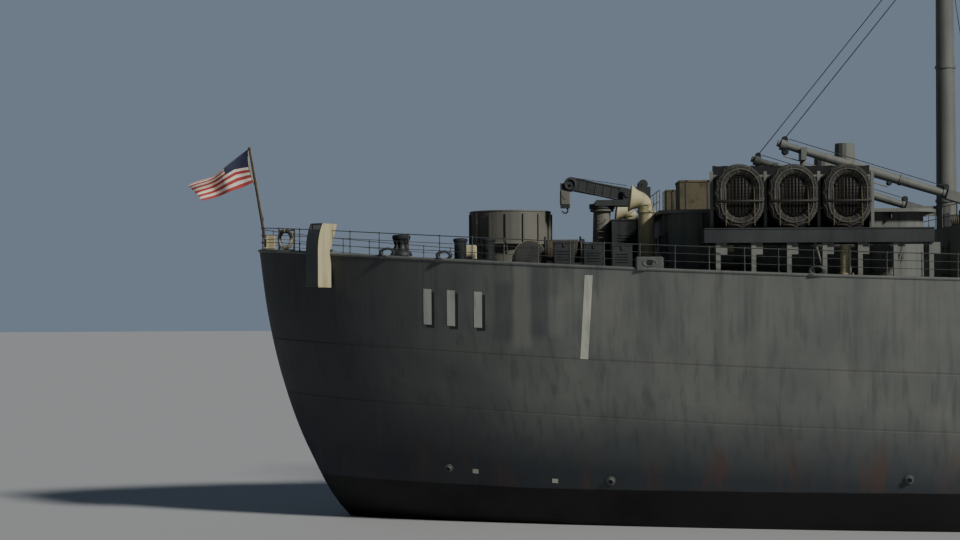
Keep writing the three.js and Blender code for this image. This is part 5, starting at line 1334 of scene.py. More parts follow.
for side, name in SIDES:
    cowl = bmesh.new()
    foot = Vector((COWL_X, side * COWL_Y, deck_height(COWL_X) - 0.1))
    elbow = Vector((COWL_X, side * COWL_Y, COWL_ELBOW_Z))
    out = Vector((-1, 0, COWL_RISE)).normalized()
    up = Vector((0, 0, 1))
    sections = [(foot, up, COWL_PIPE + 0.03), (elbow - up * 0.42, up, COWL_PIPE)]
    for i in range(1, 8):
        turn = i / 8
        facing = up.lerp(out, turn).normalized()
        bend = elbow - up * 0.42 * (1 - turn) ** 1.4 + out * 0.3 * turn**1.5
        sections.append((bend, facing, COWL_PIPE + 0.02 * turn))
    lip = elbow + out * COWL_REACH
    sections += [(elbow + out * 0.42, out, COWL_PIPE + 0.06), (elbow + out * 0.58, out, COWL_MOUTH - 0.07)]
    sections += [(lip, out, COWL_MOUTH), (lip + out * 0.03, out, COWL_MOUTH + 0.02)]
    inner = [(lip + out * 0.03, out, COWL_MOUTH - 0.02), (lip - out * 0.1, out, COWL_MOUTH - 0.06)]
    inner += [(elbow + out * 0.38, out, COWL_PIPE - 0.02), (elbow + out * 0.2, out, 0.8 * COWL_PIPE)]
    hoops(cowl, sections + inner, COWL_SIDES)
    bar(cowl, elbow + out * 0.21, elbow + out * 0.235, 0.8 * COWL_PIPE, sides=COWL_SIDES, material=1)
    around_lip = placed(lip + out * 0.02, math.pi / 2 + math.atan(COWL_RISE), "Y")
    repeat(cowl, ring(COWL_MOUTH + 0.01, 0.03, 40, 8), [around_lip @ Matrix.Rotation(math.pi / 2, 4, "X")])
    for z in (deck_height(COWL_X) + 0.05, COWL_ELBOW_Z - 0.5):
        pin(cowl, (COWL_X, side * COWL_Y, z), (0, 0, 0.05), COWL_PIPE + 0.06, sides=COWL_SIDES)
    for s in (-1, 1):
        handle = Vector((COWL_X, side * COWL_Y + s * (COWL_PIPE + 0.05), COWL_ELBOW_Z - 0.2))
        pin(cowl, handle, (0.12, 0, 0), 0.018, sides=6)
    finish(
        "cowl_ventilator_" + name, cowl, cream, shadow_black, replaced=["ventilator_" + name],
        slot="cream_paint"
    )

# After deckhouse
# A welded steel house, painted the ship's grey, with a dark deck on top: weathertight doors, portholes under
# rain hoods, ladders, louvres and roof rails. The lockers on it are covered in tan painted canvas. Cream
# ventilators and boxes stand on the deck about it.
LADDER_WIDTH, RUNG_PITCH, RAIL_PIPE = 0.42, 0.3, 0.018


def part_of(maker):
    """A small part, made in a mesh of its own."""
    part = bmesh.new()
    maker(part)
    return part


def on_wall(x, y, z, facing):
    """Where a part that faces -Y stands on a wall that faces the given way."""
    turn = {"starboard": 0, "bow": math.pi / 2, "port": math.pi, "stern": -math.pi / 2}[facing]
    return placed((x, y, z), turn)


def door(mesh):
    """A weathertight door: frame, beaded leaf, sill, dogs and hinges. Materials: 0 paint, 1 steel."""
    block(mesh, (-0.48, -0.05, 0.1), (0.48, 0.02, 2.02), 0.03)
    block(mesh, (-0.38, -0.09, 0.2), (0.38, -0.03, 1.92), 0.03)
    block(mesh, (-0.3, -0.105, 0.3), (0.3, -0.07, 1.82), 0.02)
    block(mesh, (-0.5, -0.14, 0.04), (0.5, 0.02, 0.1), 0.01)
    for x in (0.4, -0.4):
        for z in (0.45, 1.06, 1.67):
            bar(mesh, (x, -0.13, z), (x * 0.68, -0.14, z + 0.03), 0.018, sides=6, material=1)
            bar(mesh, (x, -0.15, z), (x, -0.03, z), 0.028, sides=8, material=1)
    for z in (0.4, 1.06, 1.72):
        bar(mesh, (-0.43, -0.09, z - 0.09), (-0.43, -0.09, z + 0.09), 0.028, sides=8)
    bar(mesh, (0.18, -0.15, 0.95), (0.18, -0.15, 1.2), 0.014, sides=6, material=1)


def porthole(mesh):
    """A fixed light: a rim with bolts, dark glass and a rain hood. Materials: 0 paint, 1 steel, 2 glass."""
    repeat(mesh, ring(0.21, 0.035, 24, 8), [Matrix.Identity(4)])
    bar(mesh, (0, 0.01, 0), (0, -0.012, 0), 0.2, sides=24, material=2)
    for i in range(6):
        angle = math.pi * (i / 3 + 1 / 6)
        at = Vector((0.23 * math.cos(angle), -0.03, 0.23 * math.sin(angle)))
        bar(mesh, at, at - Vector((0, 0.02, 0)), 0.014, sides=6, material=1)

    def hood(share):
        angle = math.pi * (0.12 + 0.76 * share)
        return Vector((0.28 * math.cos(angle), -0.04, 0.28 * math.sin(angle)))
    pipe(mesh, hood, 12, 0.018, 6)


def ladder(mesh, foot, head, across=(0, 1, 0)):
    """A ladder of rungs between two stringers, from its foot to its head; across is the way along a rung."""
    foot, head = Vector(foot), Vector(head)
    across = Vector(across) * LADDER_WIDTH / 2
    for side in (-1, 1):
        bar(mesh, foot + across * side, head + across * side, 0.025, sides=6)
    rungs = int((head - foot).length / RUNG_PITCH)
    for i in range(rungs):
        pin(mesh, foot.lerp(head, (i + 0.7) / rungs), across, 0.018, sides=6)


def louvre(mesh):
    """A vent with blades that shed water. Material 1 is what shows between them."""
    block(mesh, (-0.36, -0.05, -0.26), (0.36, 0.02, 0.26), 0.015, material=1)
    for x in (-0.37, 0.37):
        block(mesh, (x - 0.03, -0.09, -0.29), (x + 0.03, 0.02, 0.29), 0.008)
    for i in range(7):
        z = -0.25 + 0.083 * i
        tilt = Matrix.Rotation(math.radians(35), 3, "X")
        block(mesh, (-0.36, -0.1, z - 0.012), (0.36, -0.02, z + 0.012), 0, tilt)


def rail_run(mesh, points, pitch=1.5):
    """A rail of two courses with stanchions, along straight runs between points of a deck."""
    points = [Vector(point) for point in points]
    for start, end in zip(points, points[1:]):
        count = max(1, round((end - start).length / pitch))
        for rise in (0.5, 1.0):
            bar(mesh, start, end, RAIL_PIPE, sides=5, at=(0, 0, rise))
        for i in range(count + 1):
            bar(mesh, (0, 0, -0.03), (0, 0, 1.0), 1.35 * RAIL_PIPE, sides=6, at=start.lerp(end, i / count))


def mushroom(mesh, at, pipe_radius, head_radius, rise, deep):
    """A mushroom ventilator: a pipe under a rounded head with a rolled lip."""
    head = turned([
        (0, rise), (head_radius * 0.96, rise), (head_radius, rise + 0.05),
        (head_radius * 0.97, rise + deep * 0.5), (head_radius * 0.86, rise + deep * 0.85),
        (head_radius * 0.5, rise + deep * 0.98), (0, rise + deep),
    ], 28)
    repeat(mesh, head, [Vector(at)])
    bar(mesh, (0, 0, -0.05), (0, 0, rise + 0.05), pipe_radius, sides=20, at=at)
    bar(mesh, (0, 0, -0.02), (0, 0, 0.06), pipe_radius * 1.3, sides=20, at=at)


def faces_up(at, normal):
    """1 on a deck, and 0 on a wall, wherever it is."""
    return int(normal.z > 0.9)


HOUSE_GREY, HOUSE_WORN, HOUSE_DAMP = "#6f736f", "#7f827c", "#4d5254"
house_paint = sea_paint("grey_paint_on_deckhouses", HOUSE_GREY, HOUSE_WORN, HOUSE_DAMP)[0]
steel = sea_paint("oiled_bare_steel", "#4a4743", "#6a6258", "#2d2a27", (0.3, 0.55))[0]
glass, tree, shader = new_material("dark_port_glass")
place = add_node(tree, "TexCoord").outputs["Object"]
salt = add_node(tree, "TexNoise", {"Vector": place, "Scale": per_metre(0.5), "Detail": 5}).outputs["Fac"]
salt_share = add_node(
    tree, "MapRange", {"Value": salt, "From Min": 0.45, "From Max": 0.8, "To Max": 0.4}
).outputs[0]
salted = painted_over(tree, linear("#0d1216"), "#5a6468", salt_share)
smear = add_node(
    tree, "MapRange", {"Value": salt, "From Min": 0.3, "From Max": 0.8, "To Min": 0.06, "To Max": 0.4}
)
feed(tree, shader, {"Base Color": salted, "Roughness": smear.outputs[0], "Coat Weight": 0.4})

AFTER_X0, AFTER_HALF, AFTER_ROOF = -75.9, 7.0, 14.1
ROOF_LOCKER_X, ROOF_LOCKER_Y = (-75.2, -73.6), 3.4
locker_tan = fabric("painted_canvas_on_lockers", "#66624f", "#757059", "#3e3b2c", 0.006)


def after_house_face(at, normal):
    """2 on the lockers on the roof, 1 on the roof and 0 on the walls."""
    on_locker = at.z > AFTER_ROOF + 0.02 and ROOF_LOCKER_X[0] - 0.1 < at.x < ROOF_LOCKER_X[1] + 0.1
    return 2 if on_locker else faces_up(at, normal)


dress("after_deckhouse", house_paint, deck_grey, locker_tan, choose=after_house_face)
after = bmesh.new()
after_floor = deck_height(-70)
doors = [on_wall(AFTER_X0, y, deck_height(AFTER_X0), "stern") for y in (-3.6, 3.6)]
doors += [on_wall(-66.5, s * AFTER_HALF, after_floor, n) for s, n in SIDES]
repeat(after, part_of(door), doors)
ports = [
    on_wall(x, s * AFTER_HALF, after_floor + 1.7, n)
    for s, n in SIDES
    for x in (-73.6, -71.6, -69.9, -68.2)
]
ports += [on_wall(AFTER_X0, y, after_floor + 1.8, "stern") for y in (-5.3, -1.8, 0, 1.8, 5.3)]
repeat(after, part_of(porthole), ports)
vents = [on_wall(-72.6, s * AFTER_HALF, after_floor + 0.6, n) for s, n in SIDES]
repeat(after, part_of(louvre), vents)
for s in (-1, 1):
    ladder(
        after, (AFTER_X0 - 0.16, s * 5.6, deck_height(AFTER_X0)), (AFTER_X0 - 0.16, s * 5.6, AFTER_ROOF + 0.9)
    )
    rail_run(after, [(AFTER_X0 - 0.3, s * 0.2, AFTER_ROOF), (AFTER_X0 - 0.3, s * 5.3, AFTER_ROOF)])
    for x in (ROOF_LOCKER_X[0] + 0.3, ROOF_LOCKER_X[1] - 0.3):
        block(
            after, (-0.05, -1.03, 0), (0.05, 1.03, 1.5), 0.01, material=1,
            at=(x, s * ROOF_LOCKER_Y, AFTER_ROOF)
        )
    low, high = (ROOF_LOCKER_X[0] - 0.03, -1.03, 1.38), (ROOF_LOCKER_X[1] + 0.03, 1.03, 1.5)
    block(after, low, high, 0.02, material=3, at=(0, s * ROOF_LOCKER_Y, AFTER_ROOF))
    mushroom(after, (-69.4, s * 1.6, AFTER_ROOF), 0.16, 0.3, 0.55, 0.2)
    for x in (-74.5, -71, -67.5):
        bar(
            after, (0, 0, after_floor + 0.2), (0, 0, AFTER_ROOF - 0.2), 0.05,
            at=(x, s * (AFTER_HALF + 0.12), 0)
        )
for s in (-1, 1):
    bar(after, (-68.5, s * 9.3, 11.0), (-68.5, s * 9.3, 12.4), 0.24, sides=20, material=4)
    bar(after, (-68.5, s * 9.3, 11.05), (-68.5, s * 9.3, 11.2), 0.34, sides=20, material=4)
    block(after, (-85.3, s * 5.5 - 0.4, 11.9), (-84.5, s * 5.5 + 0.4, 12.62), 0.05, material=4)
    block(after, (-73.95, s * 7.2 - 0.2, 12.2), (-73.1, s * 7.2 + 0.2, 12.8), 0.04, material=4)
    block(after, (-74.0, s * 7.3 - 0.3, 11.55), (-72.9, s * 7.3 + 0.3, 11.75), 0.03)
    for x in (-73.85, -73.05):
        block(after, (-0.03, -0.03, 11.2), (0.03, 0.03, 11.56), 0.005, at=(x, s * 7.5, 0))
for x in (-74.2, -71.5, -68.8, -66.1):
    for y in (-AFTER_HALF - 0.16, AFTER_HALF + 0.16):
        block(after, (-0.02, -0.16, -0.42), (0.02, 0.16, -0.14), 0.005, at=(x, y, AFTER_ROOF))
finish("after_deckhouse_fittings", after, house_paint, steel, glass, locker_tan, cream, slot="house_paint")

# Life float racks and life floats
# Oval floats of balsa wrapped in canvas stand on edge on a steel shelf, three a side. Each has a slatted
# floor hung in a dark net, a paddle bar, and a grab line in bights. Webbing gripes hold them against the
# rack's back rails.
FLOAT_WIDTH, FLOAT_HEIGHT, FLOAT_TUBE, FLOAT_Y, FLOAT_FOOT = 2.14, 2.8, 0.24, 9.45, 13.15
FLOAT_PITCH, FLOAT_FIRST, FLOATS_PER_SIDE = 2.33, -73.1, 3
RACK_X0, RACK_X1, RACK_OUTER, RACK_TOP, RACK_PLATE = -74.7, -64.8, 10.1, 13.147, 0.65


def rack_shelf_in_painted_shade(at, normal):
    """The shelf is dark: painted shade, for the band of shadow along the rack. The legs and back are grey."""
    return int(RACK_TOP - RACK_PLATE - 0.02 < at.z < RACK_TOP + 0.01)


for side, name in SIDES:
    dress("float_rack_" + name, house_paint, dark_paint, choose=rack_shelf_in_painted_shade)


def oval(radius, straight):
    """A closed racetrack route in the XZ plane: two half circles joined by straight runs."""
    length = 2 * math.pi * radius + 2 * straight

    def route(share):
        gone = (share % 1) * length
        half_turn = math.pi * radius
        if gone < half_turn:
            angle = gone / radius
            return Vector((radius * math.cos(angle), 0, straight / 2 + radius * math.sin(angle)))
        if gone < half_turn + straight:
            return Vector((-radius, 0, straight / 2 - (gone - half_turn)))
        if gone < 2 * half_turn + straight:
            angle = math.pi + (gone - half_turn - straight) / radius
            return Vector((radius * math.cos(angle), 0, -straight / 2 + radius * math.sin(angle)))
        return Vector((radius, 0, -straight / 2 + (gone - 2 * half_turn - straight)))
    return route


def life_float(mesh):
    """A float about its middle, in the XZ plane. Materials: 0 canvas, 1 net, 2 slats, 3 line, 4 webbing."""
    centre_radius = FLOAT_WIDTH / 2 - FLOAT_TUBE
    straight = FLOAT_HEIGHT - FLOAT_WIDTH
    route = oval(centre_radius, straight)

    def place(u, v):
        here, ahead = route(u), (route(u + 0.004) - route(u - 0.004)).normalized()
        out = Vector((ahead.z, 0, -ahead.x))
        angle = 2 * math.pi * v
        lapped = 0.008 * abs(math.sin(math.pi * 26 * u)) ** 0.4
        lapped += 0.006 * noise.noise(Vector((20 * u, 3 * v, 5)))
        around = math.cos(angle) * out + Vector((0, math.sin(angle), 0))
        return here + (FLOAT_TUBE - 0.012 + lapped) * around

    made = mapped_grid(mesh, 104, 14, place)
    bmesh.ops.remove_doubles(mesh, verts=made, dist=0.002)
    inner = centre_radius - FLOAT_TUBE
    for i in range(-4, 5):
        x = i * 0.15
        half = straight / 2 + math.sqrt(max(inner**2 - x**2, 0.02)) - 0.1
        block(mesh, (x - 0.055, -0.03, -half), (x + 0.055, 0.03, half), 0.01, material=2)
    for z in (-0.75, 0, 0.75):
        half = math.sqrt(inner**2 - max(abs(z) - straight / 2, 0) ** 2)
        block(mesh, (-half + 0.05, 0.03, z - 0.05), (half - 0.05, 0.08, z + 0.05), 0.01, material=2)
    for i in range(40):
        here = route(i / 40)
        towards = Vector((here.x * 0.62, -0.04, here.z * 0.66))
        edge = Vector((here.x * 0.8, -0.02, here.z * 0.86))
        bar(
            mesh, edge, towards + Vector((0.05 * math.sin(i), 0, 0.05 * math.cos(i))), 0.012, sides=5,
            material=1
        )
    for i in range(-5, 6):
        reach = math.sqrt(max(inner**2 - (0.13 * i) ** 2, 0)) + straight / 2
        bar(mesh, (0.13 * i, -0.05, -reach), (0.13 * i, -0.05, reach), 0.009, sides=5, material=1)
    for i in range(-8, 9):
        z = 0.14 * i
        reach = math.sqrt(max(inner**2 - max(abs(z) - straight / 2, 0) ** 2, 0))
        bar(mesh, (-reach, -0.055, z), (reach, -0.055, z), 0.009, sides=5, material=1)
    pipe(mesh, lambda share: route(share) - Vector((0, FLOAT_TUBE + 0.012, 0)), 80, 0.022, 6, 3)
    bights = 14
    for i in range(bights):
        def bight(share):
            at = route((i + share) / bights)
            ahead = (route((i + share) / bights + 0.004) - at).normalized()
            out = Vector((ahead.z, 0, -ahead.x))
            drop = FLOAT_TUBE * (0.9 - 0.42 * math.sin(math.pi * share))
            return at + out * drop + Vector((0, -math.sqrt(max((FLOAT_TUBE + 0.012) ** 2 - drop**2, 0)), 0))
        pipe(mesh, bight, 8, 0.012, 5, 3)
        at = route(i / bights)
        ahead = (route(i / bights + 0.004) - at).normalized()
        turn = Vector((1, 0, 0)).rotation_difference(Vector((ahead.z, 0, -ahead.x))).to_matrix().to_4x4()
        band = ring(FLOAT_TUBE + 0.004, 0.014, 20, 6, 4)
        repeat(mesh, band, [Matrix.Translation(at) @ turn @ Matrix.Rotation(math.pi / 2, 4, "X")])
    block(
        mesh, (-1.02, -0.3, -0.05), (1.02, -0.22, 0.05), 0.02, material=2,
        at=(0, 0, 0.42 * FLOAT_HEIGHT - FLOAT_HEIGHT / 2)
    )


# The floats' grey canvas is made near-black: painted shade, as the floats stood in shadow.
float_canvas_darkened_as_shade = fabric("grey_canvas_on_floats_darkened_as_shade", "#323331", "#43443f", "#202122", 0.008)
float_line = fabric("bleached_grab_line", "#706e67", "#82807a", "#4c4a46", 0.01)
tarred_net = fabric("tarred_net", "#191a1b", "#242424", "#0f0f10", 0.01)
slat_wood = wood("dark_painted_slats", "#35332c", "#1b1a18", 0.05)
webbing = fabric("cotton_webbing", "#6f6b56", "#837e66", "#474433", 0.004)
shade_screen_canvas = fabric("dark_canvas_screen_as_painted_shade", "#202226", "#2d2f33", "#151619", 0.008)
SCREEN_X, SCREEN_Z, SCREEN_Y = (-74.2, -67.35), (13.2, 15.92), 8.86
for side, name in SIDES:
    floats = bmesh.new()
    places = []
    for i in range(FLOATS_PER_SIDE):
        middle = Vector((FLOAT_FIRST + i * FLOAT_PITCH, side * FLOAT_Y, FLOAT_FOOT + FLOAT_HEIGHT / 2))
        places.append(placed(middle, 0 if side < 0 else math.pi))
    repeat(floats, part_of(life_float), places)
    finish(
        "life_floats_detailed_" + name, floats, float_canvas_darkened_as_shade, tarred_net, slat_wood, float_line, webbing,
        replaced=["life_floats_" + name], slot="canvas", sharp_degrees=60,
    )
    gripes = bmesh.new()
    for i in range(FLOATS_PER_SIDE):
        x = FLOAT_FIRST + i * FLOAT_PITCH
        for dx in (-0.62, 0.62):
            def gripe(share):
                rise = 2.3 - 2.2 * share**3 + 0.35 * math.sin(math.pi * share)
                return Vector((x + dx, side * (FLOAT_Y - 0.36 + 0.68 * share), RACK_TOP + rise))
            pipe(gripes, gripe, 20, 0.02, 6, 1)
    for i in range(7):
        x = -74.1 + 1.53 * i
        foot = Vector((x, side * (RACK_OUTER - 0.2), deck_height(x)))
        block(gripes, (-0.22, -0.22, -0.05), (0.22, 0.22, 0.04), 0.01, at=foot)
        block(
            gripes, (-0.02, -0.02, -0.5), (0.4, 0.02, 0), 0.005,
            at=(x, side * (RACK_OUTER - 0.2), RACK_TOP - RACK_PLATE)
        )
    brace_y = side * (RACK_OUTER - 0.2)
    for x, lean_by in ((-69.5, -0.4), (-66.5, 0.4)):
        bar(gripes, (x, brace_y, deck_height(x)), (x + lean_by, brace_y, RACK_TOP - RACK_PLATE), 0.05)
    # The shelf's edge bars take the dark paint too: painted shade along the rack.
    for z in (RACK_TOP - 0.04, RACK_TOP - RACK_PLATE + 0.03):
        y = side * RACK_OUTER
        block(gripes, (RACK_X0, y - 0.03, z - 0.03), (RACK_X1, y + 0.03, z + 0.03), 0.01, material=2)
    finish("float_rack_fittings_" + name, gripes, house_paint, webbing, dark_paint, slot="house_paint")
    # A near-black canvas screen is laced behind the floats, and bellies a little between the rack's posts.
    # It is a dark sheet that stands as painted shade behind and between the floats.
    screen = bmesh.new()

    def screen_place(u, v):
        belly = 0.05 * math.sin(math.pi * v) * abs(math.sin(3 * math.pi * u))
        x = SCREEN_X[0] + u * (SCREEN_X[1] - SCREEN_X[0])
        z = SCREEN_Z[0] + v * (SCREEN_Z[1] - SCREEN_Z[0]) - 0.03 * abs(math.sin(12 * math.pi * u)) * v
        return Vector((x, side * (SCREEN_Y + belly), z))

    mapped_grid(screen, 90, 20, screen_place)
    thickened(screen, screen.faces, (0, -side * 0.012, 0))
    screen_piece = finish("float_rack_shade_screen_" + name, screen, shade_screen_canvas, slot="canvas", sharp_degrees=70)

# Kingposts and mast houses
# Two pairs of welded tube posts, tied by a box crosstree, rise from the winch houses. Each carries head
# blocks, a ladder, two winches on the house's top and a rest for its booms' topping gear.
GEAR_COLUMNS = ("x", "y", "top", "heel", "house_top", "facing", "rise", "length")
GEAR = {
    "forward": dict(zip(GEAR_COLUMNS, (60, 5.2, 26.5, 15.6, 14.6, 1, 0.14, 15.5))),
    "aft": dict(zip(GEAR_COLUMNS, (-61, 4.6, 29, 14.6, 13.5, -1, 0.3, 9.0))),
}
HEEL_REACH, POST_RADII, MAST_HOUSE_HALF = 1.15, (0.55, 0.42), 1.5


def boom_point(gear, along, side, up=0.0):
    """A point on the middle line of a boom, some way along it from its heel, and up square to it."""
    cos, sin = math.cos(gear["rise"]), math.sin(gear["rise"])
    x = gear["x"] + gear["facing"] * (HEEL_REACH + along * cos - up * sin)
    return Vector((x, side * gear["y"], gear["heel"] + along * sin + up * cos))


def cargo_winch(mesh, at, turn):
    """A winch: bed, drum with wire, gear case and warping end. Materials: 0 paint, 1 wire, 2 dark gear."""
    part = bmesh.new()
    block(part, (-0.75, -0.5, 0), (0.75, 0.5, 0.12), 0.02, material=2)
    bar(part, (-0.45, 0, 0.5), (0.45, 0, 0.5), 0.2, sides=16, material=2)
    for x in (-0.5, 0.5):
        bar(part, (x - 0.03, 0, 0.5), (x + 0.03, 0, 0.5), 0.38, sides=20, material=2)
        block(part, (x - 0.09, -0.3, 0.1), (x + 0.09, 0.3, 0.4), 0.02, material=2)
    for i in range(9):
        at_turn = placed((-0.4 + 0.1 * i, 0, 0.5), math.pi / 2)
        repeat(part, ring(0.24, 0.05, 18, 6, 1), [at_turn])
    block(part, (0.55, -0.3, 0.12), (0.85, 0.4, 0.82), 0.06, material=2)
    bar(part, (-0.95, 0, 0.5), (-0.6, 0, 0.5), 0.2, 0.12, 14, 2)
    repeat(mesh, part, [placed(at, turn)])


def smoothed(node, *materials, choose=None, body="ship", slot="house_paint"):
    """Puts a copy of a CAD node in its place, with its facets blended where they stand for a curve."""
    copy = bmesh.new()
    copy.from_mesh(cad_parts[node].data)
    bmesh.ops.remove_doubles(copy, verts=copy.verts, dist=0.00003)
    bmesh.ops.scale(copy, vec=(1 / MODEL, 1 / MODEL, 1 / MODEL), verts=copy.verts)
    copy.normal_update()
    for face in copy.faces:
        face.material_index = choose(face.calc_center_median(), face.normal) if choose else 0
    finish(node + "_rounded", copy, *materials, body=body, replaced=[node], slot=slot, sharp_degrees=38)


for place_name, gear in GEAR.items():
    node = "kingposts_" + place_name
    house_top = gear["house_top"] + 0.1
    smoothed(node, house_paint, deck_grey, choose=lambda at, normal: int(normal.z > 0.9 and at.z < house_top))
    posts = bmesh.new()
    x, y, top, facing = gear["x"], gear["y"], gear["top"], gear["facing"]
    for side in (-1, 1):
        for z in (gear["house_top"] + 0.06, gear["heel"] + 0.5, 0.5 * (gear["heel"] + top), top - 2.2):
            radius = POST_RADII[0] + (POST_RADII[1] - POST_RADII[0]) * (z - 10) / (top - 10) + 0.04
            pin(posts, (x, side * y, z), (0, 0, 0.07), radius, sides=24)
        ladder(posts, (x, side * (y + 0.75), gear["house_top"]), (x, side * (y + 0.62), top), (1, 0, 0))
        head = Vector((x + facing * 0.7, side * y, top - 0.5))
        block(posts, (-0.3, -0.08, -0.62), (0.3, 0.08, -0.38), 0.02, at=(x + facing * 0.35, side * y, top))
        for s in (-1, 1):
            bar(posts, (0, s * 0.09, -0.28), (0, s * 0.14, -0.28), 0.26, sides=20, material=2, at=head)
        bar(posts, (x, side * y, top + 0.3), (x, side * y, top + 1.0), 0.05, 0.03, 8)
        bar(posts, (x, side * y, top + 0.62), (x, side * y, top + 0.86), 0.11, sides=12, material=2)
        cargo_winch(posts, (x, side * (y - 2.6), gear["house_top"]), 0 if facing > 0 else math.pi)
    for i in range(5):
        cross = -y + (i + 0.5) * 2 * y / 5
        bar(posts, (-0.37, 0, -0.95), (0.37, 0, -0.95), 0.24, sides=20, at=(x, cross, top))
    bar(posts, (x, 0, top - 0.6), (x, 0, top + 1.2), 0.045, 0.02, 8)
    rail_run(posts, [(x - 1.4, -y + 0.8, gear["house_top"]), (x - 1.4, y - 0.8, gear["house_top"])])
    for facing_name, wall_x in (("bow", x + MAST_HOUSE_HALF), ("stern", x - MAST_HOUSE_HALF)):
        repeat(posts, part_of(door), [on_wall(wall_x, -2.2, deck_height(wall_x), facing_name)])
        repeat(
            posts, part_of(louvre),
            [on_wall(wall_x, d, gear["house_top"] - 1, facing_name) for d in (1.6, 3.2)]
        )
    repeat(posts, part_of(porthole), [
        on_wall(x, s * (y + 1.2), gear["house_top"] - 1.1, name) for s, name in SIDES
    ])
    finish("kingpost_fittings_" + place_name, posts, house_paint, steel, dark_paint, slot="house_paint")

# Cargo booms and topping lifts
# Steel tube booms hinge at the kingposts' lugs. Bands, eyes, guy tackles and a cargo runner ride on each.
# A topping lift of three wires runs taut from the post's head to the boom's.
LIFT_SPREAD, WIRE_RADIUS, TOPPING_RANGE = 0.07, 0.02, math.radians(40)
for place_name, gear in GEAR.items():
    for side, name in SIDES:
        node = f"cargo_boom_{place_name}_{name}"
        smoothed(node, house_paint, body=node + "_body")
        spar = bmesh.new()
        length = gear["length"]
        for share in (0.12, 0.35, 0.6, 0.85, 0.97):
            middle = boom_point(gear, share * length, side)
            ahead = (boom_point(gear, share * length + 0.06, side) - middle)
            swell = 0.25 - 0.1 * abs(share - 0.4)
            pin(spar, middle, ahead, swell, sides=20)
        for share, up, size in (
            (0.97, 0.26, 0.14), (0.95, -0.28, 0.16), (0.12, 0.3, 0.15), (0.4, -0.27, 0.12)
        ):
            middle = boom_point(gear, share * length, side, up)
            pin(spar, middle, (0, 0.1, 0), size, sides=20, material=1)
            for s in (-1, 1):
                bar(spar, (0, s * 0.1, 0), (0, s * 0.135, 0), 0.7 * size, sides=16, material=1, at=middle)
        runner = boom_point(gear, 0.13 * length, side, 0.33), boom_point(gear, 0.95 * length, side, 0.33)
        bar(spar, *runner, WIRE_RADIUS, sides=6, material=2)
        tackle = boom_point(gear, 0.95 * length, side, -0.5), boom_point(gear, 0.4 * length, side, -0.46)
        for y in (-0.06, 0.06):
            bar(spar, *tackle, 0.016, sides=5, material=3, at=(0, y, 0))
        finish(
            node + "_fittings", spar, house_paint, dark_paint, galvanised, manila, body=node + "_body",
            slot="house_paint",
        )
        lift = bmesh.new()
        head = Vector((gear["x"] + gear["facing"] * 0.7, side * gear["y"], gear["top"] - 0.78))
        tip = boom_point(gear, 0.97 * length, side, 0.3)
        for y in (-LIFT_SPREAD, 0, LIFT_SPREAD):
            bar(lift, head, tip, WIRE_RADIUS, sides=6, at=(0, y, 0))
        lift_piece = finish(node + "_topping_lift", lift, galvanised, slot="dark_paint")
        heel = boom_point(gear, 0, side)
        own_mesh(lift_piece)

# Hatches
# Steel coamings under stretched khaki tarpaulins, held down by battens and wedges. Two locking bars lie
# across the larger one.
HATCHES = {"cargo_hatch_forward": (63.4, 71.4, 3.1), "cargo_hatch_bow": (76.0, 79.6, 1.9)}
COAMING_HEIGHT, COAMING_COVER = 1.0, 0.12


def hatch_face(at, normal):
    """1 on the coaming, below the tarpaulin's hem."""
    return int(at.z < deck_height(at.x) + 0.72)


for node, (x0, x1, half) in HATCHES.items():
    dress(node, canvas, house_paint, choose=hatch_face)
    middle_x = (x0 + x1) / 2
    top = deck_height(middle_x) + COAMING_HEIGHT + COAMING_COVER
    gear_mesh = bmesh.new()
    for side in (-1, 1):
        y = side * (half + COAMING_COVER)
        block(gear_mesh, (x0, y - 0.04, top - 0.26), (x1, y + 0.04, top - 0.16), 0.01)
        count = round((x1 - x0) / 0.6)
        for i in range(count):
            x = x0 + (i + 0.5) * (x1 - x0) / count
            block(gear_mesh, (-0.05, -0.1, -0.34), (0.05, 0.1, -0.08), 0.01, material=1, at=(x, y, top))
            block(gear_mesh, (-0.03, -0.06, -1.1), (0.03, 0.06, -0.36), 0.01, at=(x, y * 0.985, top))
    for x_end, out in ((x0, -1), (x1, 1)):
        x = x_end + out * COAMING_COVER
        block(gear_mesh, (x - 0.04, -half, top - 0.26), (x + 0.04, half, top - 0.16), 0.01)
        for i in range(round(half * 2 / 0.6)):
            y = -half + 0.3 + 0.6 * i
            block(gear_mesh, (-0.1, -0.05, -0.34), (0.1, 0.05, -0.08), 0.01, material=1, at=(x, y, top))
    if node != "cargo_hatch_bow":
        for share in (0.27, 0.73):
            x = x0 + share * (x1 - x0)
            block(gear_mesh, (x - 0.06, -half - 0.2, top - 0.01), (x + 0.06, half + 0.2, top + 0.05), 0.01)
    finish(node + "_battens", gear_mesh, house_paint, slat_wood, slot="house_paint")

# Breakwater
# A plate athwart the fore deck, bent back at its ends, with a half-round on its top edge and brackets
# behind.
dress("breakwater", house_paint)
water = bmesh.new()
fore_deck, water_x = deck_height(74.3), real_box("breakwater")[1].x
pin(water, (water_x - 0.05, 0, fore_deck + 1.33), (0, 6.6, 0), 0.05)
for y in range(-6, 7):
    bar(water, (74.26, 0, 0.05), (74.26, 0, 1.3), 0.03, sides=6, at=(0, y, fore_deck))
for y in (-4.9, -1.7, 1.7, 4.9):
    block(water, (74.2, -0.2, 0), (74.32, 0.2, 0.1), 0.01, material=1, at=(0, y, fore_deck))
finish("breakwater_fittings", water, house_paint, shadow_black, slot="house_paint")

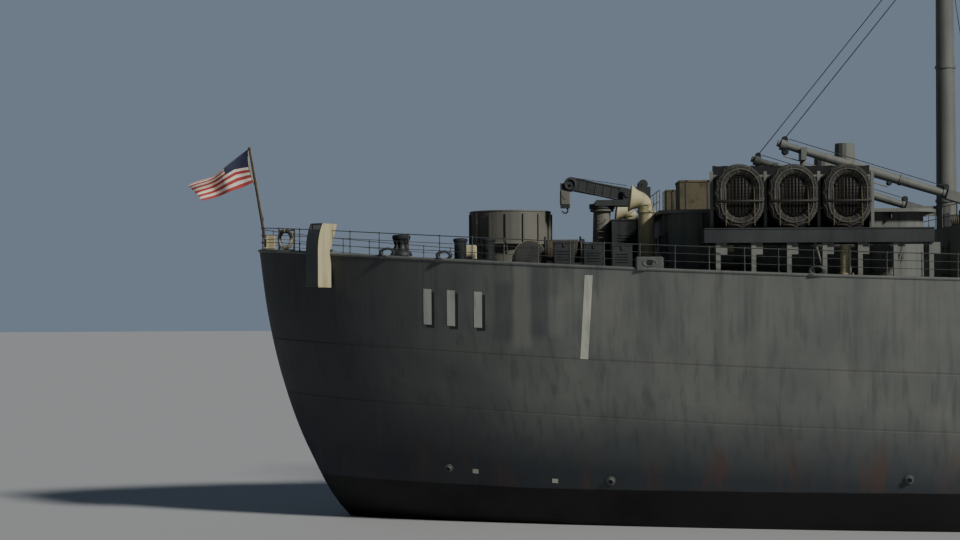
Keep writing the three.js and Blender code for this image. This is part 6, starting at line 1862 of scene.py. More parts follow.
# Deckhouses
# Two long welded tiers and a casing stand between the kingposts, with rounded corners. Portholes, doors
# and louvres line their walls. Edge bars, rails, stairs, skylights and vents stand on their decks.
PLATE_EDGE, EDGE_BAR = 11.3, 0.07
MAIN_TOP, UPPER_TOP, CASING_TOP = 13.15, 15.85, 18.3
HOUSES = {
    "main": {"x": (-52, 50), "half": 9.2, "corner": 3, "floor": 10.4, "roof": 13, "plate": (-54, 51)},
    "upper": {"x": (-47, 46), "half": 8.0, "corner": 2.5, "floor": 13.16, "roof": 15.7, "plate": (-50, 47)},
    "casing": {"x": (-41, 25), "half": 4.6, "corner": 1.5, "floor": 15.86, "roof": CASING_TOP, "plate": None},
}
LIGHT_PITCH, DOOR_PITCH, TREAD_RISE, STAIR_HALF_WIDTH = 2.35, 15.5, 0.24, 0.4


def rounded_plan(x0, x1, half, corner, z, steps=7):
    """Points round a plan with rounded corners, from the fore end to port; the last is the first again."""
    points = []
    for quarter, x, y in (
        (0, x1 - corner, half - corner), (1, x0 + corner, half - corner),
        (2, x0 + corner, corner - half), (3, x1 - corner, corner - half),
    ):
        for i in range(steps + 1):
            angle = math.pi / 2 * (quarter + i / steps)
            points.append(Vector((x + corner * math.cos(angle), y + corner * math.sin(angle), z)))
    return points + points[:1]


def house_floor(house, x):
    """The deck that a house stands on: the main one stands on the ship's own."""
    return deck_height(x) if house is HOUSES["main"] else house["floor"]


def edge_bar(mesh, points, radius):
    """A round bar welded along an edge, through the points of its plan."""
    for start, end in zip(points, points[1:]):
        bar(mesh, start, end, radius)


def stairs(mesh, foot, head):
    """A steep stair of plate treads with two hand rails, along the ship."""
    foot, head = Vector(foot), Vector(head)
    steps = int((head.z - foot.z) / TREAD_RISE)
    for y in (-STAIR_HALF_WIDTH, STAIR_HALF_WIDTH):
        for rise, radius in ((0, 0.05), (0.9, 0.02)):
            bar(mesh, foot, head, radius, at=(0, y, rise))
        for share in (0.05, 0.5, 0.95):
            bar(mesh, (0, y, 0), (0, y, 0.9), 0.018, sides=6, at=foot.lerp(head, share))
    for i in range(steps):
        slab(mesh, foot.lerp(head, (i + 0.8) / steps), (0.12, STAIR_HALF_WIDTH, 0.015), 0.004)


for node in ("main_deckhouse", "upper_deckhouse", "bridge_house"):
    dress(node, house_paint, deck_grey, choose=faces_up)
for name, house in HOUSES.items():
    walls, decks = bmesh.new(), bmesh.new()
    (x0, x1), half, corner, roof = house["x"], house["half"], house["corner"], house["roof"]
    light_z = roof - 0.95
    doors = [x0 + 8 + DOOR_PITCH * i for i in range(int((x1 - x0 - 12) / DOOR_PITCH) + 1)]
    lights = [x0 + corner + 1 + LIGHT_PITCH * i for i in range(int((x1 - x0 - 2 * corner - 1) / LIGHT_PITCH))]
    for side, facing in SIDES:
        wall = side * half
        repeat(walls, part_of(door), [on_wall(x, wall, house_floor(house, x), facing) for x in doors])
        clear = [x for x in lights if min(abs(x - other) for other in doors) > 1.1]
        vents = clear[3::5]
        repeat(walls, part_of(louvre), [on_wall(x, wall, light_z, facing) for x in vents])
        repeat(walls, part_of(porthole), [on_wall(x, wall, light_z, facing) for x in clear if x not in vents])
        for out, drop, radius in ((0.06, 0.3, 0.045), (0.04, 0.45, 0.025)):
            bar(
                walls, (x0 + corner, 0, 0), (x1 - corner, 0, 0), radius,
                at=(0, wall + side * out, roof - drop)
            )
        buoys = [Vector((x + 1.3, wall + side * 0.09, roof - 1.5)) for x in doors]
        repeat(walls, ring(0.33, 0.06, 28, 10, 3), buoys)
        for x in doors:
            block(walls, (2.0, -0.16, -1.9), (2.6, 0.16, -1.2), 0.04, material=4, at=(x, wall, roof))
    for end, facing in ((x0, "stern"), (x1, "bow")):
        ends = [-half + corner + 0.4 + i * (2 * half - 2 * corner - 0.8) / 3 for i in range(4)]
        repeat(walls, part_of(door), [on_wall(end, ends[i], house_floor(house, end), facing) for i in (0, 3)])
        repeat(walls, part_of(porthole), [on_wall(end, ends[i], light_z, facing) for i in (1, 2)])
    finish(
        "fittings_on_walls_" + name, walls, house_paint, steel, glass, buoy_white, dark_paint,
        slot="house_paint"
    )
    plate = house["plate"] or (x0, x1)
    out = PLATE_EDGE if house["plate"] else half
    top = roof + 0.15 if house["plate"] else roof
    edge_bar(decks, rounded_plan(plate[0], plate[1], out, corner, top - 0.06), EDGE_BAR)
    line = rounded_plan(plate[0] + 0.15, plate[1] - 0.15, out - 0.15, corner, top)
    if name == "upper":
        for side in (-1, 1):
            rail_run(decks, [(-15.4, side * 11.15, top), line[8 if side > 0 else 23]])
            rail_run(decks, [line[7 if side > 0 else 24], (23.6, side * 11.15, top)])
        rail_run(decks, line[8:24], pitch=1.2)
        rail_run(decks, line[24:32] + line[0:8], pitch=1.2)
    else:
        rail_run(decks, line, pitch=1.6)
    finish("edges_and_rails_" + name, decks, rail_grey, slot="house_paint")

tops = bmesh.new()
for z, places in (
    (CASING_TOP, ((-38.5, 3.2), (-28, 3), (-11, 3.1), (3, 3.1), (19, 3.2))),
    (UPPER_TOP, ((-44, 6.5), (-30, 6.6), (29, 9.4))),
    (MAIN_TOP, ((-50.5, 8.5), (49, 7))),
):
    for x, y in places:
        for side in (-1, 1):
            mushroom(tops, (x, side * y, z), 0.3, 0.55, 1.1, 0.5)
for x0, x1 in ((-15, -5.5), (0.5, 5.5)):
    block(tops, (x0, -1.5, 18.25), (x1, 1.5, 19.0), 0.05)
    for side in (-1, 1):
        lid = Matrix.Rotation(side * -0.42, 3, "X")
        for i in range(int((x1 - x0) / 1.2)):
            at = Vector((x0 + 0.75 + 1.2 * i, side * 0.78, 19.28))
            slab(tops, at, (0.52, 0.82, 0.04), 0.03, lid)
            bar(tops, (0, 0, 0.02), (0, side * 0.03, 0.075), 0.2, sides=20, material=2, at=at)
for side in (-1, 1):
    for y, foot_x, foot_z, head_x, head_z in (
        (6, -56.4, deck_height(-56.4), -54.1, MAIN_TOP), (6, 53.3, deck_height(53.3), 51.1, MAIN_TOP),
        (9.4, -52.4, MAIN_TOP, -50.1, UPPER_TOP), (3, -44.2, UPPER_TOP, -41.3, CASING_TOP),
    ):
        stairs(tops, (foot_x, side * y, foot_z), (head_x, side * y, head_z))
    for x, y, z in ((-32, 5.9, UPPER_TOP), (-26, 5.9, UPPER_TOP), (26.5, 9.4, UPPER_TOP), (-51, 3, MAIN_TOP)):
        block(tops, (-0.8, -0.4, 0), (0.8, 0.4, 0.75), 0.05, at=(x, side * y, z))
        block(tops, (-0.85, -0.45, 0.72), (0.85, 0.45, 0.82), 0.02, at=(x, side * y, z))
finish("deckhouse_top_fittings", tops, house_paint, steel, glass, slot="house_paint")

# Lifeboats and davits
# Clinker-built painted boats lie three a side on the cradle arms of gravity davits, under laced canvas
# covers. The arms, blocks and falls slide down the trackways with their boat.
BOAT_LENGTH, BOAT_HALF_BEAM, BOAT_DEPTH, COVER_RISE, PLANKS = 8.8, 1.35, 1.35, 0.42, 9
BOAT_PLACES, ARM_OFFSET, ARM_LIFT = (18, 4, -10), 2.9, 0.2565
TRACK_HIGH, TRACK_LOW = Vector((0, 6.9, 18.75)), Vector((0, 11.0, 16.6))


def track_point(x, side, share, lift=0.0):
    """A point over a trackway, some share of the way down it."""
    at = TRACK_HIGH.lerp(TRACK_LOW, share)
    return Vector((x, side * at.y, at.z + lift))


def boat_station(u):
    """Where a station of the boat lies along it, its half breadth, and its keel's and gunwale's heights."""
    s = -math.cos(math.pi * u)
    breadth = BOAT_HALF_BEAM * max(1 - s * s, 0) ** 0.62
    return s * BOAT_LENGTH / 2, breadth, 0.75 * s**6, BOAT_DEPTH + 0.3 * s * s


def boat_shell(u, v, proud=0.0):
    """A point of the shell, from the port gunwale (v = 0) under the keel to the other, with lapped planks."""
    x, breadth, keel, gunwale = boat_station(u)
    up = abs(2 * v - 1)
    side = 1 if v < 0.5 else -1
    lap = 0.022 * (1 - (PLANKS * up) % 1) if 0.02 < up < 0.99 else 0
    full = breadth * (1 - (1 - up) ** 2.8) + (lap + proud) * min(1, 4 * breadth)
    return Vector((x, side * full, keel + (gunwale - keel) * up**1.6))


def boat_cover(u, v):
    """A point of the cover: taut over a ridge, tucked under the gunwale and scalloped along its hem."""
    x, breadth, keel, gunwale = boat_station(u)
    across = 2 * v - 1
    lean = min(abs(across) / 0.82, 1)
    skirt = max(abs(across) - 0.82, 0) / 0.18
    hem = 0.2 + 0.07 * abs(math.sin(math.pi * 12 * u))
    wrinkle = 0.012 * noise.noise(Vector((7 * u, 9 * v, 3)))
    wrinkle += 0.02 * math.sin(math.pi * lean) * math.cos(math.pi * 8 * u)
    side = math.copysign(1, across)
    out = breadth * lean * 1.03 + 0.045 * lean + 0.01 * skirt
    z = gunwale + 0.03 + (COVER_RISE - 0.05) * (1 - lean**1.7) + wrinkle - hem * skirt
    return Vector((x * 1.01, side * out, z))


boat_paint = sea_paint("painted_larch_planking", "#8d9088", "#a1a39a", "#5e625d")[0]
for side, name in SIDES:
    dress("davit_trackways_" + name, house_paint)
    slope = Matrix.Rotation(
        -side * math.atan2(TRACK_HIGH.z - TRACK_LOW.z, TRACK_LOW.y - TRACK_HIGH.y), 3, "X"
    )
    tracks = bmesh.new()
    for i, place_x in enumerate(BOAT_PLACES, 1):
        boat = bmesh.new()
        middle = track_point(place_x, side, 0.5, ARM_LIFT) + Vector((0, 0, 0.45))
        shell = bmesh.new()
        sealed_skin(shell, 48, 6 * PLANKS, boat_shell)
        for v in (0.0, 1.0):
            def lacing(share):
                drop = 0.08 + 0.03 * abs(math.sin(12 * math.pi * share))
                return boat_shell(0.04 + 0.92 * share, abs(v - drop), 0.05)
            pipe(shell, lambda share: boat_shell(0.01 + 0.98 * share, v, 0.02), 48, 0.045, 8, 1)
            pipe(shell, lacing, 96, 0.014, 6, 2)
        pipe(shell, lambda share: boat_shell(share, 0.5) - Vector((0, 0, 0.02)), 48, 0.05, 8, 1)
        repeat(boat, shell, [middle])
        for dx in (-ARM_OFFSET, ARM_OFFSET):
            x = place_x + dx
            low, high, mid = (track_point(x, side, share, ARM_LIFT) for share in (0.86, 0.12, 0.5))
            half = (high - low).length / 2
            for rise in (-0.06, 0.06):
                at = (low + high) / 2 + Vector((0, 0, rise))
                slab(boat, at, (0.1, half, 0.03), 0.006, slope, material=3)
            slab(boat, (low + high) / 2, (0.03, half, 0.06), 0, slope, material=3)
            block(boat, (-0.1, -0.1, 0.03), (0.1, 0.1, 1.95), 0.02, material=3, at=low)
            block(boat, (-0.1, -0.12, 0.04), (0.1, 0.12, 0.75), 0.02, material=3, at=mid)
            head = low + Vector((0, 0, 1.8))
            pin(boat, head, (0.14, 0, 0), 0.14, sides=20, material=4)
            lift_eye = middle + Vector((dx * 1.22, 0, BOAT_DEPTH + 0.42))
            for s in (-0.05, 0.05):
                bar(boat, head + Vector((0, 0, 0.1)), lift_eye, 0.014, sides=5, material=5, at=(s, 0, 0))
            pin(boat, lift_eye, (0.08, 0, 0), 0.12, sides=16, material=4)
            for share in (0.2, 0.5, 0.8):
                at = track_point(x, side, share, 0.2)
                pin(boat, at, (0.15, 0, 0), 0.07, sides=14, material=4)
            top = track_point(x, side, 0)
            bar(tracks, (-0.16, 0, -0.1), (0.16, 0, -0.1), 0.16, sides=20, material=1, at=top)
            bar(tracks, top - Vector((0, 0, 0.2)), (x, side * 6.2, 15.95), 0.03, sides=6, material=2)
            for share in (0.25, 0.5, 0.75):
                at = track_point(x, side, share, -0.14)
                slab(tracks, at, (0.15, 0.05, 0.05), 0.01)
            foot = track_point(x, side, 0.98, -0.2)
            bar(tracks, (x, side * 8.2, 15.9), (x, foot.y - side * 0.6, foot.z + 0.15), 0.06, sides=10)
        body = f"lifeboat_{name}_{i}_body"
        finish(
            f"lifeboat_{name}_{i}_built", boat, boat_paint, slat_wood, manila, house_paint, dark_paint,
            galvanised, body=body, replaced=[f"lifeboat_{name}_{i}"], slot="canvas", sharp_degrees=30,
        )
        cloth = bmesh.new()
        made = mapped_grid(cloth, 72, 28, lambda u, v: boat_cover(0.006 + 0.988 * u, v) + middle)
        area = sum(face.calc_area() for face in cloth.faces) * MODEL**2
        bmesh.ops.recalc_face_normals(cloth, faces=cloth.faces)
        bmesh.ops.solidify(cloth, geom=list(cloth.faces), thickness=0.012)
        piece = finish(
            f"lifeboat_cover_{name}_{i}", cloth, canvas, body=body, slot="canvas", sharp_degrees=60
        )
        cargo_winch(tracks, (place_x, side * 6.2, 15.86), 0)
    finish("davit_fittings_" + name, tracks, house_paint, dark_paint, galvanised, slot="house_paint")

# Funnels
# Two raked oval stacks of plate, black at the cap. Hoops stiffen them, steam pipes stand before them, a
# ladder climbs the after side, and a whistle has its own platform.
FUNNELS = {"forward": 11, "aft": -20}
FUNNEL_FOOT, FUNNEL_HALF_LENGTH, FUNNEL_HALF_WIDTH, FUNNEL_HEIGHT, FUNNEL_RAKE = 18.303, 3.5, 2.25, 9.2, -0.07
FUNNEL_BLACK = FUNNEL_FOOT + FUNNEL_HEIGHT - 0.95


def funnel_point(x, ahead, across, rise):
    """A point counted from the raked middle line of a funnel, at a height above its foot."""
    return Vector((x + ahead + FUNNEL_RAKE * rise, across, FUNNEL_FOOT + rise))


for name, x in FUNNELS.items():
    smoothed("funnel_" + name, house_paint, dark_paint, choose=lambda at, normal: int(at.z > FUNNEL_BLACK))
    stack = bmesh.new()
    for rise, grow, material in (
        (2.6, 0.02, 0), (4.6, 0.02, 0), (6.6, 0.02, 0), (8.32, 0.14, 1), (9.1, 0.14, 1)
    ):
        def hoop(share):
            angle = 2 * math.pi * share
            ahead = (FUNNEL_HALF_LENGTH + grow) * math.cos(angle)
            across = (FUNNEL_HALF_WIDTH + grow) * math.sin(angle)
            return funnel_point(x, ahead, across, rise)
        pipe(stack, hoop, 64, 0.055, 8, material)
    ladder(stack, funnel_point(x, -3.75, 0, 0.05), funnel_point(x, -3.75, 0, 9.1))
    for across in (-0.62, 0, 0.62):
        foot, head = funnel_point(x, 3.68, across, 0), funnel_point(x, 3.68, across, 9.5)
        bar(stack, foot, head, 0.15, sides=20)
        bar(stack, head, head + Vector((0.02, 0, 0.35)), 0.17, 0.22, 20, 1)
        for rise in (2.6, 4.6, 6.6):
            at = funnel_point(x, 3.55, across, rise)
            block(stack, (-0.25, -0.2, -0.04), (0.22, 0.2, 0.04), 0.01, at=at)
    perch = funnel_point(x, 4.35, 0, 5.7)
    slab(stack, perch, (0.5, 0.9, 0.04), 0.01)
    corners = ((-0.45, 0.85, 0), (0.45, 0.85, 0), (0.45, -0.85, 0), (-0.45, -0.85, 0))
    rail_run(stack, [perch + Vector(corner) for corner in corners])
    bar(stack, perch, perch + Vector((0, 0, 0.5)), 0.07, sides=12)
    bar(stack, (0, 0, 0.45), (0, 0, 1.0), 0.1, 0.15, 16, 2, at=perch)
    for ahead in (-1.6, 0, 1.6):
        bar(stack, funnel_point(x, ahead, 0, 7.9), funnel_point(x, ahead, 0, 9.5), 0.55, sides=28, material=1)
    finish("funnel_fittings_" + name, stack, house_paint, dark_paint, steel, slot="dark_paint")

# Bridge
# A plated house with rounded corners carries the wheelhouse, its windows and its open wings behind plate
# screens. Compasses, signalling lamps and flag lockers stand on the wings and the roof.
WING_AFT, WING_FORE, WING_HALF, WING_CORNER, WING_DECK, WING_TOP = 35, 45, 11.4, 1.2, 18.6, 19.75
WHEEL_AFT, WHEEL_FORE, WHEEL_HALF, WHEEL_ROOF, WINDOW_Z = 33, 42.4, 5.8, 21.36, 20.05
BRIDGE_HALF, BRIDGE_DECK = 7.6, 18.45
COMPASS_PROFILE = [
    (0, 0), (0.24, 0), (0.2, 0.1), (0.14, 0.2), (0.13, 0.85),
    (0.21, 0.95), (0.21, 1.12), (0.14, 1.26), (0, 1.32),
]


def window(mesh):
    """A square window with a wiper and a drip bar. Materials: 0 paint, 1 steel, 2 glass."""
    block(mesh, (-0.45, -0.04, -0.42), (0.45, 0.02, 0.42), 0.03)
    block(mesh, (-0.37, -0.055, -0.34), (0.37, -0.03, 0.34), 0.02, material=2)
    block(mesh, (-0.5, -0.12, 0.42), (0.5, 0.02, 0.45), 0.01)
    bar(mesh, (0, -0.07, 0.34), (0.2, -0.07, -0.2), 0.012, sides=6, material=1)


def lamp(mesh):
    """A signalling lamp on a fork: drum, rim, dark glass and stand. Materials: 0 paint, 1 steel, 2 glass."""
    bar(mesh, (0, 0, 0), (0, 0, 0.9), 0.06, sides=14)
    bar(mesh, (0, 0, -0.02), (0, 0, 0.05), 0.18, sides=20)
    for y in (-0.3, 0.3):
        bar(mesh, (0, y, 0.85), (0, y, 1.3), 0.03, sides=8)
    bar(mesh, (0, -0.32, 0.88), (0, 0.32, 0.88), 0.035, sides=8)
    bar(mesh, (-0.26, 0, 1.22), (0.2, 0, 1.22), 0.22, 0.27, 26)
    bar(mesh, (0.2, 0, 1.22), (0.26, 0, 1.22), 0.29, sides=26)
    bar(mesh, (0.25, 0, 1.22), (0.275, 0, 1.22), 0.24, sides=26, material=2)


def compass(mesh):
    """A compass on its pedestal, with a hood and two spheres. Materials: 0 paint, 1 steel."""
    repeat(mesh, turned(COMPASS_PROFILE), [Matrix()])
    for y in (-0.34, 0.34):
        ball_at = Matrix.Translation((0, y, 0.95))
        bmesh.ops.create_uvsphere(mesh, u_segments=14, v_segments=8, radius=0.1, matrix=ball_at)
    bar(mesh, (0, -0.34, 0.95), (0, 0.34, 0.95), 0.025, sides=8, material=1)


bridge = bmesh.new()
panes = [on_wall(WHEEL_FORE, -4.2 + 1.05 * i, WINDOW_Z, "bow") for i in range(9)]
panes += [on_wall(WHEEL_AFT, y, WINDOW_Z, "stern") for y in (-3.9, 0, 3.9)]
for side, facing in SIDES:
    panes += [on_wall(34.9 + 1.2 * i, side * WHEEL_HALF, WINDOW_Z, facing) for i in range(5)]
    repeat(bridge, part_of(door), [
        on_wall(27.6, side * BRIDGE_HALF, UPPER_TOP + 0.01, facing),
        on_wall(41.2, side * WHEEL_HALF, WING_DECK, facing),
        on_wall(WHEEL_AFT, side * 2, WING_DECK - 0.15, "stern"),
    ])
    repeat(
        bridge, part_of(porthole),
        [on_wall(29.8 + 2.2 * i, side * BRIDGE_HALF, 17.4, facing) for i in range(6)]
    )
    repeat(bridge, part_of(louvre), [on_wall(28.9, side * BRIDGE_HALF, 17.6, facing)])
    stairs(bridge, (23.2, side * 6.2, UPPER_TOP), (25.95, side * 6.2, BRIDGE_DECK))
    stairs(bridge, (29.7, side * 3.4, BRIDGE_DECK), (32.55, side * 3.4, WHEEL_ROOF))
    repeat(
        bridge, part_of(lamp),
        [Vector((40.5, side * 10.2, WING_DECK)), Vector((40.9, side * 4.6, WHEEL_ROOF))]
    )
    repeat(bridge, part_of(compass), [Vector((43.4, side * 9, WING_DECK))])
    block(bridge, (36.2, -1, 0), (36.9, 1, 1.2), 0.03, at=(0, side * 8.6, WING_DECK))
    for i in range(6):
        for level in (0.35, 0.75):
            pigeonhole = (36.2, side * 8.6 - 0.82 + 0.33 * i, WING_DECK + level)
            slab(bridge, pigeonhole, (0.05, 0.12, 0.13), 0.01, material=3)
    rail_run(bridge, [(x, side * y, BRIDGE_DECK) for x, y in ((34.9, 7.4), (26.2, 7.4), (26.2, 0.1))])
    light_box = Vector((44.3, side * 11.42, 19.2))
    block(bridge, (-0.5, -0.05, -0.3), (0.5, 0.12 * (side > 0) + 0.05, 0.3), 0.02, material=3, at=light_box)
repeat(bridge, part_of(porthole), [on_wall(44, -5.4 + 1.8 * i, 17.4, "bow") for i in range(7)])
repeat(bridge, part_of(window), panes)
repeat(bridge, part_of(compass), [Vector((41.6, 0, WHEEL_ROOF))])
top_line = rounded_plan(WING_AFT + 0.08, WING_FORE - 0.08, WING_HALF - 0.08, WING_CORNER, WING_TOP)
edge_bar(bridge, top_line[0:16] + [Vector((WING_AFT + 0.08, 7.6, WING_TOP))], 0.08)
edge_bar(bridge, [Vector((WING_AFT + 0.08, -7.6, WING_TOP))] + top_line[16:], 0.08)
for i in range(17):
    y = -10 + 1.25 * i
    bar(bridge, (44.75, y, WING_DECK), (44.85, y, WING_TOP), 0.035, sides=6)
edge_bar(bridge, rounded_plan(WHEEL_AFT - 0.4, WHEEL_FORE + 0.4, 6.2, 1.6, WHEEL_ROOF - 0.08), 0.08)
rail_run(bridge, rounded_plan(WHEEL_AFT - 0.25, WHEEL_FORE + 0.25, 6.05, 1.6, WHEEL_ROOF), pitch=1.4)
finish("bridge_fittings", bridge, house_paint, steel, glass, dark_paint, slot="house_paint")

# Masts, radar and rigging
# Tapered tube masts on tripod legs carry steel yards, a lookout's nest and a radar shelf. Stays, aerials
# with their insulators and signal halyards are galvanised wire.
FOREMAST_X, MAINMAST_X, RADAR_FOOT, NEST_FLOOR = 37.5, -36.0, 40.006, 31.4
REFLECTOR_X, REFLECTOR_RADIUS = FOREMAST_X - 2.2, 2.89
smoothed("foremast", house_paint)
smoothed("mainmast", house_paint, dark_paint, choose=lambda at, normal: int(at.z > 27.6))
rig = bmesh.new()
for foot, head in (
    ((36.9, 21.4), (37.12, 31.3)), ((36.95, 32.7), (37.2, 38.1)), ((-36.6, 18.35), (-36.35, 35))
):
    ladder(rig, (foot[0], 0, foot[1]), (head[0], 0, head[1]))
for radius, tube, rise in ((1.28, 0.05, 1.2), (1.16, 0.06, 0.02)):
    repeat(rig, ring(radius, tube, 40, 8), [placed((FOREMAST_X, 0, NEST_FLOOR + rise), math.pi / 2, "X")])
for i in range(8):
    angle = math.pi * (i + 0.5) / 4
    arm = Vector((math.cos(angle), math.sin(angle), 0))
    bar(
        rig, Vector((FOREMAST_X, 0, 30.2)) + 0.3 * arm, Vector((FOREMAST_X, 0, NEST_FLOOR)) + 1.1 * arm, 0.04,
        sides=8
    )
for x, yards in ((FOREMAST_X, ((33.4, 6.2), (36.6, 4.2))), (MAINMAST_X, ((30.5, 4.4),))):
    for z, half in yards:
        for share in (0.45, 0.72, 0.96):
            for side in (-1, 1):
                at = Vector((x, side * share * half, z))
                pin(rig, at, (0, 0.04, 0), 0.19, sides=18)
                bar(rig, (0, 0, -0.16), (0, 0, -0.42), 0.06, sides=10, material=1, at=at)
        for side in (-1, 1):
            tip = Vector((x, side * 0.97 * half, z))
            bar(rig, tip, tip + Vector((0, 0, 1.1)), 0.03, 0.015, 8)
            bar(rig, tip, (x, 0, z + 1.6), 0.02, sides=6, material=1)
for x, z in ((38.05, 35.2), (38.0, 30.0), (-35.5, 29.2)):
    block(rig, (x - 0.1, -0.25, z - 0.3), (x + 0.3, 0.25, z - 0.22), 0.01)
    bar(rig, (x + 0.1, 0, z - 0.22), (x + 0.1, 0, z + 0.12), 0.11, sides=18, material=2)
    bar(rig, (x + 0.1, 0, z + 0.12), (x + 0.1, 0, z + 0.18), 0.14, sides=18)
for x in (37.0, 38.8):
    for side in (-1, 1):
        bar(rig, (x, side * 0.65, 38.35), (x, side * 0.65, 39.2), 0.025, sides=8)
finish("mast_fittings", rig, house_paint, dark_paint, glass, slot="house_paint")

wires = bmesh.new()
STAYS = [((37.6, 0, 36), (59.9, 0, 27.3)), ((-36.1, 0, 34.6), (-60.9, 0, 29.8))]
for side in (-1, 1):
    STAYS += [((37.3, side * 0.2, 31), (x, side * 7.45, 18.5)) for x in (26.4, 29.4)]
    STAYS += [
        ((-36.2, side * 0.2, 27.4), (-46.4, side * 7.8, 15.9)),
        ((-36, side * 0.2, 27.4), (-36, side * 7.9, 15.9))
    ]
    STAYS += [((60, side * 5.2, 26.4), (x, side * 9.2, deck_height(x) + 0.1)) for x in (53.4, 57.4)]
    STAYS += [((-61, side * 4.6, 28.9), (x, side * 8.6, deck_height(x) + 0.1)) for x in (-57.4, -60.6)]
    for share in (0.45, 0.72, 0.96):
        STAYS += [((37.4, side * share * 6.2, 33.0), (34.4, side * (1.5 + share * 4.2), 22.3))]
for start, end in STAYS:
    start, end = Vector(start), Vector(end)
    bar(wires, start, end, 0.02, sides=6)
    low = end + (start - end).normalized() * 0.9
    bar(wires, end, low, 0.045, sides=8)
for y in (-3.6, -1.8, 1.8, 3.6):
    start, end = Vector((FOREMAST_X, y, 36.6)), Vector((MAINMAST_X, y, 30.5))
    pipe(
        wires, lambda share: start.lerp(end, share) - Vector((0, 0, 2.6 * share * (1 - share))), 60, 0.016, 5
    )
    for share in (0.02, 0.98):
        for i in range(3):
            at = start.lerp(end, share + 0.004 * i) - Vector((0, 0, 0.05))
            pin(wires, at, (0.09, 0, 0), 0.06, sides=12, material=1)
finish("stays_and_aerials", wires, galvanised, shadow_black, slot="dark_paint")

smoothed("radar_antenna", dark_paint, body="radar_antenna_body", slot="dark_paint")
scanner = bmesh.new()
for z in (0.38, 0.62, 0.86, 1.1, 1.32):
    def reflector_bar(share):
        angle = 1.3 * share - 0.65
        y = REFLECTOR_RADIUS * math.sin(angle)
        return Vector((REFLECTOR_X + REFLECTOR_RADIUS * math.cos(angle), y, RADAR_FOOT + z))
    pipe(scanner, reflector_bar, 24, 0.03, 6)
for i in range(9):
    angle = -0.6 + 0.15 * i
    at = (REFLECTOR_X + 2.88 * math.cos(angle), 2.88 * math.sin(angle), RADAR_FOOT + 0.36)
    bar(scanner, (0, 0, 0), (0, 0, 0.98), 0.025, sides=6, at=at)
bar(scanner, (0, 0, 0.45), (-0.95, 0, 0.8), 0.04, sides=10, at=(FOREMAST_X, 0, RADAR_FOOT))
block(scanner, (-1.1, -0.16, 0.7), (-0.85, 0.16, 0.98), 0.03, at=(FOREMAST_X, 0, RADAR_FOOT))
finish("radar_fittings", scanner, dark_paint, body="radar_antenna_body", slot="dark_paint")

# Windlass, anchors and bow fittings
# A cast steel windlass leads two stud-link chains over stoppers to the deck pipes. Stays carry the bow
# bulwark inside, under its round cap rail, and a jackstaff steps at the stem.
WINDLASS_X, AXLE_RISE, CHAIN_PITCH = 82.4, 0.95, 0.27
BULWARK_START, BULWARK_END, BULWARK_HEIGHT, BULWARK_INSET, BULWARK_INNER = 74.0, 94.8, 1.15, 0.03, 0.17
ANCHOR_X, ANCHOR_Z, ANCHOR_STANDS_OFF = 85.6, 8.4, 0.16
ANCHOR_HEEL, ANCHOR_YAW = math.radians(18), math.radians(14)
FLUKE = ((0.3, -1.2), (0.78, -1.25), (0.95, 0.15), (0.5, -0.5))
smoothed("anchor_windlass", dark_paint, slot="dark_paint")


def anchor_place(side):
    """Where a stowed anchor hangs: against the flare of the bow, with its shank towards the pipe."""
    out = half_breadth(ANCHOR_X, ANCHOR_Z / deck_height(ANCHOR_X)) + ANCHOR_STANDS_OFF
    turn = Matrix.Rotation(-side * ANCHOR_YAW, 4, "Z") @ Matrix.Rotation(-side * ANCHOR_HEEL, 4, "X")
    return Matrix.Translation((ANCHOR_X, side * out, ANCHOR_Z)) @ turn


for side, name in SIDES:
    anchor = bmesh.new()
    block(anchor, (-0.75, -0.3, -1.3), (0.75, 0.3, -0.8), 0.13)
    block(anchor, (-0.16, -0.22, -1.1), (0.16, 0.2, 0.9), 0.06)
    bar(anchor, (-0.3, 0, -0.98), (0.3, 0, -0.98), 0.36, sides=24)
    bar(anchor, (-0.26, 0, 0.72), (0.26, 0, 0.72), 0.09, sides=14)
    for s in (-1, 1):
        bar(anchor, (s * 0.23, 0, 0.72), (s * 0.12, 0, 1.12), 0.06, sides=10)
        fluke = bmesh.new()
        face = fluke.faces.new([fluke.verts.new((s * x, -0.2, z)) for x, z in FLUKE])
        thickened(fluke, [face], (0, 0.45, 0))
        bmesh.ops.recalc_face_normals(fluke, faces=fluke.faces)
        bmesh.ops.bevel(
            fluke, geom=fluke.edges[:], offset=0.05, segments=2, profile=0.5, affect="EDGES", material=-1
        )
        repeat(anchor, fluke, [Matrix()])
    bar(anchor, (-0.13, 0, 1.12), (0.13, 0, 1.12), 0.06, sides=10)
    for i in range(2):
        link = placed((0, 0.04, 1.2 + 0.24 * i), math.pi / 2 * i)
        repeat(anchor, ring(0.11, 0.045, 16, 8), [link @ Matrix.Diagonal((1, 1, 1.5, 1))])
    stowed = bmesh.new()
    repeat(stowed, anchor, [anchor_place(side)])
    finish("stowed_anchor_" + name, stowed, dark_paint, replaced=["anchor_" + name], slot="dark_paint")


def heading_of(way):
    """The turn that brings a part drawn along X to lie along a way, upright."""
    return way.to_track_quat("X", "Z").to_matrix().to_4x4()


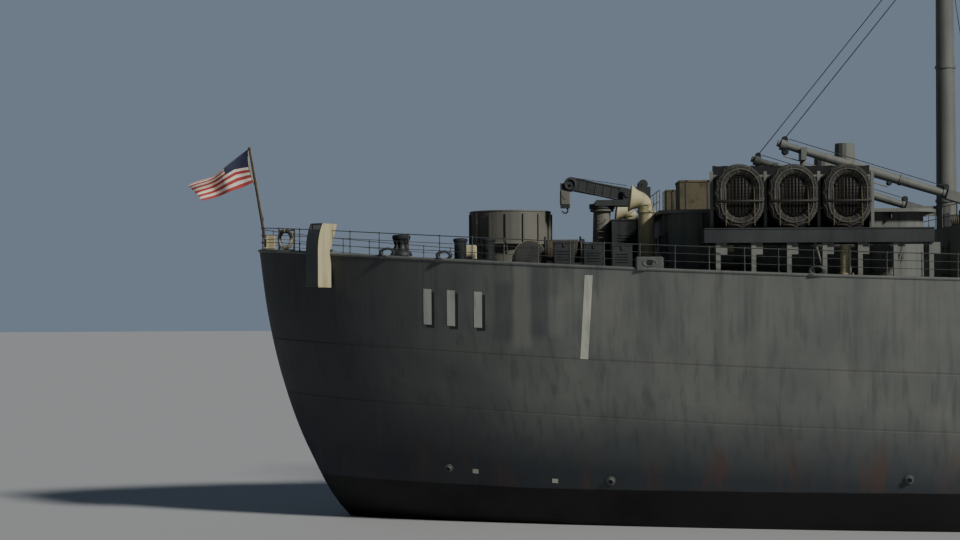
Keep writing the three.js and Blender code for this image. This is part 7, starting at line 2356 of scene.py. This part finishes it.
bow = bmesh.new()
for side, name in SIDES:
    axle = Vector((WINDLASS_X, side * 2.2, deck_height(WINDLASS_X) + AXLE_RISE))
    for i in range(8):
        angle = math.pi * i / 4
        at = axle + 0.62 * Vector((math.cos(angle), 0, math.sin(angle)))
        pin(bow, at, (0, 0.27, 0), 0.07, sides=8, material=1)
    for y, radius in ((2.52, 0.5), (1.9, 0.55)):
        pin(bow, axle + Vector((0, side * (y - 2.2), 0)), (0, 0.05, 0), radius, sides=28, material=1)
    bar(bow, (0, side * 0.45, 0), (0, side * 0.95, 0), 0.22, 0.36, 20, 1, at=axle)
    pipe_head = Vector((86.6, side * 1.5, deck_height(86.6)))
    stopper = Vector((84.8, side * 1.85, deck_height(84.8)))
    route = [
        axle + Vector((0, 0, 0.68)), axle + Vector((0.6, 0, 0.4)),
        Vector((83.8, side * 2.05, deck_height(83.8) + 0.5)),
        stopper + Vector((0, 0, 0.34)), pipe_head + Vector((-0.1, 0, 0.12)),
    ]
    count = 0
    for start, end in zip(route, route[1:]):
        steps = max(1, round((end - start).length / CHAIN_PITCH))
        for i in range(steps):
            at = Matrix.Translation(start.lerp(end, (i + 0.5) / steps)) @ heading_of(end - start)
            roll = Matrix.Rotation(math.pi / 2 * (count % 2), 4, "X")
            count += 1
            repeat(bow, ring(0.13, 0.045, 16, 8, 1), [at @ roll @ Matrix.Diagonal((1.5, 1, 1, 1))])
    repeat(bow, ring(0.36, 0.09, 28, 10), [placed(pipe_head + Vector((0, 0, 0.04)), math.pi / 2, "X")])
    pin(bow, pipe_head, (0, 0, 0.05), 0.34, sides=28, material=2)
    for y in (-0.22, 0.22):
        block(bow, (-0.35, y - 0.06, -0.05), (0.35, y + 0.06, 0.6), 0.03, material=1, at=stopper)
    block(bow, (-0.5, -0.4, -0.05), (0.5, 0.4, 0.1), 0.02, material=1, at=stopper)
    corners = (
        (BULWARK_INSET, -0.06), (BULWARK_INSET, BULWARK_HEIGHT),
        (BULWARK_INNER, BULWARK_HEIGHT), (BULWARK_INNER, -0.06),
    )

    def bulwark(u, v):
        x = BULWARK_START + u * (BULWARK_END - BULWARK_START)
        inset, rise = corners[int(round(4 * v)) % 4]
        edge = deck_edge(x)
        reach = max(abs(edge.y) - inset, 0.02 * (inset == BULWARK_INSET))
        return Vector((x, side * reach, edge.z + rise * min(1, 0.15 + 0.85 * (x - BULWARK_START))))

    plate = bmesh.new()
    sealed_skin(plate, 90, 4, bulwark)
    finish("bow_bulwark_" + name, plate, house_paint, slot="house_paint")
    for i in range(13):
        x = 75.4 + 1.5 * i
        if half_breadth(x, 1) > 1.2:
            bar(bow, deck_edge(x, side, 0.95, -0.02), deck_edge(x, side, 0.2, 1.02), 0.04, sides=6)
    pipe(bow, lambda share: deck_edge(74.9 + 19.7 * share, side, 0.1, BULWARK_HEIGHT), 60, 0.1, 8)
    for x in (78.4, 88.2):
        rim = deck_edge(x, side, 0.03, 0.5)
        heading = heading_of(deck_edge(x + 0.5, side) - deck_edge(x - 0.5, side))
        repeat(
            bow, ring(0.3, 0.07, 24, 8),
            [Matrix.Translation(rim) @ heading @ Matrix.Diagonal((1.35, 1, 0.8, 1))]
        )
        bar(bow, (0, -side * 0.16, 0), (0, side * 0.02, 0), 0.27, sides=20, material=2, at=rim)
    shank_head = anchor_place(side) @ Vector((0, 0, 1.35))
    pocket_depth = deck_height(shank_head.x) - shank_head.z
    pocket = plating_at(shank_head.x, pocket_depth, side, 0)
    outward = (plating_at(shank_head.x, pocket_depth, side, 0.5) - pocket).normalized()
    turn = Vector((0, 1, 0)).rotation_difference(outward).to_matrix().to_4x4()
    repeat(bow, ring(0.5, 0.16, 32, 12), [Matrix.Translation(pocket) @ turn])
    bar(bow, pocket - 0.1 * outward, pocket + 0.03 * outward, 0.46, sides=24, material=2)
    for x in (89.6, 79, 66.6, 56.2, -54.6):
        for dx in (-0.55, 0.55):
            post = deck_edge(x + dx, side, 1.3)
            bar(bow, (0, 0, -0.05), (0, 0, 0.85), 0.2, sides=20, material=1, at=post)
            bar(bow, (0, 0, 0.82), (0, 0, 0.92), 0.26, sides=20, material=1, at=post)
        bed = deck_edge(x, side, 1.3)
        block(bow, (-0.95, -0.35, -0.06), (0.95, 0.35, 0.07), 0.02, material=1, at=bed)
    for x in (54.8, 68.8, 73.2, -56.4):
        mushroom(bow, deck_edge(x, side, 2.2), 0.22, 0.42, 0.8, 0.4)
stem = Vector((93.4, 0, deck_height(93.4)))
block(bow, (-0.15, -0.15, -0.05), (0.15, 0.15, 0.6), 0.02, at=stem)
bar(bow, stem, stem + Vector((0.5, 0, 5.2)), 0.07, 0.035, 12)
bar(bow, (0.5, 0, 5.15), (0.5, 0, 5.25), 0.1, sides=12, at=stem)
finish("bow_fittings", bow, rail_grey, dark_paint, shadow_black, slot="house_paint")

# Bilge keels, shafts, propellers and rudder
# Below the water all steel is coated in dull red antifouling. The screws are cast bronze, ground smooth
# and gone brown in the sea, with faired bosses; zinc blocks are bolted round the rudder.
BILGE_LENGTH, BILGE_Y, BILGE_Z, BILGE_WIDTH = 52, 10.9, -5.2, 1.5
SHAFT_Y, SHAFT_Z = 3.9, -3.55
antifouling = sea_paint("antifouling_paint", ANTIFOULING, "#5d332c", "#2c1a18")[0]
bronze, tree, shader = new_material("cast_bronze")
place = add_node(tree, "TexCoord").outputs["Object"]
patina = add_node(tree, "TexNoise", {"Vector": place, "Scale": per_metre(0.5), "Detail": 5}).outputs["Fac"]
bronze_tone = painted_over(tree, linear("#8c6a3c"), "#54452f", patina)
feed(tree, shader, {"Base Color": bronze_tone, "Metallic": 1, "Roughness": 0.36})
zinc = sea_paint("zinc_anode", "#8f9494", "#a5a9a8", "#6a6f70")[0]
smoothed("rudder", antifouling, body="rudder_body", slot="hull_paint")
under = bmesh.new()
for side, name in SIDES:
    smoothed("shaft_and_strut_" + name, antifouling, slot="hull_paint")
    smoothed("propeller_" + name, bronze, body=f"propeller_{name}_body", slot="bronze")
    keel_slope = Matrix.Rotation(-side * math.pi / 4, 3, "X")
    slab(under, (0, side * BILGE_Y, BILGE_Z), (BILGE_LENGTH / 2, BILGE_WIDTH / 2, 0.06), 0.02, keel_slope)
    for x in (-82.9, -81.7):
        pin(under, (x, side * SHAFT_Y, SHAFT_Z), (0.04, 0, 0), 0.56, sides=32)
    for x in (-68, -72, -76):
        block(under, (-0.4, -0.12, -3.3), (0.4, 0.12, -3.16), 0.02, material=1, at=(x, side * SHAFT_Y, 0))
finish("bilge_keels", under, antifouling, zinc, slot="hull_paint")
anodes = bmesh.new()
for side in (-1, 1):
    for x, z in ((-87.6, -2.6), (-87.6, -3.9), (-87.6, -5.2), (-89.2, -3.2), (-89.2, -4.6)):
        depth = 0.34 if x > -88 else 0.2
        slab(anodes, (x, side * depth, z), (0.25, 0.06, 0.1), 0.02)
finish("rudder_anodes", anodes, zinc, body="rudder_body", slot="hull_paint")

size = {"cad": [list(corner) for corner in cad_box], "visual": [list(corner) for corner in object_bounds()]}
